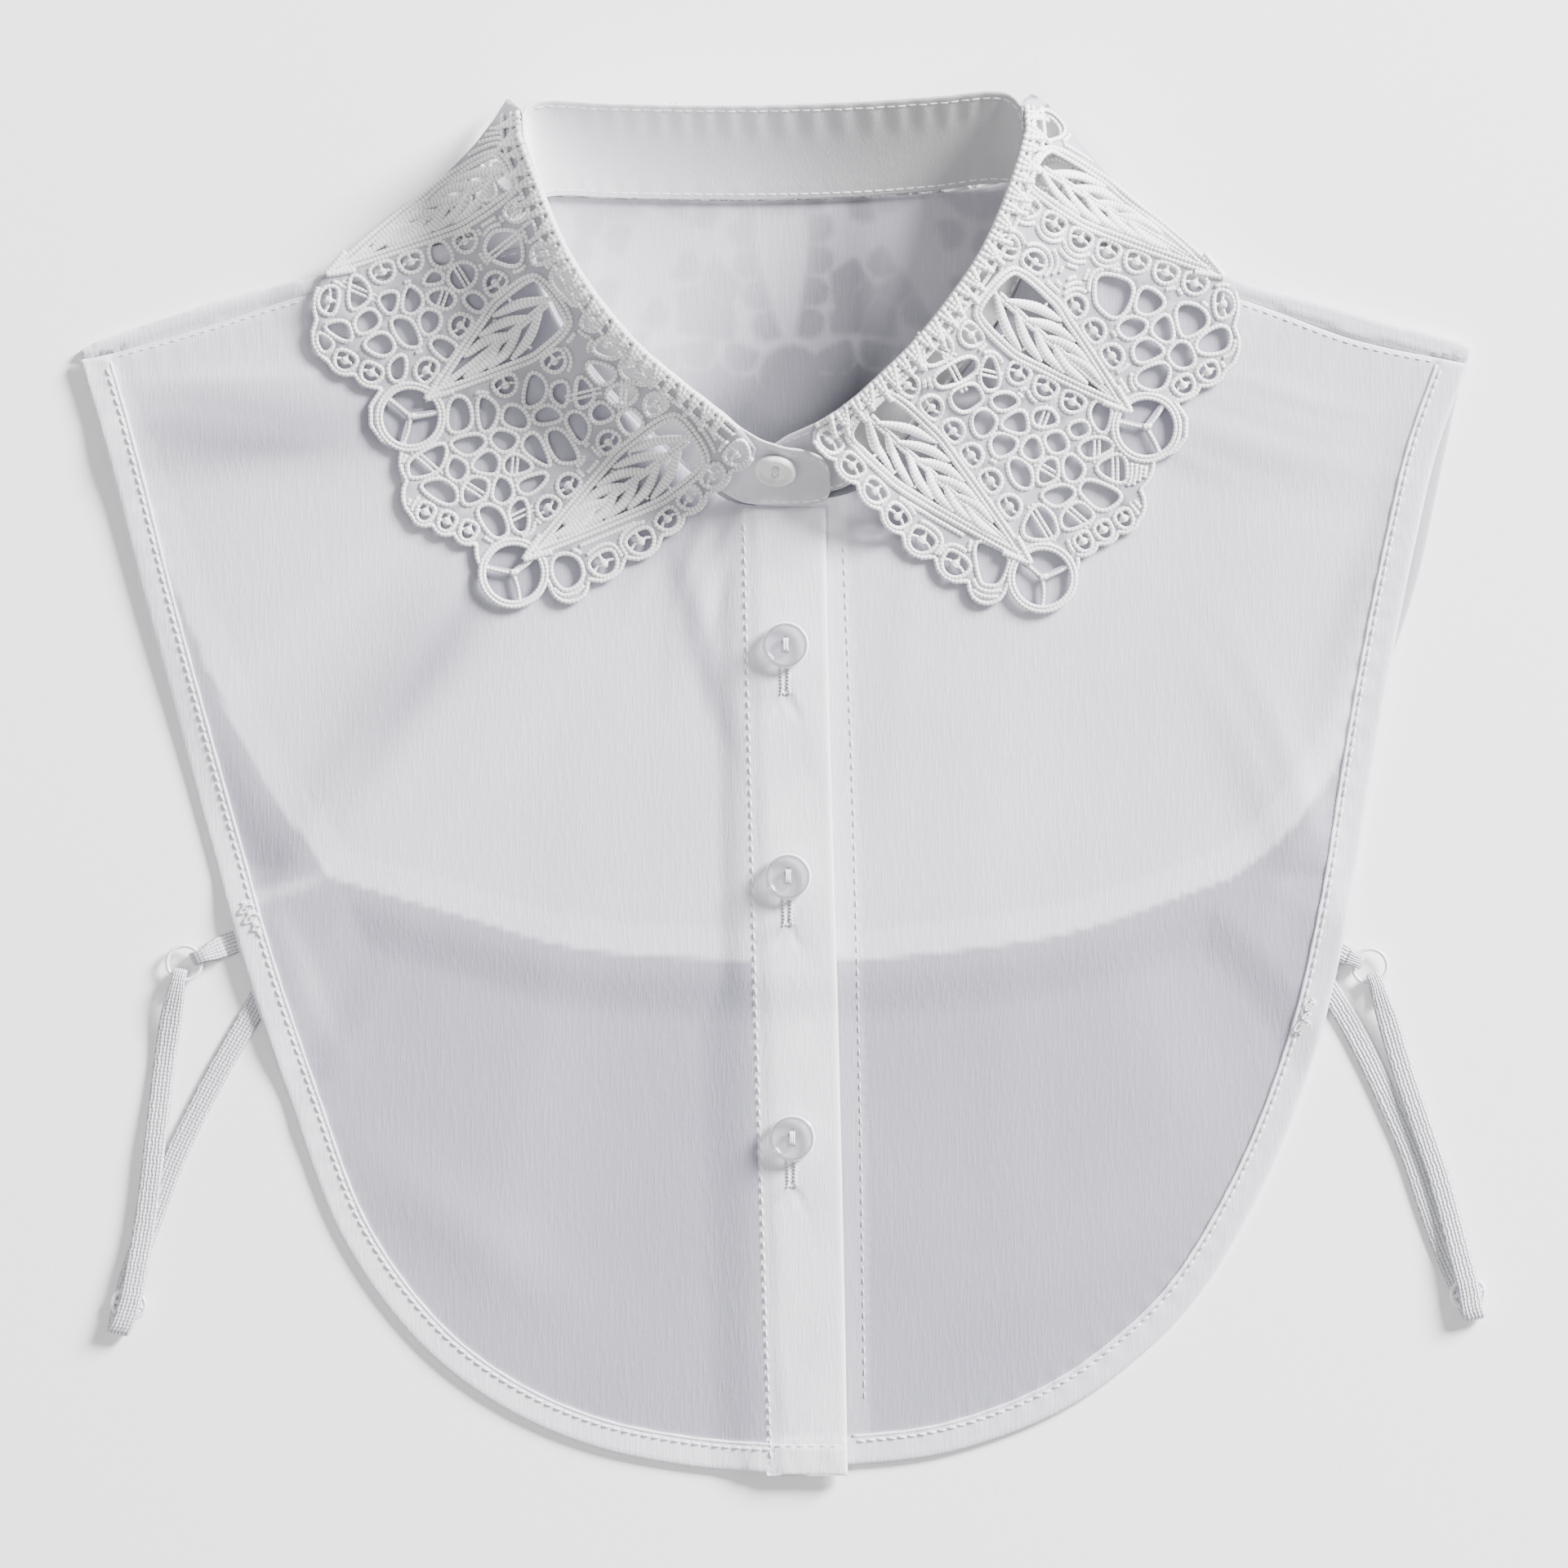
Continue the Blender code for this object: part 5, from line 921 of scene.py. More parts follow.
def woven_polycotton(name, tones, slub=1.0):
    """Poly-cotton poplin, plain woven with slubby warp yarns, bleached and pressed.

    The eye sees a smooth matte cloth with short upright slubs, and a paler tone wherever
    a second or third layer lies behind it, because one layer is slightly sheer. The same
    tone attribute also carries painted shade and painted light: of creases, of the lace's
    shadow, inside the neck and on the stand's shaded side.
    """
    material, tree, shader = start_material(name)
    place = add_node(tree, "TexCoord").outputs["Object"]
    # Tone by the layers behind, with painted shade and painted light in the same attribute
    backing = add_node(tree, "Attribute", {"attribute_name": "backing"})
    tone = add_node(tree, "ValToRGB", {"stops": tones}, {"Fac": backing.outputs["Fac"]})
    # Slubs: thick places in the warp, 0.7 mm wide and 5 mm long
    long_way = add_node(tree, "Mapping", {"Scale": (1.0, 0.13, 1.0)}, {"Vector": place})
    slubs = add_node(tree, "TexNoise", {"Scale": 1500.0, "Detail": 2.0, "Roughness": 0.55},
                     {"Vector": long_way.outputs["Vector"]})
    fine_slubs = add_node(tree, "ValToRGB", {"stops": [(0.45, "#000000"), (0.72, "#FFFFFF")]},
                          {"Fac": slubs.outputs["Fac"]})
    # The weave itself is 0.25 mm; it is drawn at 0.7 mm so that it shows
    weft = add_node(tree, "Mapping", {"Scale": (0.45, 1.0, 1.0)}, {"Vector": place})
    weave = add_node(tree, "TexNoise", {"Scale": 1400.0, "Detail": 1.0}, {"Vector": weft.outputs["Vector"]})
    shade = add_node(tree, "Mix", {**MULTIPLY, 0: 0.05 * slub},
                     {6: tone.outputs["Color"], 7: fine_slubs.outputs["Color"]})
    # Faint clouds 40 mm across, as in cloth that was pressed by hand
    cloudy = add_node(tree, "TexNoise", {"Scale": 26.0, "Detail": 3.0}, {"Vector": place})
    cloud_tone = add_node(tree, "ValToRGB", {"stops": [(0.3, "#F2F2F6"), (0.7, "#FFFFFF")]},
                          {"Fac": cloudy.outputs["Fac"]})
    painted_shade_and_clouds = add_node(tree, "Mix", {**MULTIPLY, 0: 0.7},
                    {6: shade.outputs[2], 7: cloud_tone.outputs["Color"]})
    rough = add_node(tree, "MapRange", {"To Min": 0.78, "To Max": 0.92}, {"Value": slubs.outputs["Fac"]})
    weave_bump = add_node(tree, "Bump", {"Strength": 0.22, "Distance": 0.0001},
                          {"Height": weave.outputs["Fac"]})
    slub_bump = add_node(tree, "Bump", {"Strength": 0.34 * slub, "Distance": 0.00014},
                         {"Height": fine_slubs.outputs["Color"], "Normal": weave_bump.outputs["Normal"]})
    set_sockets(tree, shader,
                {"IOR": 1.5, "Specular IOR Level": 0.25, "Sheen Weight": 0.12, "Sheen Roughness": 0.5},
                {"Base Color": painted_shade_and_clouds.outputs[2], "Roughness": rough.outputs["Result"],
                 "Normal": slub_bump.outputs["Normal"]})
    return material


def satin_stitched_cotton(name, colour, shaded):
    """Guipure lace, mercerised cotton satin-stitched over a ground that is washed away.

    The eye sees plump white cords with a ridge for each turn of thread, and a little lustre.
    """
    material, tree, shader = start_material(name)
    place = add_node(tree, "TexCoord").outputs["Object"]
    # Threads are 0.2 mm; the noise is drawn at 0.4 mm so that it shows
    threads = add_node(tree, "TexNoise", {"Scale": 2500.0, "Detail": 2.0}, {"Vector": place})
    soil = add_node(tree, "TexNoise", {"Scale": 60.0, "Detail": 2.0}, {"Vector": place})
    tone = add_node(tree, "ValToRGB", {"stops": [(0.3, shaded), (0.6, colour)]},
                    {"Fac": soil.outputs["Fac"]})
    # Painted shade in the dip before each turn of thread
    turn = add_node(tree, "Attribute", {"attribute_name": "turn"})
    dip_painted_shade = add_node(tree, "ValToRGB", {"stops": [(0.0, "#CDCCD1"), (0.7, "#FFFFFF")]},
                   {"Fac": turn.outputs["Fac"]})
    turned = add_node(tree, "Mix", {**MULTIPLY, 0: 1.0},
                      {6: tone.outputs["Color"], 7: dip_painted_shade.outputs["Color"]})
    rough = add_node(tree, "MapRange", {"To Min": 0.5, "To Max": 0.8}, {"Value": threads.outputs["Fac"]})
    bump = add_node(tree, "Bump", {"Strength": 0.45, "Distance": 0.00012},
                    {"Height": threads.outputs["Fac"]})
    set_sockets(tree, shader, {"Specular IOR Level": 0.35, "Sheen Weight": 0.15},
                {"Base Color": turned.outputs[2], "Roughness": rough.outputs["Result"],
                 "Normal": bump.outputs["Normal"]})
    return material


def polyester_thread(name, colour):
    """Spun polyester sewing thread, twisted, with a soft lustre."""
    material, tree, shader = start_material(name)
    place = add_node(tree, "TexCoord").outputs["Object"]
    # The twist of the thread is 0.3 mm long; it is drawn at 0.6 mm so that it shows
    twist = add_node(tree, "TexNoise", {"Scale": 1700.0, "Detail": 1.0}, {"Vector": place})
    tone = add_node(tree, "ValToRGB", {"stops": [(0.3, "#DCDCE2"), (0.65, colour)]},
                    {"Fac": twist.outputs["Fac"]})
    bump = add_node(tree, "Bump", {"Strength": 0.4, "Distance": 0.0001}, {"Height": twist.outputs["Fac"]})
    set_sockets(tree, shader, {"Roughness": 0.55},
                {"Base Color": tone.outputs["Color"], "Normal": bump.outputs["Normal"]})
    return material


def clear_cast_polyester(name):
    """Clear cast polyester button resin, turned and tumble polished.

    The eye sees a water-clear disc with faint turning marks; its rim carries a painted glint and painted
    shade.
    """
    material, tree, shader = start_material(name)
    place = add_node(tree, "TexCoord").outputs["Object"]
    # Turning marks 3 mm long, left faint by the polish
    marks = add_node(tree, "TexNoise", {"Scale": 320.0, "Detail": 3.0}, {"Vector": place})
    haze = add_node(tree, "ValToRGB", {"stops": [(0.3, "#E6E7EB"), (0.7, "#FFFFFF")]},
                    {"Fac": marks.outputs["Fac"]})
    # Painted highlight on the rim, painted shade on the step inside it and round the holes
    rim = add_node(tree, "Attribute", {"attribute_name": "rim"})
    tone = add_node(tree, "ValToRGB",
                    {"stops": [(0.0, "#C4C4CB"), (0.5, "#9C9CA6"), (0.8, "#FFFFFF")]},
                    {"Fac": rim.outputs["Fac"]})
    rim_painted_light_and_haze = add_node(tree, "Mix", {**MULTIPLY, 0: 1.0},
                      {6: tone.outputs["Color"], 7: haze.outputs["Color"]})
    rough = add_node(tree, "MapRange", {"To Min": 0.04, "To Max": 0.16}, {"Value": marks.outputs["Fac"]})
    bump = add_node(tree, "Bump", {"Strength": 0.08, "Distance": 0.0002}, {"Height": marks.outputs["Fac"]})
    clear = add_node(tree, "MapRange", {"To Min": 0.24, "To Max": 0.96}, {"Value": rim.outputs["Fac"]})
    set_sockets(tree, shader, {"IOR": 1.54, "Coat Weight": 0.6, "Coat Roughness": 0.05},
                {"Base Color": rim_painted_light_and_haze.outputs[2], "Roughness": rough.outputs["Result"],
                 "Normal": bump.outputs["Normal"], "Alpha": clear.outputs["Result"]})
    return material


def moulded_plastic(name, colour, hazed, roughness, gloss):
    """Injection-moulded plastic, nylon or polyester, with the slight ripple and haze of the mould."""
    material, tree, shader = start_material(name)
    place = add_node(tree, "TexCoord").outputs["Object"]
    haze = add_node(tree, "TexNoise", {"Scale": 420.0, "Detail": 3.0}, {"Vector": place})
    tone = add_node(tree, "ValToRGB", {"stops": [(0.3, hazed), (0.7, colour)]},
                    {"Fac": haze.outputs["Fac"]})
    rough = add_node(tree, "MapRange", {"To Min": roughness, "To Max": roughness + 0.15},
                     {"Value": haze.outputs["Fac"]})
    bump = add_node(tree, "Bump", {"Strength": 0.1, "Distance": 0.0001}, {"Height": haze.outputs["Fac"]})
    set_sockets(tree, shader, {"IOR": 1.53, "Coat Weight": gloss},
                {"Base Color": tone.outputs["Color"], "Roughness": rough.outputs["Result"],
                 "Normal": bump.outputs["Normal"]})
    return material


def knitted_elastic(name):
    """Warp-knitted polyester elastic, 5.4 mm, with rubber cores between its chains.

    The eye sees fine wavy ribs along the band, crossed by the laid-in yarn.
    """
    material, tree, shader = start_material(name)
    strand = add_node(tree, "UVMap", {"uv_map": "along"}).outputs["UV"]
    # Six chains across the band and a laid-in yarn each 0.9 mm; the real 0.45 mm is too fine to show
    ribs = add_node(tree, "TexWave", {"bands_direction": "X", "Scale": 1.0, "Distortion": 2.6,
                                                "Detail": 1.0, "Detail Scale": 2.0}, {"Vector": strand})
    picks = add_node(tree, "TexWave", {"bands_direction": "Y", "Scale": 1.0, "Distortion": 0.6},
                     {"Vector": strand})
    relief = add_node(tree, "Mix", {"data_type": "FLOAT", 0: 0.27},
                      {2: ribs.outputs["Fac"], 3: picks.outputs["Fac"]})
    # Darker where the relief is low: painted shade in the grooves between the ribs
    tone = add_node(tree, "ValToRGB", {"stops": [(0.15, "#A4A4AE"), (0.8, "#EAEAEE")]},
                    {"Fac": relief.outputs[0]})
    bump = add_node(tree, "Bump", {"Strength": 0.8, "Distance": 0.0003}, {"Height": relief.outputs[0]})
    set_sockets(tree, shader, {"Roughness": 0.7, "Sheen Weight": 0.2},
                {"Base Color": tone.outputs["Color"], "Normal": bump.outputs["Normal"]})
    return material


def painted_board(name):
    """The table under the garment: smooth white painted board."""
    material, tree, shader = start_material(name)
    place = add_node(tree, "TexCoord").outputs["Object"]
    grain = add_node(tree, "TexNoise", {"Scale": 3.0, "Detail": 2.0}, {"Vector": place})
    tone = add_node(tree, "ValToRGB", {"stops": [(0.3, "#FDFDFD"), (0.7, "#FFFFFF")]},
                    {"Fac": grain.outputs["Fac"]})
    set_sockets(tree, shader, {"Roughness": 0.9, "Specular IOR Level": 0.1},
                {"Base Color": tone.outputs["Color"]})
    return material


# Tone of the cloth by what lies behind it, from one layer over the table to four layers; painted shade and
# painted light of creases, of the lace's shadow and of the buttonholes move along the same ramp
FRONT_TONES = [(0.0, "#A1A0AC"), (0.5, "#D3D1DB"), (0.75, "#E0DEE6"), (1.0, "#EDECF2")]
PANEL = woven_polycotton("bleached_polycotton_poplin", FRONT_TONES)
# Wrong side of the back panel; its darkest stops give the painted shade inside the neck
INNER_TONES = [(0.0, "#6C6B72"), (0.3, "#A3A2AA"), (0.6, "#C4C3CB"), (1.0, "#D9D8DF")]
INNER = woven_polycotton("polycotton_poplin_wrong_side", INNER_TONES)
# Stand cloth: the warm grey low stop is painted shade on the stand's right, the pale top stop painted light
# on its left
STAND_TONES = [(0.0, "#BDBBBC"), (0.5, "#ECEAF0"), (1.0, "#FBFAFD")]
STAND_CLOTH = woven_polycotton("interlined_poplin_stand", STAND_TONES, 0.7)
LACE_COTTON = satin_stitched_cotton("guipure_satin_stitched_cotton", "#FEFDFC", "#F6F5F4")
# A grey sheet under the cords: painted shade where the shaded cloth would show between them
LACE_SHADE_SHEET = satin_stitched_cotton("lace_gap_painted_shade", "#B1B0B9", "#A4A3AD")
THREAD_WHITE = polyester_thread("spun_polyester_thread", "#F4F4F6")
CLEAR_RESIN = clear_cast_polyester("clear_cast_polyester_resin")
WHITE_RESIN = moulded_plastic("white_cast_polyester_resin", "#F1F0EE", "#E6E5E3", 0.18, 0.35)
NYLON = moulded_plastic("white_moulded_nylon", "#F4F4F6", "#E9E9EE", 0.3, 0.1)
ELASTIC = knitted_elastic("knitted_polyester_elastic")
BOARD = painted_board("white_painted_board")


# Making pieces

def add_piece(name, verts, faces, material, nodes=(), marks=None, uvs=None, sharp=None):
    """A named piece from points in millimetres, riding on the garment."""
    label = name + "_made" if name in nodes else name
    mesh = bpy.data.meshes.new(label)
    mesh.from_pydata((np.asarray(verts, float) * MM).tolist(), [], [list(map(int, f)) for f in faces])
    mesh.shade_smooth()
    if sharp:
        mesh.set_sharp_from_angle(angle=math.radians(sharp))
    for key, values in (marks or {}).items():
        mesh.attributes.new(key, "FLOAT", "POINT").data.foreach_set("value", np.asarray(values, np.float32))
    if uvs is not None:
        layer = mesh.uv_layers.new(name="along")
        corners = np.empty(len(mesh.loops), np.int32)
        mesh.loops.foreach_get("vertex_index", corners)
        layer.data.foreach_set("uv", np.asarray(uvs, np.float32)[corners].ravel())
    mesh.materials.append(material)
    piece = bpy.data.objects.new(label, mesh)
    bpy.context.scene.collection.objects.link(piece)
    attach(piece, "root")
    if nodes:
        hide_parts(*nodes)
    return piece


def plan_triangles(loop, holes, rows, extra, apart):
    """Triangles inside a loop and outside its holes, with corners on rows and extra points."""
    points = [tuple(p) for p in loop]
    edges = [(i, (i + 1) % len(loop)) for i in range(len(loop))]
    for hole in holes:
        first = len(points)
        points.extend(map(tuple, hole))
        edges.extend((first + i, first + (i + 1) % len(hole)) for i in range(len(hole)))
    for group, space in ((rows, apart * 0.45), (extra, apart * 0.7)):
        if not len(group):
            continue
        tree = KDTree(len(points))
        for i, (x, y) in enumerate(points):
            tree.insert((x, y, 0.0), i)
        tree.balance()
        points += [tuple(p) for p in group if tree.find((p[0], p[1], 0.0))[2] > space]
    verts, _, faces, _, _, _ = delaunay_2d_cdt([Vector(p) for p in points], edges, [], 0, 1e-4)
    verts = np.array([tuple(v) for v in verts])
    faces = np.array([tuple(f) for f in faces])
    centres = verts[faces].mean(1)
    keep = inside(centres, loop)
    for hole in holes:
        box = (centres > hole.min(0)).all(1) & (centres < hole.max(0)).all(1)
        keep[box] &= ~inside(centres[box], hole)
    faces = faces[keep]
    used = np.unique(faces)
    index = -np.ones(len(verts), int)
    index[used] = np.arange(len(used))
    return verts[used], index[faces]


def two_skins(verts, faces, low, high):
    """A closed shell from plan triangles and two heights."""
    count = len(verts)
    solid = np.vstack([np.column_stack([verts, low]), np.column_stack([verts, high])])
    sides = {}
    for a, b, c in faces:
        for edge in ((a, b), (b, c), (c, a)):
            key = tuple(sorted(edge))
            sides[key] = None if key in sides else edge
    skin = [(c, b, a) for a, b, c in faces]
    skin += [(a + count, b + count, c + count) for a, b, c in faces]
    for edge in sides.values():
        if edge is not None:
            a, b = edge
            skin += [(a, b, b + count), (a, b + count, a + count)]
    return solid, skin


def cloth_piece(name, loop, bottom, top, material, backing, hem_depth=0.0, step=CLOTH_STEP, finer_in=None):
    """A cloth shell with a rounded edge, thin inside and folded double along its hem."""
    rows = np.vstack([even_loop(closed_offset(loop, -depth), EDGE_STEP) for depth in EDGE_ROWS])
    depth = -outside_distance(rows, loop)
    rows = rows[depth > 0.15]
    extra = grid_points(loop, step, EDGE_ROWS[-1] + 0.6)
    if finer_in is not None:
        finer = grid_points(finer_in, FINE_STEP, 0.0)
        finer = finer[outside_distance(finer, loop) < -EDGE_ROWS[-1] - 0.6]
        extra = np.vstack([extra[outside_distance(extra, finer_in) > 0.6], finer])
    verts, faces = plan_triangles(loop, [], rows, extra, step * 0.5)
    depth = np.maximum(-outside_distance(verts, loop), 0.0)
    depth[:len(loop)] = 0.0
    high = top(verts)
    low = bottom(verts)
    roll = 0.42 * (1.0 - np.sqrt(1.0 - (1.0 - np.clip(depth / 0.8, 0.0, 1.0)) ** 2 * 0.98))
    thin = ease((depth - hem_depth - 0.4) / 2.5)
    low = np.minimum(low + (high - CLOTH_THICK - low) * thin, high - CLOTH_THICK)
    solid, skin = two_skins(verts, faces, low + roll * 0.4, high - roll)
    tone = np.clip(backing(verts), 0.0, 1.0)
    marks = {"backing": np.concatenate([tone, tone])}
    return add_piece(name, solid, skin, material, [name], marks)


def ripple(travel, pitch, seed):
    """Uneven small waves along a seam."""
    return (np.sin(travel * 2 * math.pi / pitch + 1.7 * np.sin(travel / 13.0 + seed))
            * (0.6 + 0.4 * np.sin(travel / 29.0 + seed * 2.1)))


def puckers(points, line, pitch, height, near, far, seed):
    """Small gathers that a row of stitches draws into the cloth beside a line."""
    away, travel = line_place(points, line)
    reach = ease((away - near * 0.3) / (near * 0.7)) * ease((far - away) / (far - near))
    return height * reach * ripple(travel, pitch, seed)


def creases(points, table):
    """Soft troughs and ridges placed one by one, each a little bent."""
    return raise_folds(np.zeros(len(points)), points, table, 2.2)


# Sewing

def tubes(paths, widths, heights, normals, sides=6, closed=False):
    """Joined flattened tubes; each path has its own width, height and surface direction at each point."""
    verts, faces, base = [], [], 0
    turn = np.linspace(0.0, 2 * math.pi, sides, endpoint=False)
    for path, width, height, normal in zip(paths, widths, heights, normals):
        count = len(path)
        run = np.roll(path, -1, axis=0) - np.roll(path, 1, axis=0) if closed else np.gradient(path, axis=0)
        run = unit(run)
        side = unit(np.cross(run, normal))
        up = np.cross(side, run)
        sideways = np.cos(turn)[None, :, None] * np.reshape(width, (-1, 1, 1)) / 2
        upward = np.sin(turn)[None, :, None] * np.reshape(height, (-1, 1, 1)) / 2
        verts.append((path[:, None] + side[:, None] * sideways + up[:, None] * upward).reshape(-1, 3))
        last = count if closed else count - 1
        for i in range(last):
            a = base + i * sides
            b = base + ((i + 1) % count) * sides
            for k in range(sides):
                m = (k + 1) % sides
                faces.append((a + k, b + k, b + m, a + m))
        if not closed:
            faces.append([base + k for k in range(sides)])
            faces.append([base + (count - 1) * sides + k for k in reversed(range(sides))])
        base += count * sides
    return np.vstack(verts), faces


def flat_tube(path, width, height, sides, closed=False):
    """One tube whose upper side faces straight up."""
    return tubes([path], [width], [height], [np.tile(UP, (len(path), 1))], sides, closed)


def stitches(line, surface, pitch, length=STITCH_LENGTH, lean=0.0):
    """Paths of the stitches of one row, sunk at both ends into the cloth."""
    line = np.asarray(line, float)
    travel = travel_along(line)
    paths = []
    for start in np.arange(pitch * 0.4, travel[-1] - length, pitch):
        at = start + np.linspace(0.0, length, 6)
        xy = np.column_stack([np.interp(at, travel, line[:, k]) for k in range(2)])
        if lean:
            step = xy[-1] - xy[0]
            xy += np.outer(np.linspace(-1, 1, 6), (-step[1], step[0])) * lean
        z = surface(xy) + THREAD * np.array([-0.5, 0.28, 0.45, 0.45, 0.28, -0.5])
        paths.append(np.column_stack([xy, z]))
    return paths


def sewing(name, paths, thread=THREAD):
    """A joined piece of stitches."""
    thick = thread * np.array([0.5, 1.0, 1.05, 1.05, 1.0, 0.5])
    fitted = [thick if len(p) == 6 else np.full(len(p), thread) for p in paths]
    verts, faces = tubes(paths, [t * 1.35 for t in fitted], fitted, [np.tile(UP, (len(p), 1)) for p in paths])
    return add_piece(name, verts, faces, THREAD_WHITE)


def zigzag(start, end, width, pitch, surface):
    """One dense zigzag of thread from start to end in plan."""
    start, end = np.array(start, float), np.array(end, float)
    run = end - start
    length = np.linalg.norm(run)
    across = np.array([-run[1], run[0]]) / length
    count = max(3, int(length / pitch) * 2)
    share = np.linspace(0.0, 1.0, count)
    swing = np.where(np.arange(count) % 2, 0.5, -0.5) * width
    corners = start + np.outer(share, run) + np.outer(swing, across)
    line = resample(corners, 0.3)
    return np.column_stack([line, surface(line) + TACK_THREAD * 0.5])


def bar_tack(x, y, heading, surface, seed):
    """A small knot of thread where a row of stitches is locked: zigzags over loose loops."""
    a = math.radians(heading)
    along = np.array([math.cos(a), math.sin(a)])
    start = np.array([x, y]) - along * 4.5
    paths = [zigzag(start, start + along * 9.0, 1.3, 0.7, surface)]
    turn = np.linspace(0.0, 2 * math.pi, 22)
    for number in range(3):
        reach = 1.4 + 0.5 * math.sin(seed + number * 2.1)
        middle = np.array([x, y]) + along * (number - 1.0) * 2.6
        loop = middle + np.column_stack([np.cos(turn) * reach, np.sin(turn * 1.15 + seed) * reach * 0.7])
        paths.append(np.column_stack([loop, surface(loop) + 0.45 + 0.15 * np.sin(turn)]))
    return paths


def buttonhole(x, y, surface):
    """The stitched end of a buttonhole that shows below its button: two zigzag bars that meet."""
    paths = [zigzag((x + side * 0.95, y - 5.0), (x + side * 0.75, y - 11.4), 0.8, 0.8, surface)
             for side in (-1, 1)]
    paths.append(zigzag((x - 1.3, y - 11.7), (x + 1.3, y - 11.7), 0.9, 0.8, surface))
    return paths


def buttonhole_shade(points):
    """How far each place lies in the slit of a buttonhole or in the creases that fan out below it."""
    shade = np.zeros(len(points))
    for x, y in BUTTONS:
        dx = points[:, 0] - x
        down = y - points[:, 1]
        slit = ease((1.9 - np.abs(dx)) / 0.9) * ease((down - 4.0) / 1.0) * ease((12.8 - down) / 1.0)
        fan = np.exp(-(np.abs(dx) - 1.4 - (down - 12.0) * 0.5) ** 2 / 0.9) * ease((down - 11.0) / 1.0)
        shade = np.maximum(shade, np.maximum(slit, 0.6 * fan * ease((19.0 - down) / 6.0)))
    return shade


def fold_ridge(name, line, surface):
    """The turned-in edge of a hem, pressed so that it shows as a fine raised line."""
    line = resample(line, 1.0)
    wave = 1.0 + 0.12 * np.sin(np.arange(len(line)) * 0.7)
    path = np.column_stack([line, surface(line) + 0.05])
    verts, faces = flat_tube(path, 0.9 * wave, 0.66 * wave, 8)
    return add_piece(name, verts, faces, PANEL, (), {"backing": np.ones(len(verts))})


# Lace

class HeightMap:
    """A height function over a plan box, sampled once so that many cords can read it."""

    def __init__(self, height, low, high, step=1.0):
        self.low = np.array(low, float)
        self.step = step
        self.size = (np.ceil((np.array(high) - self.low) / step)).astype(int) + 2
        xs = self.low[0] + np.arange(self.size[0]) * step
        ys = self.low[1] + np.arange(self.size[1]) * step
        grid = np.array([(x, y) for x in xs for y in ys])
        heights = [height(grid[i:i + 4000]) for i in range(0, len(grid), 4000)]
        self.z = np.concatenate(heights).reshape(self.size)

    def read(self, points):
        """Height at each point."""
        at = np.clip((points - self.low) / self.step, 0.0, self.size - 1.001)
        i = at.astype(int)
        u, v = (at - i).T
        z = self.z
        return ((z[i[:, 0], i[:, 1]] * (1 - u) + z[i[:, 0] + 1, i[:, 1]] * u) * (1 - v)
                + (z[i[:, 0], i[:, 1] + 1] * (1 - u) + z[i[:, 0] + 1, i[:, 1] + 1] * u) * v)

    def upright(self, points):
        """Direction away from the surface at each point."""
        d = 0.8
        gx = (self.read(points + (d, 0)) - self.read(points - (d, 0))) / (2 * d)
        gy = (self.read(points + (0, d)) - self.read(points - (0, d))) / (2 * d)
        normal = np.column_stack([-gx, -gy, np.ones(len(points))])
        return normal / np.linalg.norm(normal, axis=1)[:, None]


class LaceWork:
    """Collects the cords of one piece of lace and joins them."""

    def __init__(self, ground):
        self.ground = ground
        self.open_cords = []
        self.closed_cords = []
        self.open_turns = []
        self.closed_turns = []

    def cord(self, line, width=CORD, height=CORD_HEIGHT, closed=False, lift=0.5, taper=None):
        """One satin-stitched cord along a plan line."""
        line = np.asarray(line, float)
        step = SATIN_PITCH / 2
        if closed:
            line = even_loop(line, step)
            if len(line) % 2:
                line = even_loop(line, step * len(line) / (len(line) + 1.0))
        else:
            line = resample(line, step)
        count = len(line)
        if count < 3:
            return
        normal = self.ground.upright(line)
        path = np.column_stack([line, self.ground.read(line)]) + normal * lift
        turn = np.where(np.arange(count) % 2, 1.0, -1.0)
        share = np.linspace(0.0, 1.0, count)
        shape = taper(share) if taper else np.ones(count)
        wide = width * shape * (1.0 + 0.045 * turn)
        tall = height * (0.55 + 0.45 * shape) * (1.0 + 0.2 * turn)
        (self.closed_cords if closed else self.open_cords).append((path, wide, tall, normal))
        (self.closed_turns if closed else self.open_turns).append(np.repeat(turn * 0.5 + 0.5, CORD_SIDES))

    def mesh(self):
        """Points and faces of all the cords, and where each point lies on a turn of thread."""
        verts, faces = tubes(*zip(*self.open_cords), CORD_SIDES)
        more, more_faces = tubes(*zip(*self.closed_cords), CORD_SIDES, closed=True)
        base = len(verts)
        faces += [[base + k for k in face] for face in more_faces]
        return np.vstack([verts, more]), faces, np.concatenate(self.open_turns + self.closed_turns)


def petal_shape(share):
    """Fullness of a petal along its length."""
    return 0.25 + 0.75 * np.sin(math.pi * np.clip(share, 0.0, 1.0)) ** 0.7


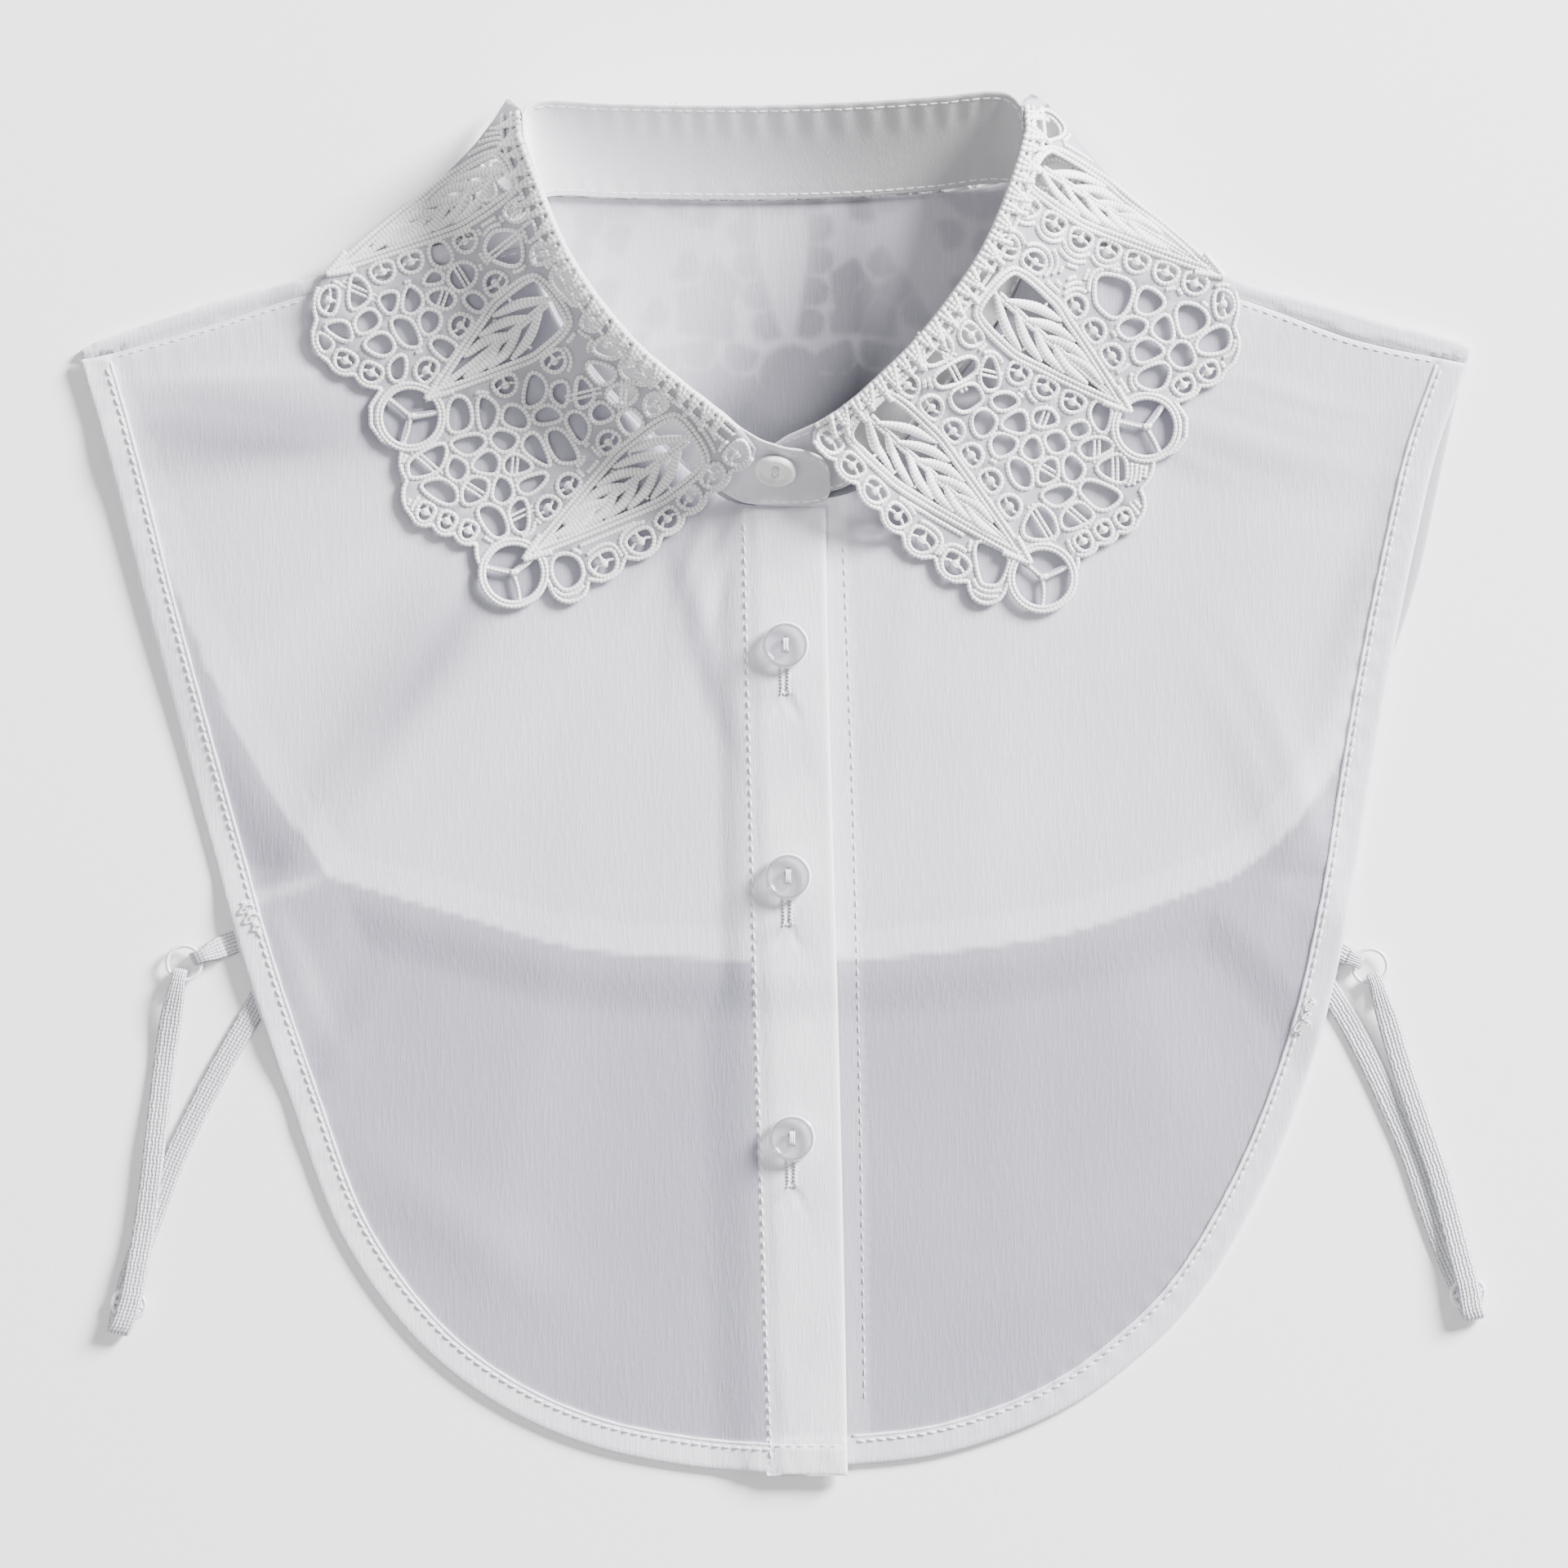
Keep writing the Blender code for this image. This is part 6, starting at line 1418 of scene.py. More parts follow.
def leaf_cords(work, leaf):
    """A leaf: a double outline that meets at its tip, a middle vein and long herringbone petals."""
    for grow in (0.3, -0.95):
        work.cord(round_loop(closed_offset(leaf_loop(leaf), grow), 0.5), 1.2, 1.2, closed=True, lift=0.7)
    base, run, length, along, across = leaf_axes(leaf)
    for shift in (-0.5, 0.5):
        vein = [base + along * 2.5 + across * shift, base + run - along * 1.5 + across * shift * 0.6]
        work.cord(vein, 1.0, 1.1, lift=0.65)
    for number, start in enumerate(np.arange(1.0, length - 9.0, 3.3)):
        side = 1 if number % 2 else -1
        reach = 14.5 - 0.09 * start
        at = min(1.0, (start + reach) / length)
        half = leaf[4] * min(1.0, LEAF_TAPER * (1.0 - at) ** 0.9) - 1.9
        if half < 0.5:
            continue
        first = base + along * start
        last = base + along * (start + reach) + across * side * half
        middle = (first + last) / 2 + across * side * 1.1
        work.cord(smooth_line([first, middle, last], 0.5), 2.6, 1.3, lift=0.85, taper=petal_shape)
        if half > 3.0:
            spur = first * 0.35 + last * 0.65
            tip = spur + across * side * (half * 0.36 + 0.9) - along * 0.8
            work.cord([spur, tip], BRIDE, 0.6, lift=0.5)
    tip = np.array(leaf[2:4]) + along * 1.4
    for side in (-1, 1):
        flank = np.array(leaf[2:4]) - along * 5.5 + across * side * 2.6
        bend = tip - along * 1.6 + across * side * 0.7
        work.cord(smooth_line([flank, bend, tip], 0.5), 1.5, 1.2, lift=0.95)


def gap_cords(work, number, gap, kind):
    """The cord round a gap, and what is worked across it: a bud on its brides, or a pair of brides."""
    work.cord(round_loop(closed_offset(gap, CORD * 0.42), 0.4), CORD, closed=True, lift=0.6)
    if kind == "cell":
        wide = gap - gap.mean(0)
        reach = np.linalg.norm(wide, axis=1)
        if reach.max() > 3.9 and number % 3 == 0:
            far = wide[reach.argmax()] / reach.max()
            side = np.array([-far[1], far[0]]) * reach.max() * 0.8
            for shift in (-0.6, 0.6):
                middle = gap.mean(0) + far * shift
                work.cord([middle - side, middle + side], BRIDE, 0.6)
        return
    foot = (gap[0] + gap[1]) / 2
    crown = (gap[3] + gap[4]) / 2
    up = crown - foot
    centre = foot + up * 0.48
    work.cord([foot - up * 0.1, centre], 0.9, 0.7, lift=0.55)
    work.cord([centre - up * 0.24, centre + up * 0.2], 2.3, 1.3, lift=0.75,
              taper=lambda share: 0.45 + 0.55 * np.sin(math.pi * share))
    for end in (gap[2], gap[5]):
        sag = (centre + end) / 2 - up * 0.1
        work.cord(smooth_line([centre, sag, end + (end - centre) * 0.15], 0.4), BRIDE, 0.6, lift=0.5)


def runs_of(keep):
    """Start and end of each run of True values round a closed line, longest first."""
    if keep.all():
        return [(0, len(keep))]
    start = int(np.argmin(keep))
    turned = np.roll(keep, -start)
    edges = np.flatnonzero(np.diff(np.concatenate([[0], turned.astype(int), [0]])))
    return [(start + a, start + b) for a, b in zip(edges[::2], edges[1::2])]


def web_rows(work, gaps, loop, leaves, rings, roll):
    """Further rows of cord where the web between gaps is wide, each row beside the last."""
    shapes = gaps + [leaf_loop(leaf, 1.2) for leaf in leaves]
    boxes = np.array([[*shape.min(0), *shape.max(0)] for shape in shapes])
    for row in range(1, 5):
        away = CORD * 0.42 + CORD_ROW * row
        for number, shape in enumerate(shapes):
            own = away if number < len(gaps) else away - CORD_ROW * 0.8
            line = round_loop(closed_offset(shape, own), 0.6)
            keep = -outside_distance(line, loop) > 1.0
            low, high = line.min(0), line.max(0)
            for other, (x0, y0, x1, y1) in enumerate(boxes):
                far = x0 - 9 > high[0] or x1 + 9 < low[0] or y0 - 9 > high[1] or y1 + 9 < low[1]
                if other == number or far:
                    continue
                least = away if other < len(gaps) else away - CORD_ROW * 0.8
                keep &= outside_distance(line, shapes[other]) > least - (0.05 if other > number else -0.05)
            for x, y, _ in rings:
                keep &= np.hypot(line[:, 0] - x, line[:, 1] - y) > RING_RADIUS + 0.4
            if roll is not None:
                keep &= line_distance(line, roll) > 4.2
            for a, b in runs_of(keep):
                if b - a >= 4:
                    work.cord(line[np.arange(a, b) % len(line)], CORD, CORD_HEIGHT, lift=0.6)


def ring_cords(work, x, y, heading):
    """A large ring at a leaf's tip with its uneven Y of brides."""
    turn = np.linspace(0.0, 2 * math.pi, 64, endpoint=False)
    unit = np.column_stack([np.cos(turn), np.sin(turn)])
    for depth in (0.5, 1.45):
        work.cord(unit * (RING_RADIUS - depth) + (x, y), CORD, 1.2, closed=True, lift=0.7)
    centre = np.array([x, y])
    for angle in (heading + 180.0, heading + 65.0, heading - 50.0):
        a = math.radians(angle)
        end = centre + np.array([math.cos(a), math.sin(a)]) * (RING_RADIUS - RING_CORD)
        bend = centre * 0.5 + end * 0.5 + (0.35, -0.2)
        work.cord(smooth_line([centre, bend, end], 0.4), 0.9, 0.7, lift=0.5)
    work.cord([centre - (0.7, 0.0), centre + (0.7, 0.3), centre + (1.2, 0.0)], 1.6, 1.1, lift=0.7)


def roll_border(work, roll, loop):
    """The braided border along the roll line: dense short turns over running cords."""
    turn = 1 if inside(side_line(roll, 3.6), loop).mean() > 0.5 else -1
    near = side_line(roll, 0.7 * turn)
    far = side_line(roll, 4.6 * turn)
    work.cord(near, 1.5, 1.3, lift=0.8)
    work.cord(side_line(roll, 2.2 * turn), 1.2, 1.1, lift=0.75)
    work.cord(far, 1.2, 1.1, lift=0.75)
    first = resample(near, 1.5)
    second = resample(far, (len(resample(far, 0.2)) * 0.2) / max(1, len(first) - 1))
    count = min(len(first), len(second))
    for i in range(1, count - 3):
        start = first[i]
        end = second[i + (0, 1, 0, 2, 1)[i % 5]]
        reach = (0.62, 1.25, 0.85, 1.4, 0.7, 1.1, 0.95)[i % 7]
        work.cord([start - (end - start) * 0.12, start + (end - start) * reach], 1.4, 1.3, lift=1.05)


def lace_design(loop, anchors, side, leaves, rings, left_whole=0):
    """The gaps of one piece of lace with their kinds: ring, scallop or cell."""
    candidates = edge_gaps(anchors, side) + [gap for leaf in leaves for gap in leaf_gaps(leaf)]
    scallops = {id(gap) for gap in candidates}
    gaps = lace_gaps(loop, leaves, rings, candidates, left_whole)
    return [("ring" if number < 3 * len(rings) else "scallop" if id(gap) in scallops else "cell", gap)
            for number, gap in enumerate(gaps)]


def lace_piece(name, loop, free_edge, roll, leaves, rings, kept, bottom):
    """One piece of guipure: a thin grey ground with its gaps cut, coloured as painted shade between the
    cords, and all the cords over it.
    """
    worked = [(kind, gap) for kind, gap in kept if kind != "ring"]
    holes = [gap for kind, gap in kept if kind == "ring"]
    holes += [round_loop(closed_offset(gap, 0.2), 0.9) for _, gap in worked]
    holes += [round_loop(closed_offset(leaf_loop(leaf), -1.3), 0.9) for leaf in leaves]
    verts, faces = plan_triangles(even_loop(loop, 1.2), holes, [], grid_points(loop, 2.6, 0.6), 1.2)
    ground_map = HeightMap(bottom, loop.min(0) - 2.0, loop.max(0) + 2.0)
    low = ground_map.read(verts) + 0.3
    solid, skin = two_skins(verts, faces, low, low + 0.3)
    marks = {"turn": np.ones(len(solid))}
    ground = add_piece(name + "_ground", solid, skin, LACE_SHADE_SHEET, [name], marks)
    work = LaceWork(ground_map)
    for number, (kind, gap) in enumerate(worked):
        gap_cords(work, number, gap, kind)
    for ring in rings:
        ring_cords(work, *ring)
    for leaf in leaves:
        leaf_cords(work, leaf)
    web_rows(work, [gap for _, gap in worked], loop, leaves, rings, roll)
    inset = 0.5 if inside(side_line(free_edge, 0.75), loop).mean() > 0.5 else -0.5
    work.cord(side_line(free_edge, inset)[1:-1], 1.15, 1.1, lift=0.6)
    if roll is not None:
        roll_border(work, resample(roll, 0.6), loop)
    verts, faces, turns = work.mesh()
    cords = add_piece(name + "_cords", verts, faces, LACE_COTTON, (), {"turn": turns})
    return ground, cords


# Buttons, rings, sliders and elastic

def to_hole(points):
    """Distance of each point of a button to the middle of its nearest hole."""
    upper, lower = (points - (0.0, side * BUTTON_HOLE_OFFSET) for side in (1, -1))
    return np.minimum(np.hypot(*upper.T), np.hypot(*lower.T))


def make_button(name, radius, material, place, tilt=0.0, turn=0.0):
    """A two-hole button with a raised rim and its thread."""
    holes = [disc_points(BUTTON_HOLE_RADIUS, 20) + (0, side * BUTTON_HOLE_OFFSET) for side in (1, -1)]
    rows = np.vstack([disc_points(radius - step, 64) for step in RIM_ROWS])
    extra = grid_points(disc_points(radius - 2.0, 40), 0.55, 0.2)
    extra = extra[to_hole(extra) > 1.0]
    verts, faces = plan_triangles(disc_points(radius, 64), holes, rows, extra, 0.4)
    r = np.hypot(*verts.T)
    low = 0.05 + 0.45 * ease((r - radius + 0.7) / 0.7)
    rim = ease((r - radius + 1.7) / 0.9) - 0.75 * ease((r - radius + 0.6) / 0.6)
    high = BUTTON_THICKNESS * 0.7 + BUTTON_THICKNESS * 0.3 * rim
    for side in (1, -1):
        near = np.hypot(verts[:, 0], verts[:, 1] - side * BUTTON_HOLE_OFFSET)
        high -= 0.12 * ease((BUTTON_HOLE_RADIUS + 0.25 - near) / 0.25)
    solid, skin = two_skins(verts, faces, low, high)
    # The rim mark: a painted glint at the outer edge, painted shade on the step inside it and round the holes
    outer = np.maximum(ease((r - radius + 0.52) / 0.2), 0.5 * ease((r - radius + 1.15) / 0.3))
    outer = np.maximum(outer, 0.5 * ease((BUTTON_HOLE_RADIUS + 0.3 - to_hole(verts)) / 0.2))
    marks = {"rim": np.concatenate([outer, outer])}
    button = add_piece(name, solid, skin, material, [name], marks, sharp=50)
    bars = []
    for shift in (-0.5, 0.0, 0.5):
        y = np.linspace(-BUTTON_HOLE_OFFSET - 0.45, BUTTON_HOLE_OFFSET + 0.45, 11)
        into_hole = np.clip(np.abs(y) - BUTTON_HOLE_OFFSET + 0.1, 0.0, 1.0)
        z = BUTTON_THICKNESS * 0.7 + 0.28 - 1.3 * into_hole * 1.6
        bars.append(np.column_stack([shift * (1.0 - 0.25 * np.cos(y)), y, z]))
    points, quads = tubes(bars, [0.5] * 3, [0.45] * 3, [np.tile(UP, (11, 1))] * 3)
    thread = add_piece(name + "_thread", points, quads, THREAD_WHITE)
    for piece in (button, thread):
        piece.location = Vector(place) * MM
        piece.rotation_euler = (math.radians(tilt), 0.0, math.radians(turn))
    return button


def make_ring(name, centre):
    """A round nylon ring."""
    path = np.column_stack([disc_points(RING_EYE_RADIUS, 56) + centre, np.full(56, RING_SEAT)])
    verts, faces = flat_tube(path, RING_WIRE_RADIUS * 2, RING_WIRE_RADIUS * 2, 14, True)
    return add_piece(name, verts, faces, NYLON, [name])


def make_slider(name, x, y, turn):
    """A moulded slider: a rounded frame and its middle bar."""
    wide, tall = SLIDER_SIZE
    bar = SLIDER_BAR
    x_out, y_out = wide / 2 - bar / 2, tall / 2 - bar / 2
    corners = np.array([(-x_out, -y_out), (x_out, -y_out), (x_out, y_out), (-x_out, y_out)])
    outer = closed_offset(round_loop(corners, 0.5), 0.12)
    z = SLIDER_SEAT + SLIDER_THICKNESS / 2
    outer = np.column_stack([outer, np.full(len(outer), z)])
    reach = wide / 2 - bar * 0.6
    cross = np.column_stack([np.linspace(-reach, reach, 12), np.zeros(12), np.full(12, z)])
    verts, faces = flat_tube(outer, bar, SLIDER_THICKNESS, 12, True)
    more, more_faces = flat_tube(cross, bar, SLIDER_THICKNESS * 0.9, 12)
    faces += [[len(verts) + k for k in face] for face in more_faces]
    slider = add_piece(name, np.vstack([verts, more]), faces, NYLON, [name])
    slider.location = Vector((x, y, 0.0)) * MM
    slider.rotation_euler = (0.0, 0.0, math.radians(turn))
    return slider


def make_strap(name, table):
    """One length of elastic with rounded edges."""
    centres, widths = strap_path(table)
    normal = unit(np.cross(unit(np.gradient(centres, axis=0)), widths))
    half = [(-1.0, 0.0), (-0.94, 0.34), (-0.6, 0.44), (-0.2, 0.46), (0.2, 0.46), (0.6, 0.44), (0.94, 0.34)]
    section = half + [(-u, -v) for u, v in half]
    travel = travel_along(centres)
    verts = np.stack([centres + widths * u + normal * v for u, v in section], axis=1).reshape(-1, 3)
    strands = [np.column_stack([np.full(len(travel), (u + 1.0) * 0.95), travel / 2.9]) for u, _ in section]
    uvs = np.stack(strands, axis=1).reshape(-1, 2)
    wide = len(section)
    faces = [list(range(wide))]
    for i in range(len(centres) - 1):
        for k in range(wide):
            a, b = i * wide + k, i * wide + (k + 1) % wide
            faces.append((a, a + wide, b + wide, b))
    faces.append([(len(centres) - 1) * wide + k for k in reversed(range(wide))])
    return add_piece(name, verts, faces, ELASTIC, [name], uvs=uvs)


# The stand

def stand_surface(stations, shares):
    """Middle points of the stand and their outward directions, on a fine grid."""
    rows = stand_stations(stations)
    middle = np.array([[stand_point(row, share) for share in shares] for row in rows])
    along = np.gradient(middle, axis=0)
    across = np.gradient(middle, axis=1)
    return middle, unit(np.cross(along, across))


def make_stand():
    """The collar stand as one rounded band with small puckers at its stitching."""
    shares = np.concatenate([[0.0, 0.01, 0.03, 0.06], np.linspace(0.1, 0.9, 14), [0.94, 0.97, 0.99, 1.0]])
    count = 460
    middle, normal = stand_surface(count, shares)
    travel = travel_along(middle[:, -1])
    to_top = (1.0 - shares) * STAND_HEIGHT
    to_seam = shares * STAND_HEIGHT
    edge = np.minimum(shares, 1.0 - shares) * STAND_HEIGHT
    full = np.sqrt(1.0 - (1.0 - np.clip(edge / 0.6, 0.0, 1.0)) ** 2 * 0.97)
    ends = np.minimum(travel, travel[-1] - travel)
    full = full[None, :] * np.sqrt(1.0 - (1.0 - np.clip(ends / 0.6, 0.0, 1.0)) ** 2 * 0.9)[:, None]
    near_top = np.exp(-(to_top - 4.0) ** 2 / 9.0)
    near_seam = np.exp(-(to_seam - 2.6) ** 2 / 4.0)
    wave = (ripple(travel, 6.3, 0.4)[:, None] * near_top[None]
            + 0.5 * ripple(travel, 7.1, 1.9)[:, None] * near_seam[None])
    groove = -0.12 * (np.exp(-(to_top - 1.1) ** 2 / 0.12) + np.exp(-(to_seam - 1.2) ** 2 / 0.12))
    shift = 0.3 * wave * ease(ends / 6.0)[:, None]
    half = WALL / 2 - 0.02
    one = middle + normal * ((half + groove[None]) * full + shift)[:, :, None]
    two = middle - normal * ((half + groove[None]) * full - shift)[:, :, None]
    wide = len(shares)
    verts = np.vstack([one.reshape(-1, 3), two.reshape(-1, 3)])
    other = count * wide
    faces = []
    for i in range(count - 1):
        for k in range(wide - 1):
            a = i * wide + k
            faces.append((a, a + wide, a + wide + 1, a + 1))
            faces.append((other + a, other + a + 1, other + a + wide + 1, other + a + wide))
    rim = [i * wide for i in range(count)]
    rim += [(count - 1) * wide + k for k in range(1, wide)]
    rim += [i * wide + wide - 1 for i in range(count - 2, -1, -1)]
    rim += [k for k in range(wide - 2, 0, -1)]
    for a, b in zip(rim, rim[1:] + rim[:1]):
        faces.append((a, a + other, b + other, b))
    # Painted light and shade: the stand paler on the viewer's left and darker towards its right, where it
    # faces away from the lamp
    tone = ease((-verts[:, 0] + 26.0) / 70.0)
    stand = add_piece("stand", verts, faces, STAND_CLOTH, ["stand"], {"backing": tone})
    return stand, middle + normal * shift[:, :, None], normal


def stand_stitches(middle, normal, share_index, side):
    """Stitch paths along one row of the stand, on one of its faces."""
    line = middle[:, share_index] + normal[:, share_index] * side * (WALL / 2 - 0.08)
    travel = travel_along(line)
    paths = []
    for start in np.arange(1.5, travel[-1] - 3.0, 2.6):
        at = start + np.linspace(0.0, 2.0, 6)
        paths.append(np.column_stack([np.interp(at, travel, line[:, k]) for k in range(3)]))
    return paths


# Assembly

class Pattern:
    """Outlines of the cloth pieces in plan, drawn at one step."""

    def __init__(self, step):
        self.left_hem = smooth_line(LEFT_HEM, step)
        self.right_hem = smooth_line(RIGHT_HEM, step)
        self.left_seam = smooth_line(LEFT_SHOULDER_SEAM, step)
        self.right_seam = smooth_line(RIGHT_SHOULDER_SEAM, step)
        self.left_fold = smooth_line(LEFT_SHOULDER_FOLD, step)
        self.right_fold = smooth_line(RIGHT_SHOULDER_FOLD, step)
        self.placket_left = smooth_line([(sides[0], y) for sides, y in PLACKET_SIDES], step)
        self.placket_right = smooth_line([(sides[1], y) for sides, y in PLACKET_SIDES], step)
        hidden_edge = smooth_line([self.right_hem[-1], RIGHT_FRONT_EDGE, RIGHT_NECK[-1]], step)
        self.left_front = join_lines(self.left_hem, self.placket_right[::-1],
                                     smooth_line(LEFT_NECK, step)[::-1], self.left_seam + (0, -0.2))
        self.right_front = join_lines(self.right_hem, hidden_edge,
                                      smooth_line(RIGHT_NECK, step)[::-1], self.right_seam + (0, -0.2))
        self.back = join_lines(smooth_line(BACK_NECK, step), self.right_fold,
                               smooth_line(BACK_RIGHT_SIDE, step), smooth_line(BACK_LOWER, step),
                               smooth_line(BACK_LEFT_SIDE, step), self.left_fold)
        self.placket = join_lines(self.placket_left, self.placket_right[::-1])


class SideLace:
    """The fold-over lace of one side: its free edge, its turn over the shoulder and its roll line."""

    def __init__(self, name, anchors, side, turn, roll_span, leaves, rings):
        self.name = name
        self.anchors = anchors
        self.side = side
        self.leaves = leaves
        self.rings = rings
        self.free_edge = arc_edge(anchors) if side > 0 else mirror_arcs(anchors)
        self.turn = smooth_line(turn, TURN_STEP)
        self.roll = resample(line_between(stand_stations()[:, :2], roll_span), ROLL_STEP)[::-side]
        self.loop = join_lines(self.free_edge, self.turn, self.roll)

    def make(self, below):
        """The ground and the cords, falling from the roll line onto the layers below."""
        def bottom(points):
            base = cover(points, below)
            away, roll_z = roll_height(points)
            reach = np.minimum(LACE_FALL, away + line_distance(points, self.turn))
            share = 1.0 - ease(away / np.maximum(reach, 1e-6))
            return base + LACE_LIFT + (roll_z + ROLL_RISE - base) * share
        kept = lace_design(self.loop, self.anchors, self.side, self.leaves, self.rings)
        return lace_piece(self.name, self.loop, self.free_edge, self.roll, self.leaves, self.rings, kept,
                          bottom)


class BackLace:
    """The lace behind the neck: flat under the back panel, and up the outer face of the stand."""

    def __init__(self):
        rows = stand_stations()
        self.seam_rows = rows[rows[:, 4] > SEAM_BACK_Y]
        self.free_edge = mirror_arcs(BACK_LACE_EDGE)
        right_turn = smooth_line(RIGHT_LACE_TURN, TURN_STEP)
        left_turn = smooth_line(LEFT_LACE_TURN, TURN_STEP)[::-1]
        self.flat_loop = join_lines(self.free_edge, right_turn, left_turn)
        self.loop = join_lines(self.free_edge, right_turn + (-0.4, -0.4), self.seam_rows[::-1, :2],
                               left_turn + (0.4, -0.4))
        self.kept = lace_design(self.loop, BACK_LACE_EDGE, -1, BACK_LEAVES, BACK_RINGS, BACK_CELLS_LEFT_WHOLE)

    def bottom(self, points):
        """Height over the board: none under the panel, then rising with the stand."""
        seam_rows = self.seam_rows
        run = seam_rows[:, 0:2] - seam_rows[:, 3:5]
        gap = points[:, None] - seam_rows[None, :, 3:5]
        share = (gap * run).sum(2) / (run * run).sum(1)
        foot = np.abs((gap - share[:, :, None] * run)).sum(2)
        nearest = foot.argmin(1)
        t = np.clip((share[np.arange(len(points)), nearest] - 0.06) / 0.94, 0.0, 1.0)
        inward = ease((points[:, 0] - seam_rows[:, 0].min() - 1.0) / 12.0)
        inward *= ease((seam_rows[:, 0].max() - 1.0 - points[:, 0]) / 12.0)
        return (seam_rows[nearest, 2] - 3.6) * t ** 1.4 * inward

    def make(self):
        """The ground and the cords."""
        return lace_piece("lace_back", self.loop, self.free_edge, None, BACK_LEAVES, BACK_RINGS, self.kept,
                          self.bottom)


class Bib:
    """The cloth of the collar: layers from the bottom up, their upper faces and their tones."""

    def __init__(self, back_lace):
        coarse = Pattern(OUTLINE_STEP)
        self.fine = Pattern(EDGE_STEP)
        self.back_lace = back_lace
        self.facing = smooth_line(FACING_EDGE, 4.0)
        self.back_hem = smooth_line(BACK_LOWER, 4.0)
        self.strips = [np.vstack([coarse.left_seam, coarse.left_fold]),
                       np.vstack([coarse.right_seam, coarse.right_fold[::-1]])]
        shoulders = shoulder_rise(list(zip((coarse.left_seam, coarse.right_seam), self.strips)))
        lace_floor = Layer(back_lace.flat_loop)
        straps = [Layer(strap_loop(table)) for table in (LEFT_STRAP, RIGHT_STRAP, LEFT_TAB, RIGHT_TAB)]
        left_folds = [fold for fold in FRONT_FOLDS if fold[0] < 0]
        right_folds = [fold for fold in FRONT_FOLDS if fold[0] > 0]
        flat_back = Layer(coarse.back, [lace_floor])
        self.back = Layer(coarse.back, [lace_floor], raised=shoulders)
        self.right = Layer(coarse.right_front, [flat_back, *straps], right_folds, hem_rise(coarse.right_hem))
        self.left = Layer(coarse.left_front, [flat_back, self.right, *straps], left_folds,
                          hem_rise(coarse.left_hem))
        self.placket = Layer(coarse.placket, [self.left])
        shoulder_strips = [Layer(strip, [lace_floor], raised=lambda points: SHOULDER_STEP)
                           for strip in self.strips]
        self.under_lace = [lace_floor, flat_back, *shoulder_strips, self.right, self.left, self.placket]

    def left_top(self, points):
        """Upper face of the viewer's left front, creased and puckered."""
        return (self.left.top(points) + creases(points, [c for c in FRONT_CREASES if c[0] < 0]) * 0.8
                + puckers(points, self.fine.left_hem, 6.5, 0.13, 5.0, 13.0, 0.3)
                + puckers(points, self.fine.left_seam, 5.6, 0.2, 2.0, 12.0, 1.1))

    def right_top(self, points):
        """Upper face of the viewer's right front, creased and puckered."""
        return (self.right.top(points) + creases(points, [c for c in FRONT_CREASES if c[0] > 0]) * 0.8
                + puckers(points, self.fine.right_hem, 6.9, 0.13, 5.0, 13.0, 2.3)
                + puckers(points, self.fine.right_seam, 5.9, 0.2, 2.0, 12.0, 0.7))

    def placket_bottom(self, points):
        """Lower face of the buttonhole strip."""
        return self.left_top(points) + 0.04

    def placket_top(self, points):
        """Upper face of the buttonhole strip: drawn down at its stitches and creased by its buttonholes."""
        away = line_distance(points, self.fine.placket_left)
        height = self.left_top(points) + 0.18
        height = height + 0.62 * ease((away - 1.6) / 3.0) - 0.1 * np.exp(-(away - 1.1) ** 2 / 0.15)
        for x, y in BUTTONS:
            dx = points[:, 0] - x
            down = y - points[:, 1] - 11.6
            fan = (np.exp(-(np.abs(dx) - np.maximum(down, 0.0) * 0.45) ** 2 / 0.5)
                   * ease((down + 1.5) / 1.5) * ease((9.0 - down) / 7.0))
            height -= 0.4 * fan
            height += 0.12 * np.exp(-(dx / 3.0) ** 2 - ((points[:, 1] - y) / 7.0) ** 2)
        wave = (np.sin(points[:, 1] / 9.0 + 1.5 * np.sin(points[:, 1] / 23.0))
                * np.sin(points[:, 0] / 5.0 + points[:, 1] / 31.0))
        return height + 0.12 * wave * ease((away - 2.0) / 4.0)

    def placket_tone(self, points):
        """Tone of the buttonhole strip: four layers, paler over the hem, with painted shade and light of its
        creases and painted shade in its buttonholes.
        """
        over_hem = ease((HEM_WIDTH - line_distance(points, self.fine.left_hem)) / 0.8)
        return 0.9 + 0.1 * over_hem + creases(points, PLACKET_SHADES) - 0.62 * buttonhole_shade(points)

    def back_tone(self, points):
        """Tone of the back panel: the lace that shows through it, and the shade inside the neck."""
        behind = ease(-outside_distance(points, self.back_lace.flat_loop) / 1.5 + 0.5)
        opened = np.full(len(points), 9.0)
        for _, gap in self.back_lace.kept:
            near = np.abs(points - gap.mean(0)).max(1) < 8.0
            if near.any():
                away = np.maximum(outside_distance(points[near], gap), 0.0)
                opened[near] = np.minimum(opened[near], away)
        tone = 0.46 + 0.16 * behind * ease(opened / 2.2)
        for strip in self.strips:
            tone = np.where(outside_distance(points, strip) < 0.6, 1.0, tone)
        lit = ease((-points[:, 0] + 0.6 * (points[:, 1] - 112.0) + 12.0) / 42.0)
        beyond = ease((points[:, 0] - 14.0) / 16.0)
        in_neck = ease((points[:, 1] - 66.0) / 8.0) * ease((62.0 - np.abs(points[:, 0])) / 4.0)
        tone = tone - 0.52 * (1.0 - lit) * (1.0 - 0.75 * beyond) * in_neck
        return tone + 0.2 * ease((BACK_HEM - line_distance(points, self.back_hem)) / 1.0)

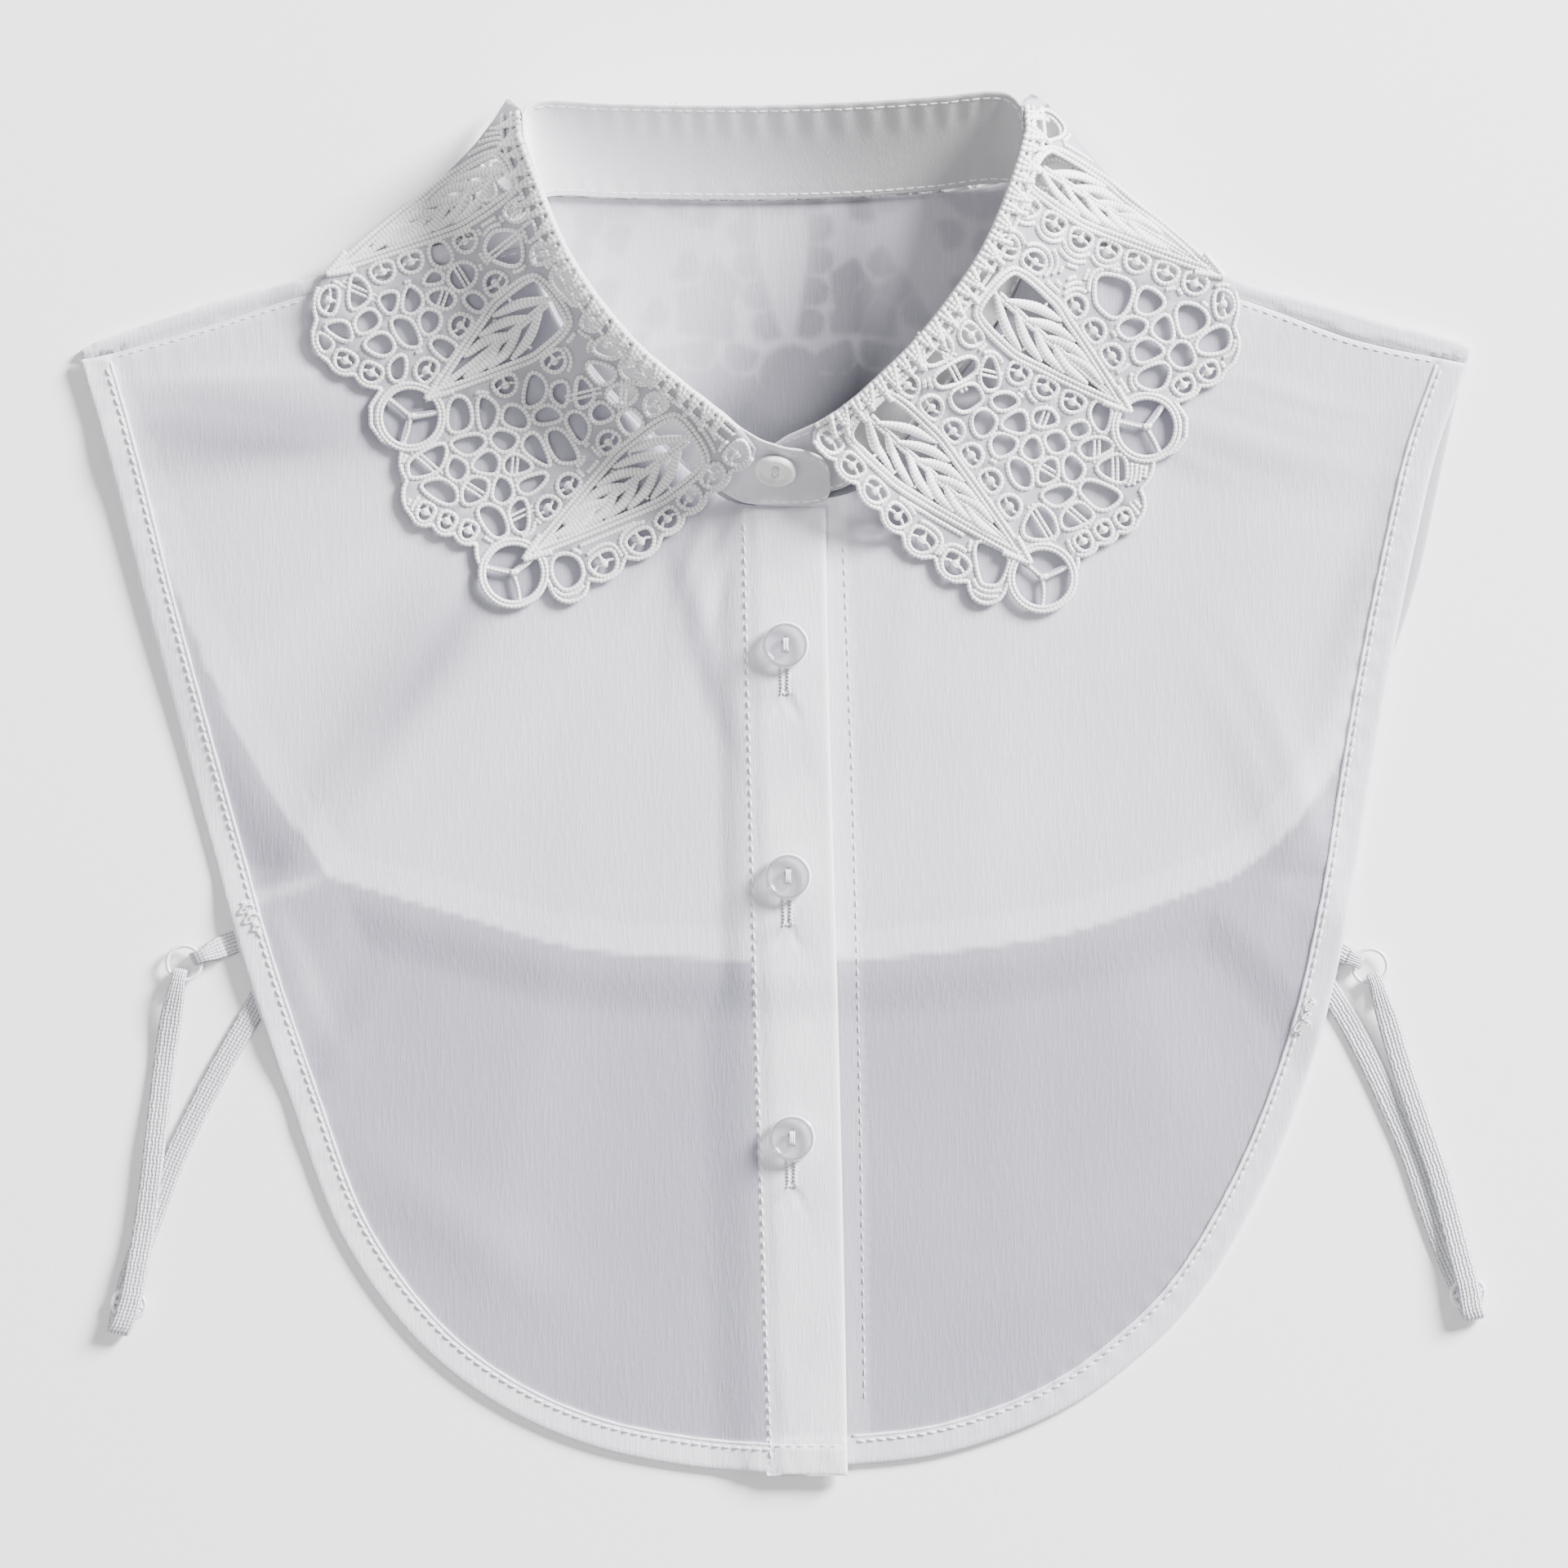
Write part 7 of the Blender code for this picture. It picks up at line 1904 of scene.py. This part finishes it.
    def front_tone(self, own_hem, lace_loop, hem_tone, facing=None):
        """Tone of a front: what lies behind each place, painted shade and light of its creases, and a painted
        shadow where the lace shades it.
        """
        def tone(points):
            depth = -outside_distance(points, self.fine.back)
            behind = 0.5 * ease((depth + 0.6) / 1.2)
            band = 0.17 * ease((depth + 0.6) / 1.2) * ease((BACK_HEM + 0.6 - depth) / 1.2)
            hem = ease((HEM_WIDTH + 0.2 - line_distance(points, own_hem)) / 0.8)
            value = behind + band
            value = value + (hem_tone - value) * hem
            if facing is not None:
                edge = np.interp(points[:, 1], facing[::-1, 1], facing[::-1, 0])
                doubled = ease((edge - points[:, 0]) / 0.9 + 0.5)
                value = value + (np.maximum(value, 0.0) * 0.3 + 0.22) * doubled * (1.0 - hem)
            # Painted shadow of the lace, set down and to the left of it
            lace_shadow = ease((1.5 - outside_distance(points + (1.2, 0.8), lace_loop)) / 3.0)
            return value + creases(points, FRONT_SHADES) * (1.0 - 0.7 * hem) - 0.38 * lace_shadow
        return tone


def sew_cloth(bib):
    """Rows of stitches, pressed hem edges, bar tacks and buttonholes on the fronts and the placket."""
    fine = bib.fine
    thread = stitches(side_line(fine.left_hem, -HEM_ROW)[2:-8], bib.left_top, HEM_PITCH, lean=0.09)
    thread += bar_tack(-130.6, -33.0, -62.0, bib.left_top, 0.4)
    fold_ridge("left_hem_fold", side_line(fine.left_hem, -(HEM_WIDTH + 0.1))[2:-8], bib.left_top)
    sewing("left_front_sewing", thread)
    thread = stitches(side_line(fine.right_hem, HEM_ROW)[2:-14], bib.right_top, HEM_PITCH, lean=-0.09)
    thread += bar_tack(127.5, -57.0, 66.0, bib.right_top, 1.9)
    fold_ridge("right_hem_fold", side_line(fine.right_hem, HEM_WIDTH + 0.1)[2:-14], bib.right_top)
    sewing("right_front_sewing", thread)
    thread = stitches(bib.facing[2:-2] + (-1.2, 0.0), bib.right_top, 2.8, 2.1)
    thread += stitches(fine.left_seam[2:-6] + (0, -1.4), bib.left_top, 2.6, 1.9)
    thread += stitches(fine.right_seam[2:-6] + (0, -1.4), bib.right_top, 2.6, 1.9)
    sewing("fine_sewing", thread, FINE_THREAD)
    thread = stitches(fine.placket_left[2:-2] + (1.1, 0.0), bib.placket_top, 2.7, 2.2, lean=0.05)
    thread += stitches(np.array([(-3.6, -162.0), (14.3, -162.0)]), bib.placket_top, 2.7, 2.2, lean=0.08)
    sewing("placket_sewing", thread, PLACKET_THREAD)
    thread = [path for x, y in BUTTONS for path in buttonhole(x, y, bib.placket_top)]
    sewing("buttonhole_sewing", thread, HOLE_THREAD)


def fasten(bib):
    """Buttons, rings, sliders and the elastic."""
    for number, place in enumerate(BUTTONS, 1):
        seat = bib.placket.top(disc_points(BUTTON_RADIUS, 12) + place).max() + GAP
        make_button("button_%d" % number, BUTTON_RADIUS, CLEAR_RESIN, (*place, seat))
    x, y, z, tilt, turn = STAND_BUTTON
    make_button("stand_button", STAND_BUTTON_RADIUS, WHITE_RESIN, (x, y, z), tilt, turn)
    for name, centre in EYES.items():
        make_ring(name, centre)
    for name, (x, y, turn) in SLIDERS.items():
        make_slider(name, x, y, turn)
    for name, table in (("strap_left", LEFT_STRAP), ("strap_right", RIGHT_STRAP), ("tab_left", LEFT_TAB),
                        ("tab_right", RIGHT_TAB)):
        make_strap(name, table)


def build():
    """Dress the whole collar."""
    back_lace = BackLace()
    left_lace = SideLace("lace_left", LEFT_LACE_EDGE, 1, LEFT_LACE_TURN, LEFT_ROLL_SPAN,
                         LEFT_LEAVES, LEFT_RINGS)
    right_lace = SideLace("lace_right", RIGHT_LACE_EDGE, -1, RIGHT_LACE_TURN, RIGHT_ROLL_SPAN,
                          RIGHT_LEAVES, RIGHT_RINGS)
    bib = Bib(back_lace)
    fine = bib.fine
    left_tone = bib.front_tone(fine.left_hem, left_lace.loop, 0.98)
    right_tone = bib.front_tone(fine.right_hem, right_lace.loop, 0.7, bib.facing)
    front_left = cloth_piece("front_left", fine.left_front, bib.left.bottom, bib.left_top, PANEL, left_tone,
                             HEM_WIDTH)
    front_right = cloth_piece("front_right", fine.right_front, bib.right.bottom, bib.right_top, PANEL,
                              right_tone, HEM_WIDTH)
    back_panel = cloth_piece("back_panel", fine.back, bib.back.bottom, bib.back.top, INNER, bib.back_tone,
                             0.0, BACK_STEP, NECK_BOX)
    placket_piece = cloth_piece("placket", fine.placket, bib.placket_bottom, bib.placket_top, PANEL,
                                bib.placket_tone, 2.0, finer_in=fine.placket)

    stand, middle, normal = make_stand()
    rows_of_thread = []
    for index, side in ((3, 1), (3, -1), (-4, 1), (-4, -1)):
        rows_of_thread += stand_stitches(middle, normal, index, side)
    sewing("stand_sewing", rows_of_thread, STAND_THREAD)

    left_ground, left_cords = left_lace.make(bib.under_lace)
    right_ground, right_cords = right_lace.make(bib.under_lace)
    back_ground, back_cords = back_lace.make()
    sew_cloth(bib)
    fasten(bib)


def set_stage():
    """Board, soft studio light and the camera straight above."""
    mesh = bpy.data.meshes.new("board")
    corners = [(x * BOARD_HALF, y * BOARD_HALF, BOARD_DROP) for x, y in ((-1, -1), (1, -1), (1, 1), (-1, 1))]
    mesh.from_pydata(corners, [], [(0, 1, 2, 3)])
    mesh.materials.append(BOARD)
    board = bpy.data.objects.new("board", mesh)
    bpy.context.scene.collection.objects.link(board)

    for name, place, size, power in LAMPS:
        light = bpy.data.lights.new(name, "AREA")
        light.shape = "DISK"
        light.size = size
        light.energy = power
        lamp = bpy.data.objects.new(name, light)
        lamp.location = place
        lamp.rotation_euler = (-Vector(place)).to_track_quat("-Z", "Y").to_euler()
        bpy.context.scene.collection.objects.link(lamp)

    world = bpy.data.worlds.new("studio")
    bpy.context.scene.world = world
    world.use_nodes = True
    sky = world.node_tree.nodes["Background"]
    sky.inputs["Color"].default_value = (1.0, 1.0, 1.0, 1.0)
    sky.inputs["Strength"].default_value = SKY_STRENGTH

    view = bpy.data.cameras.new("camera")
    view.sensor_width = SENSOR_WIDTH
    view.lens = SENSOR_WIDTH * CAMERA_PLACE[2] / PICTURE_WIDTH
    view.clip_end = 20.0
    camera = bpy.data.objects.new("camera", view)
    camera.location = CAMERA_PLACE
    bpy.context.scene.collection.objects.link(camera)
    bpy.context.scene.camera = camera


set_stage()
build()
bpy.context.view_layer.update()
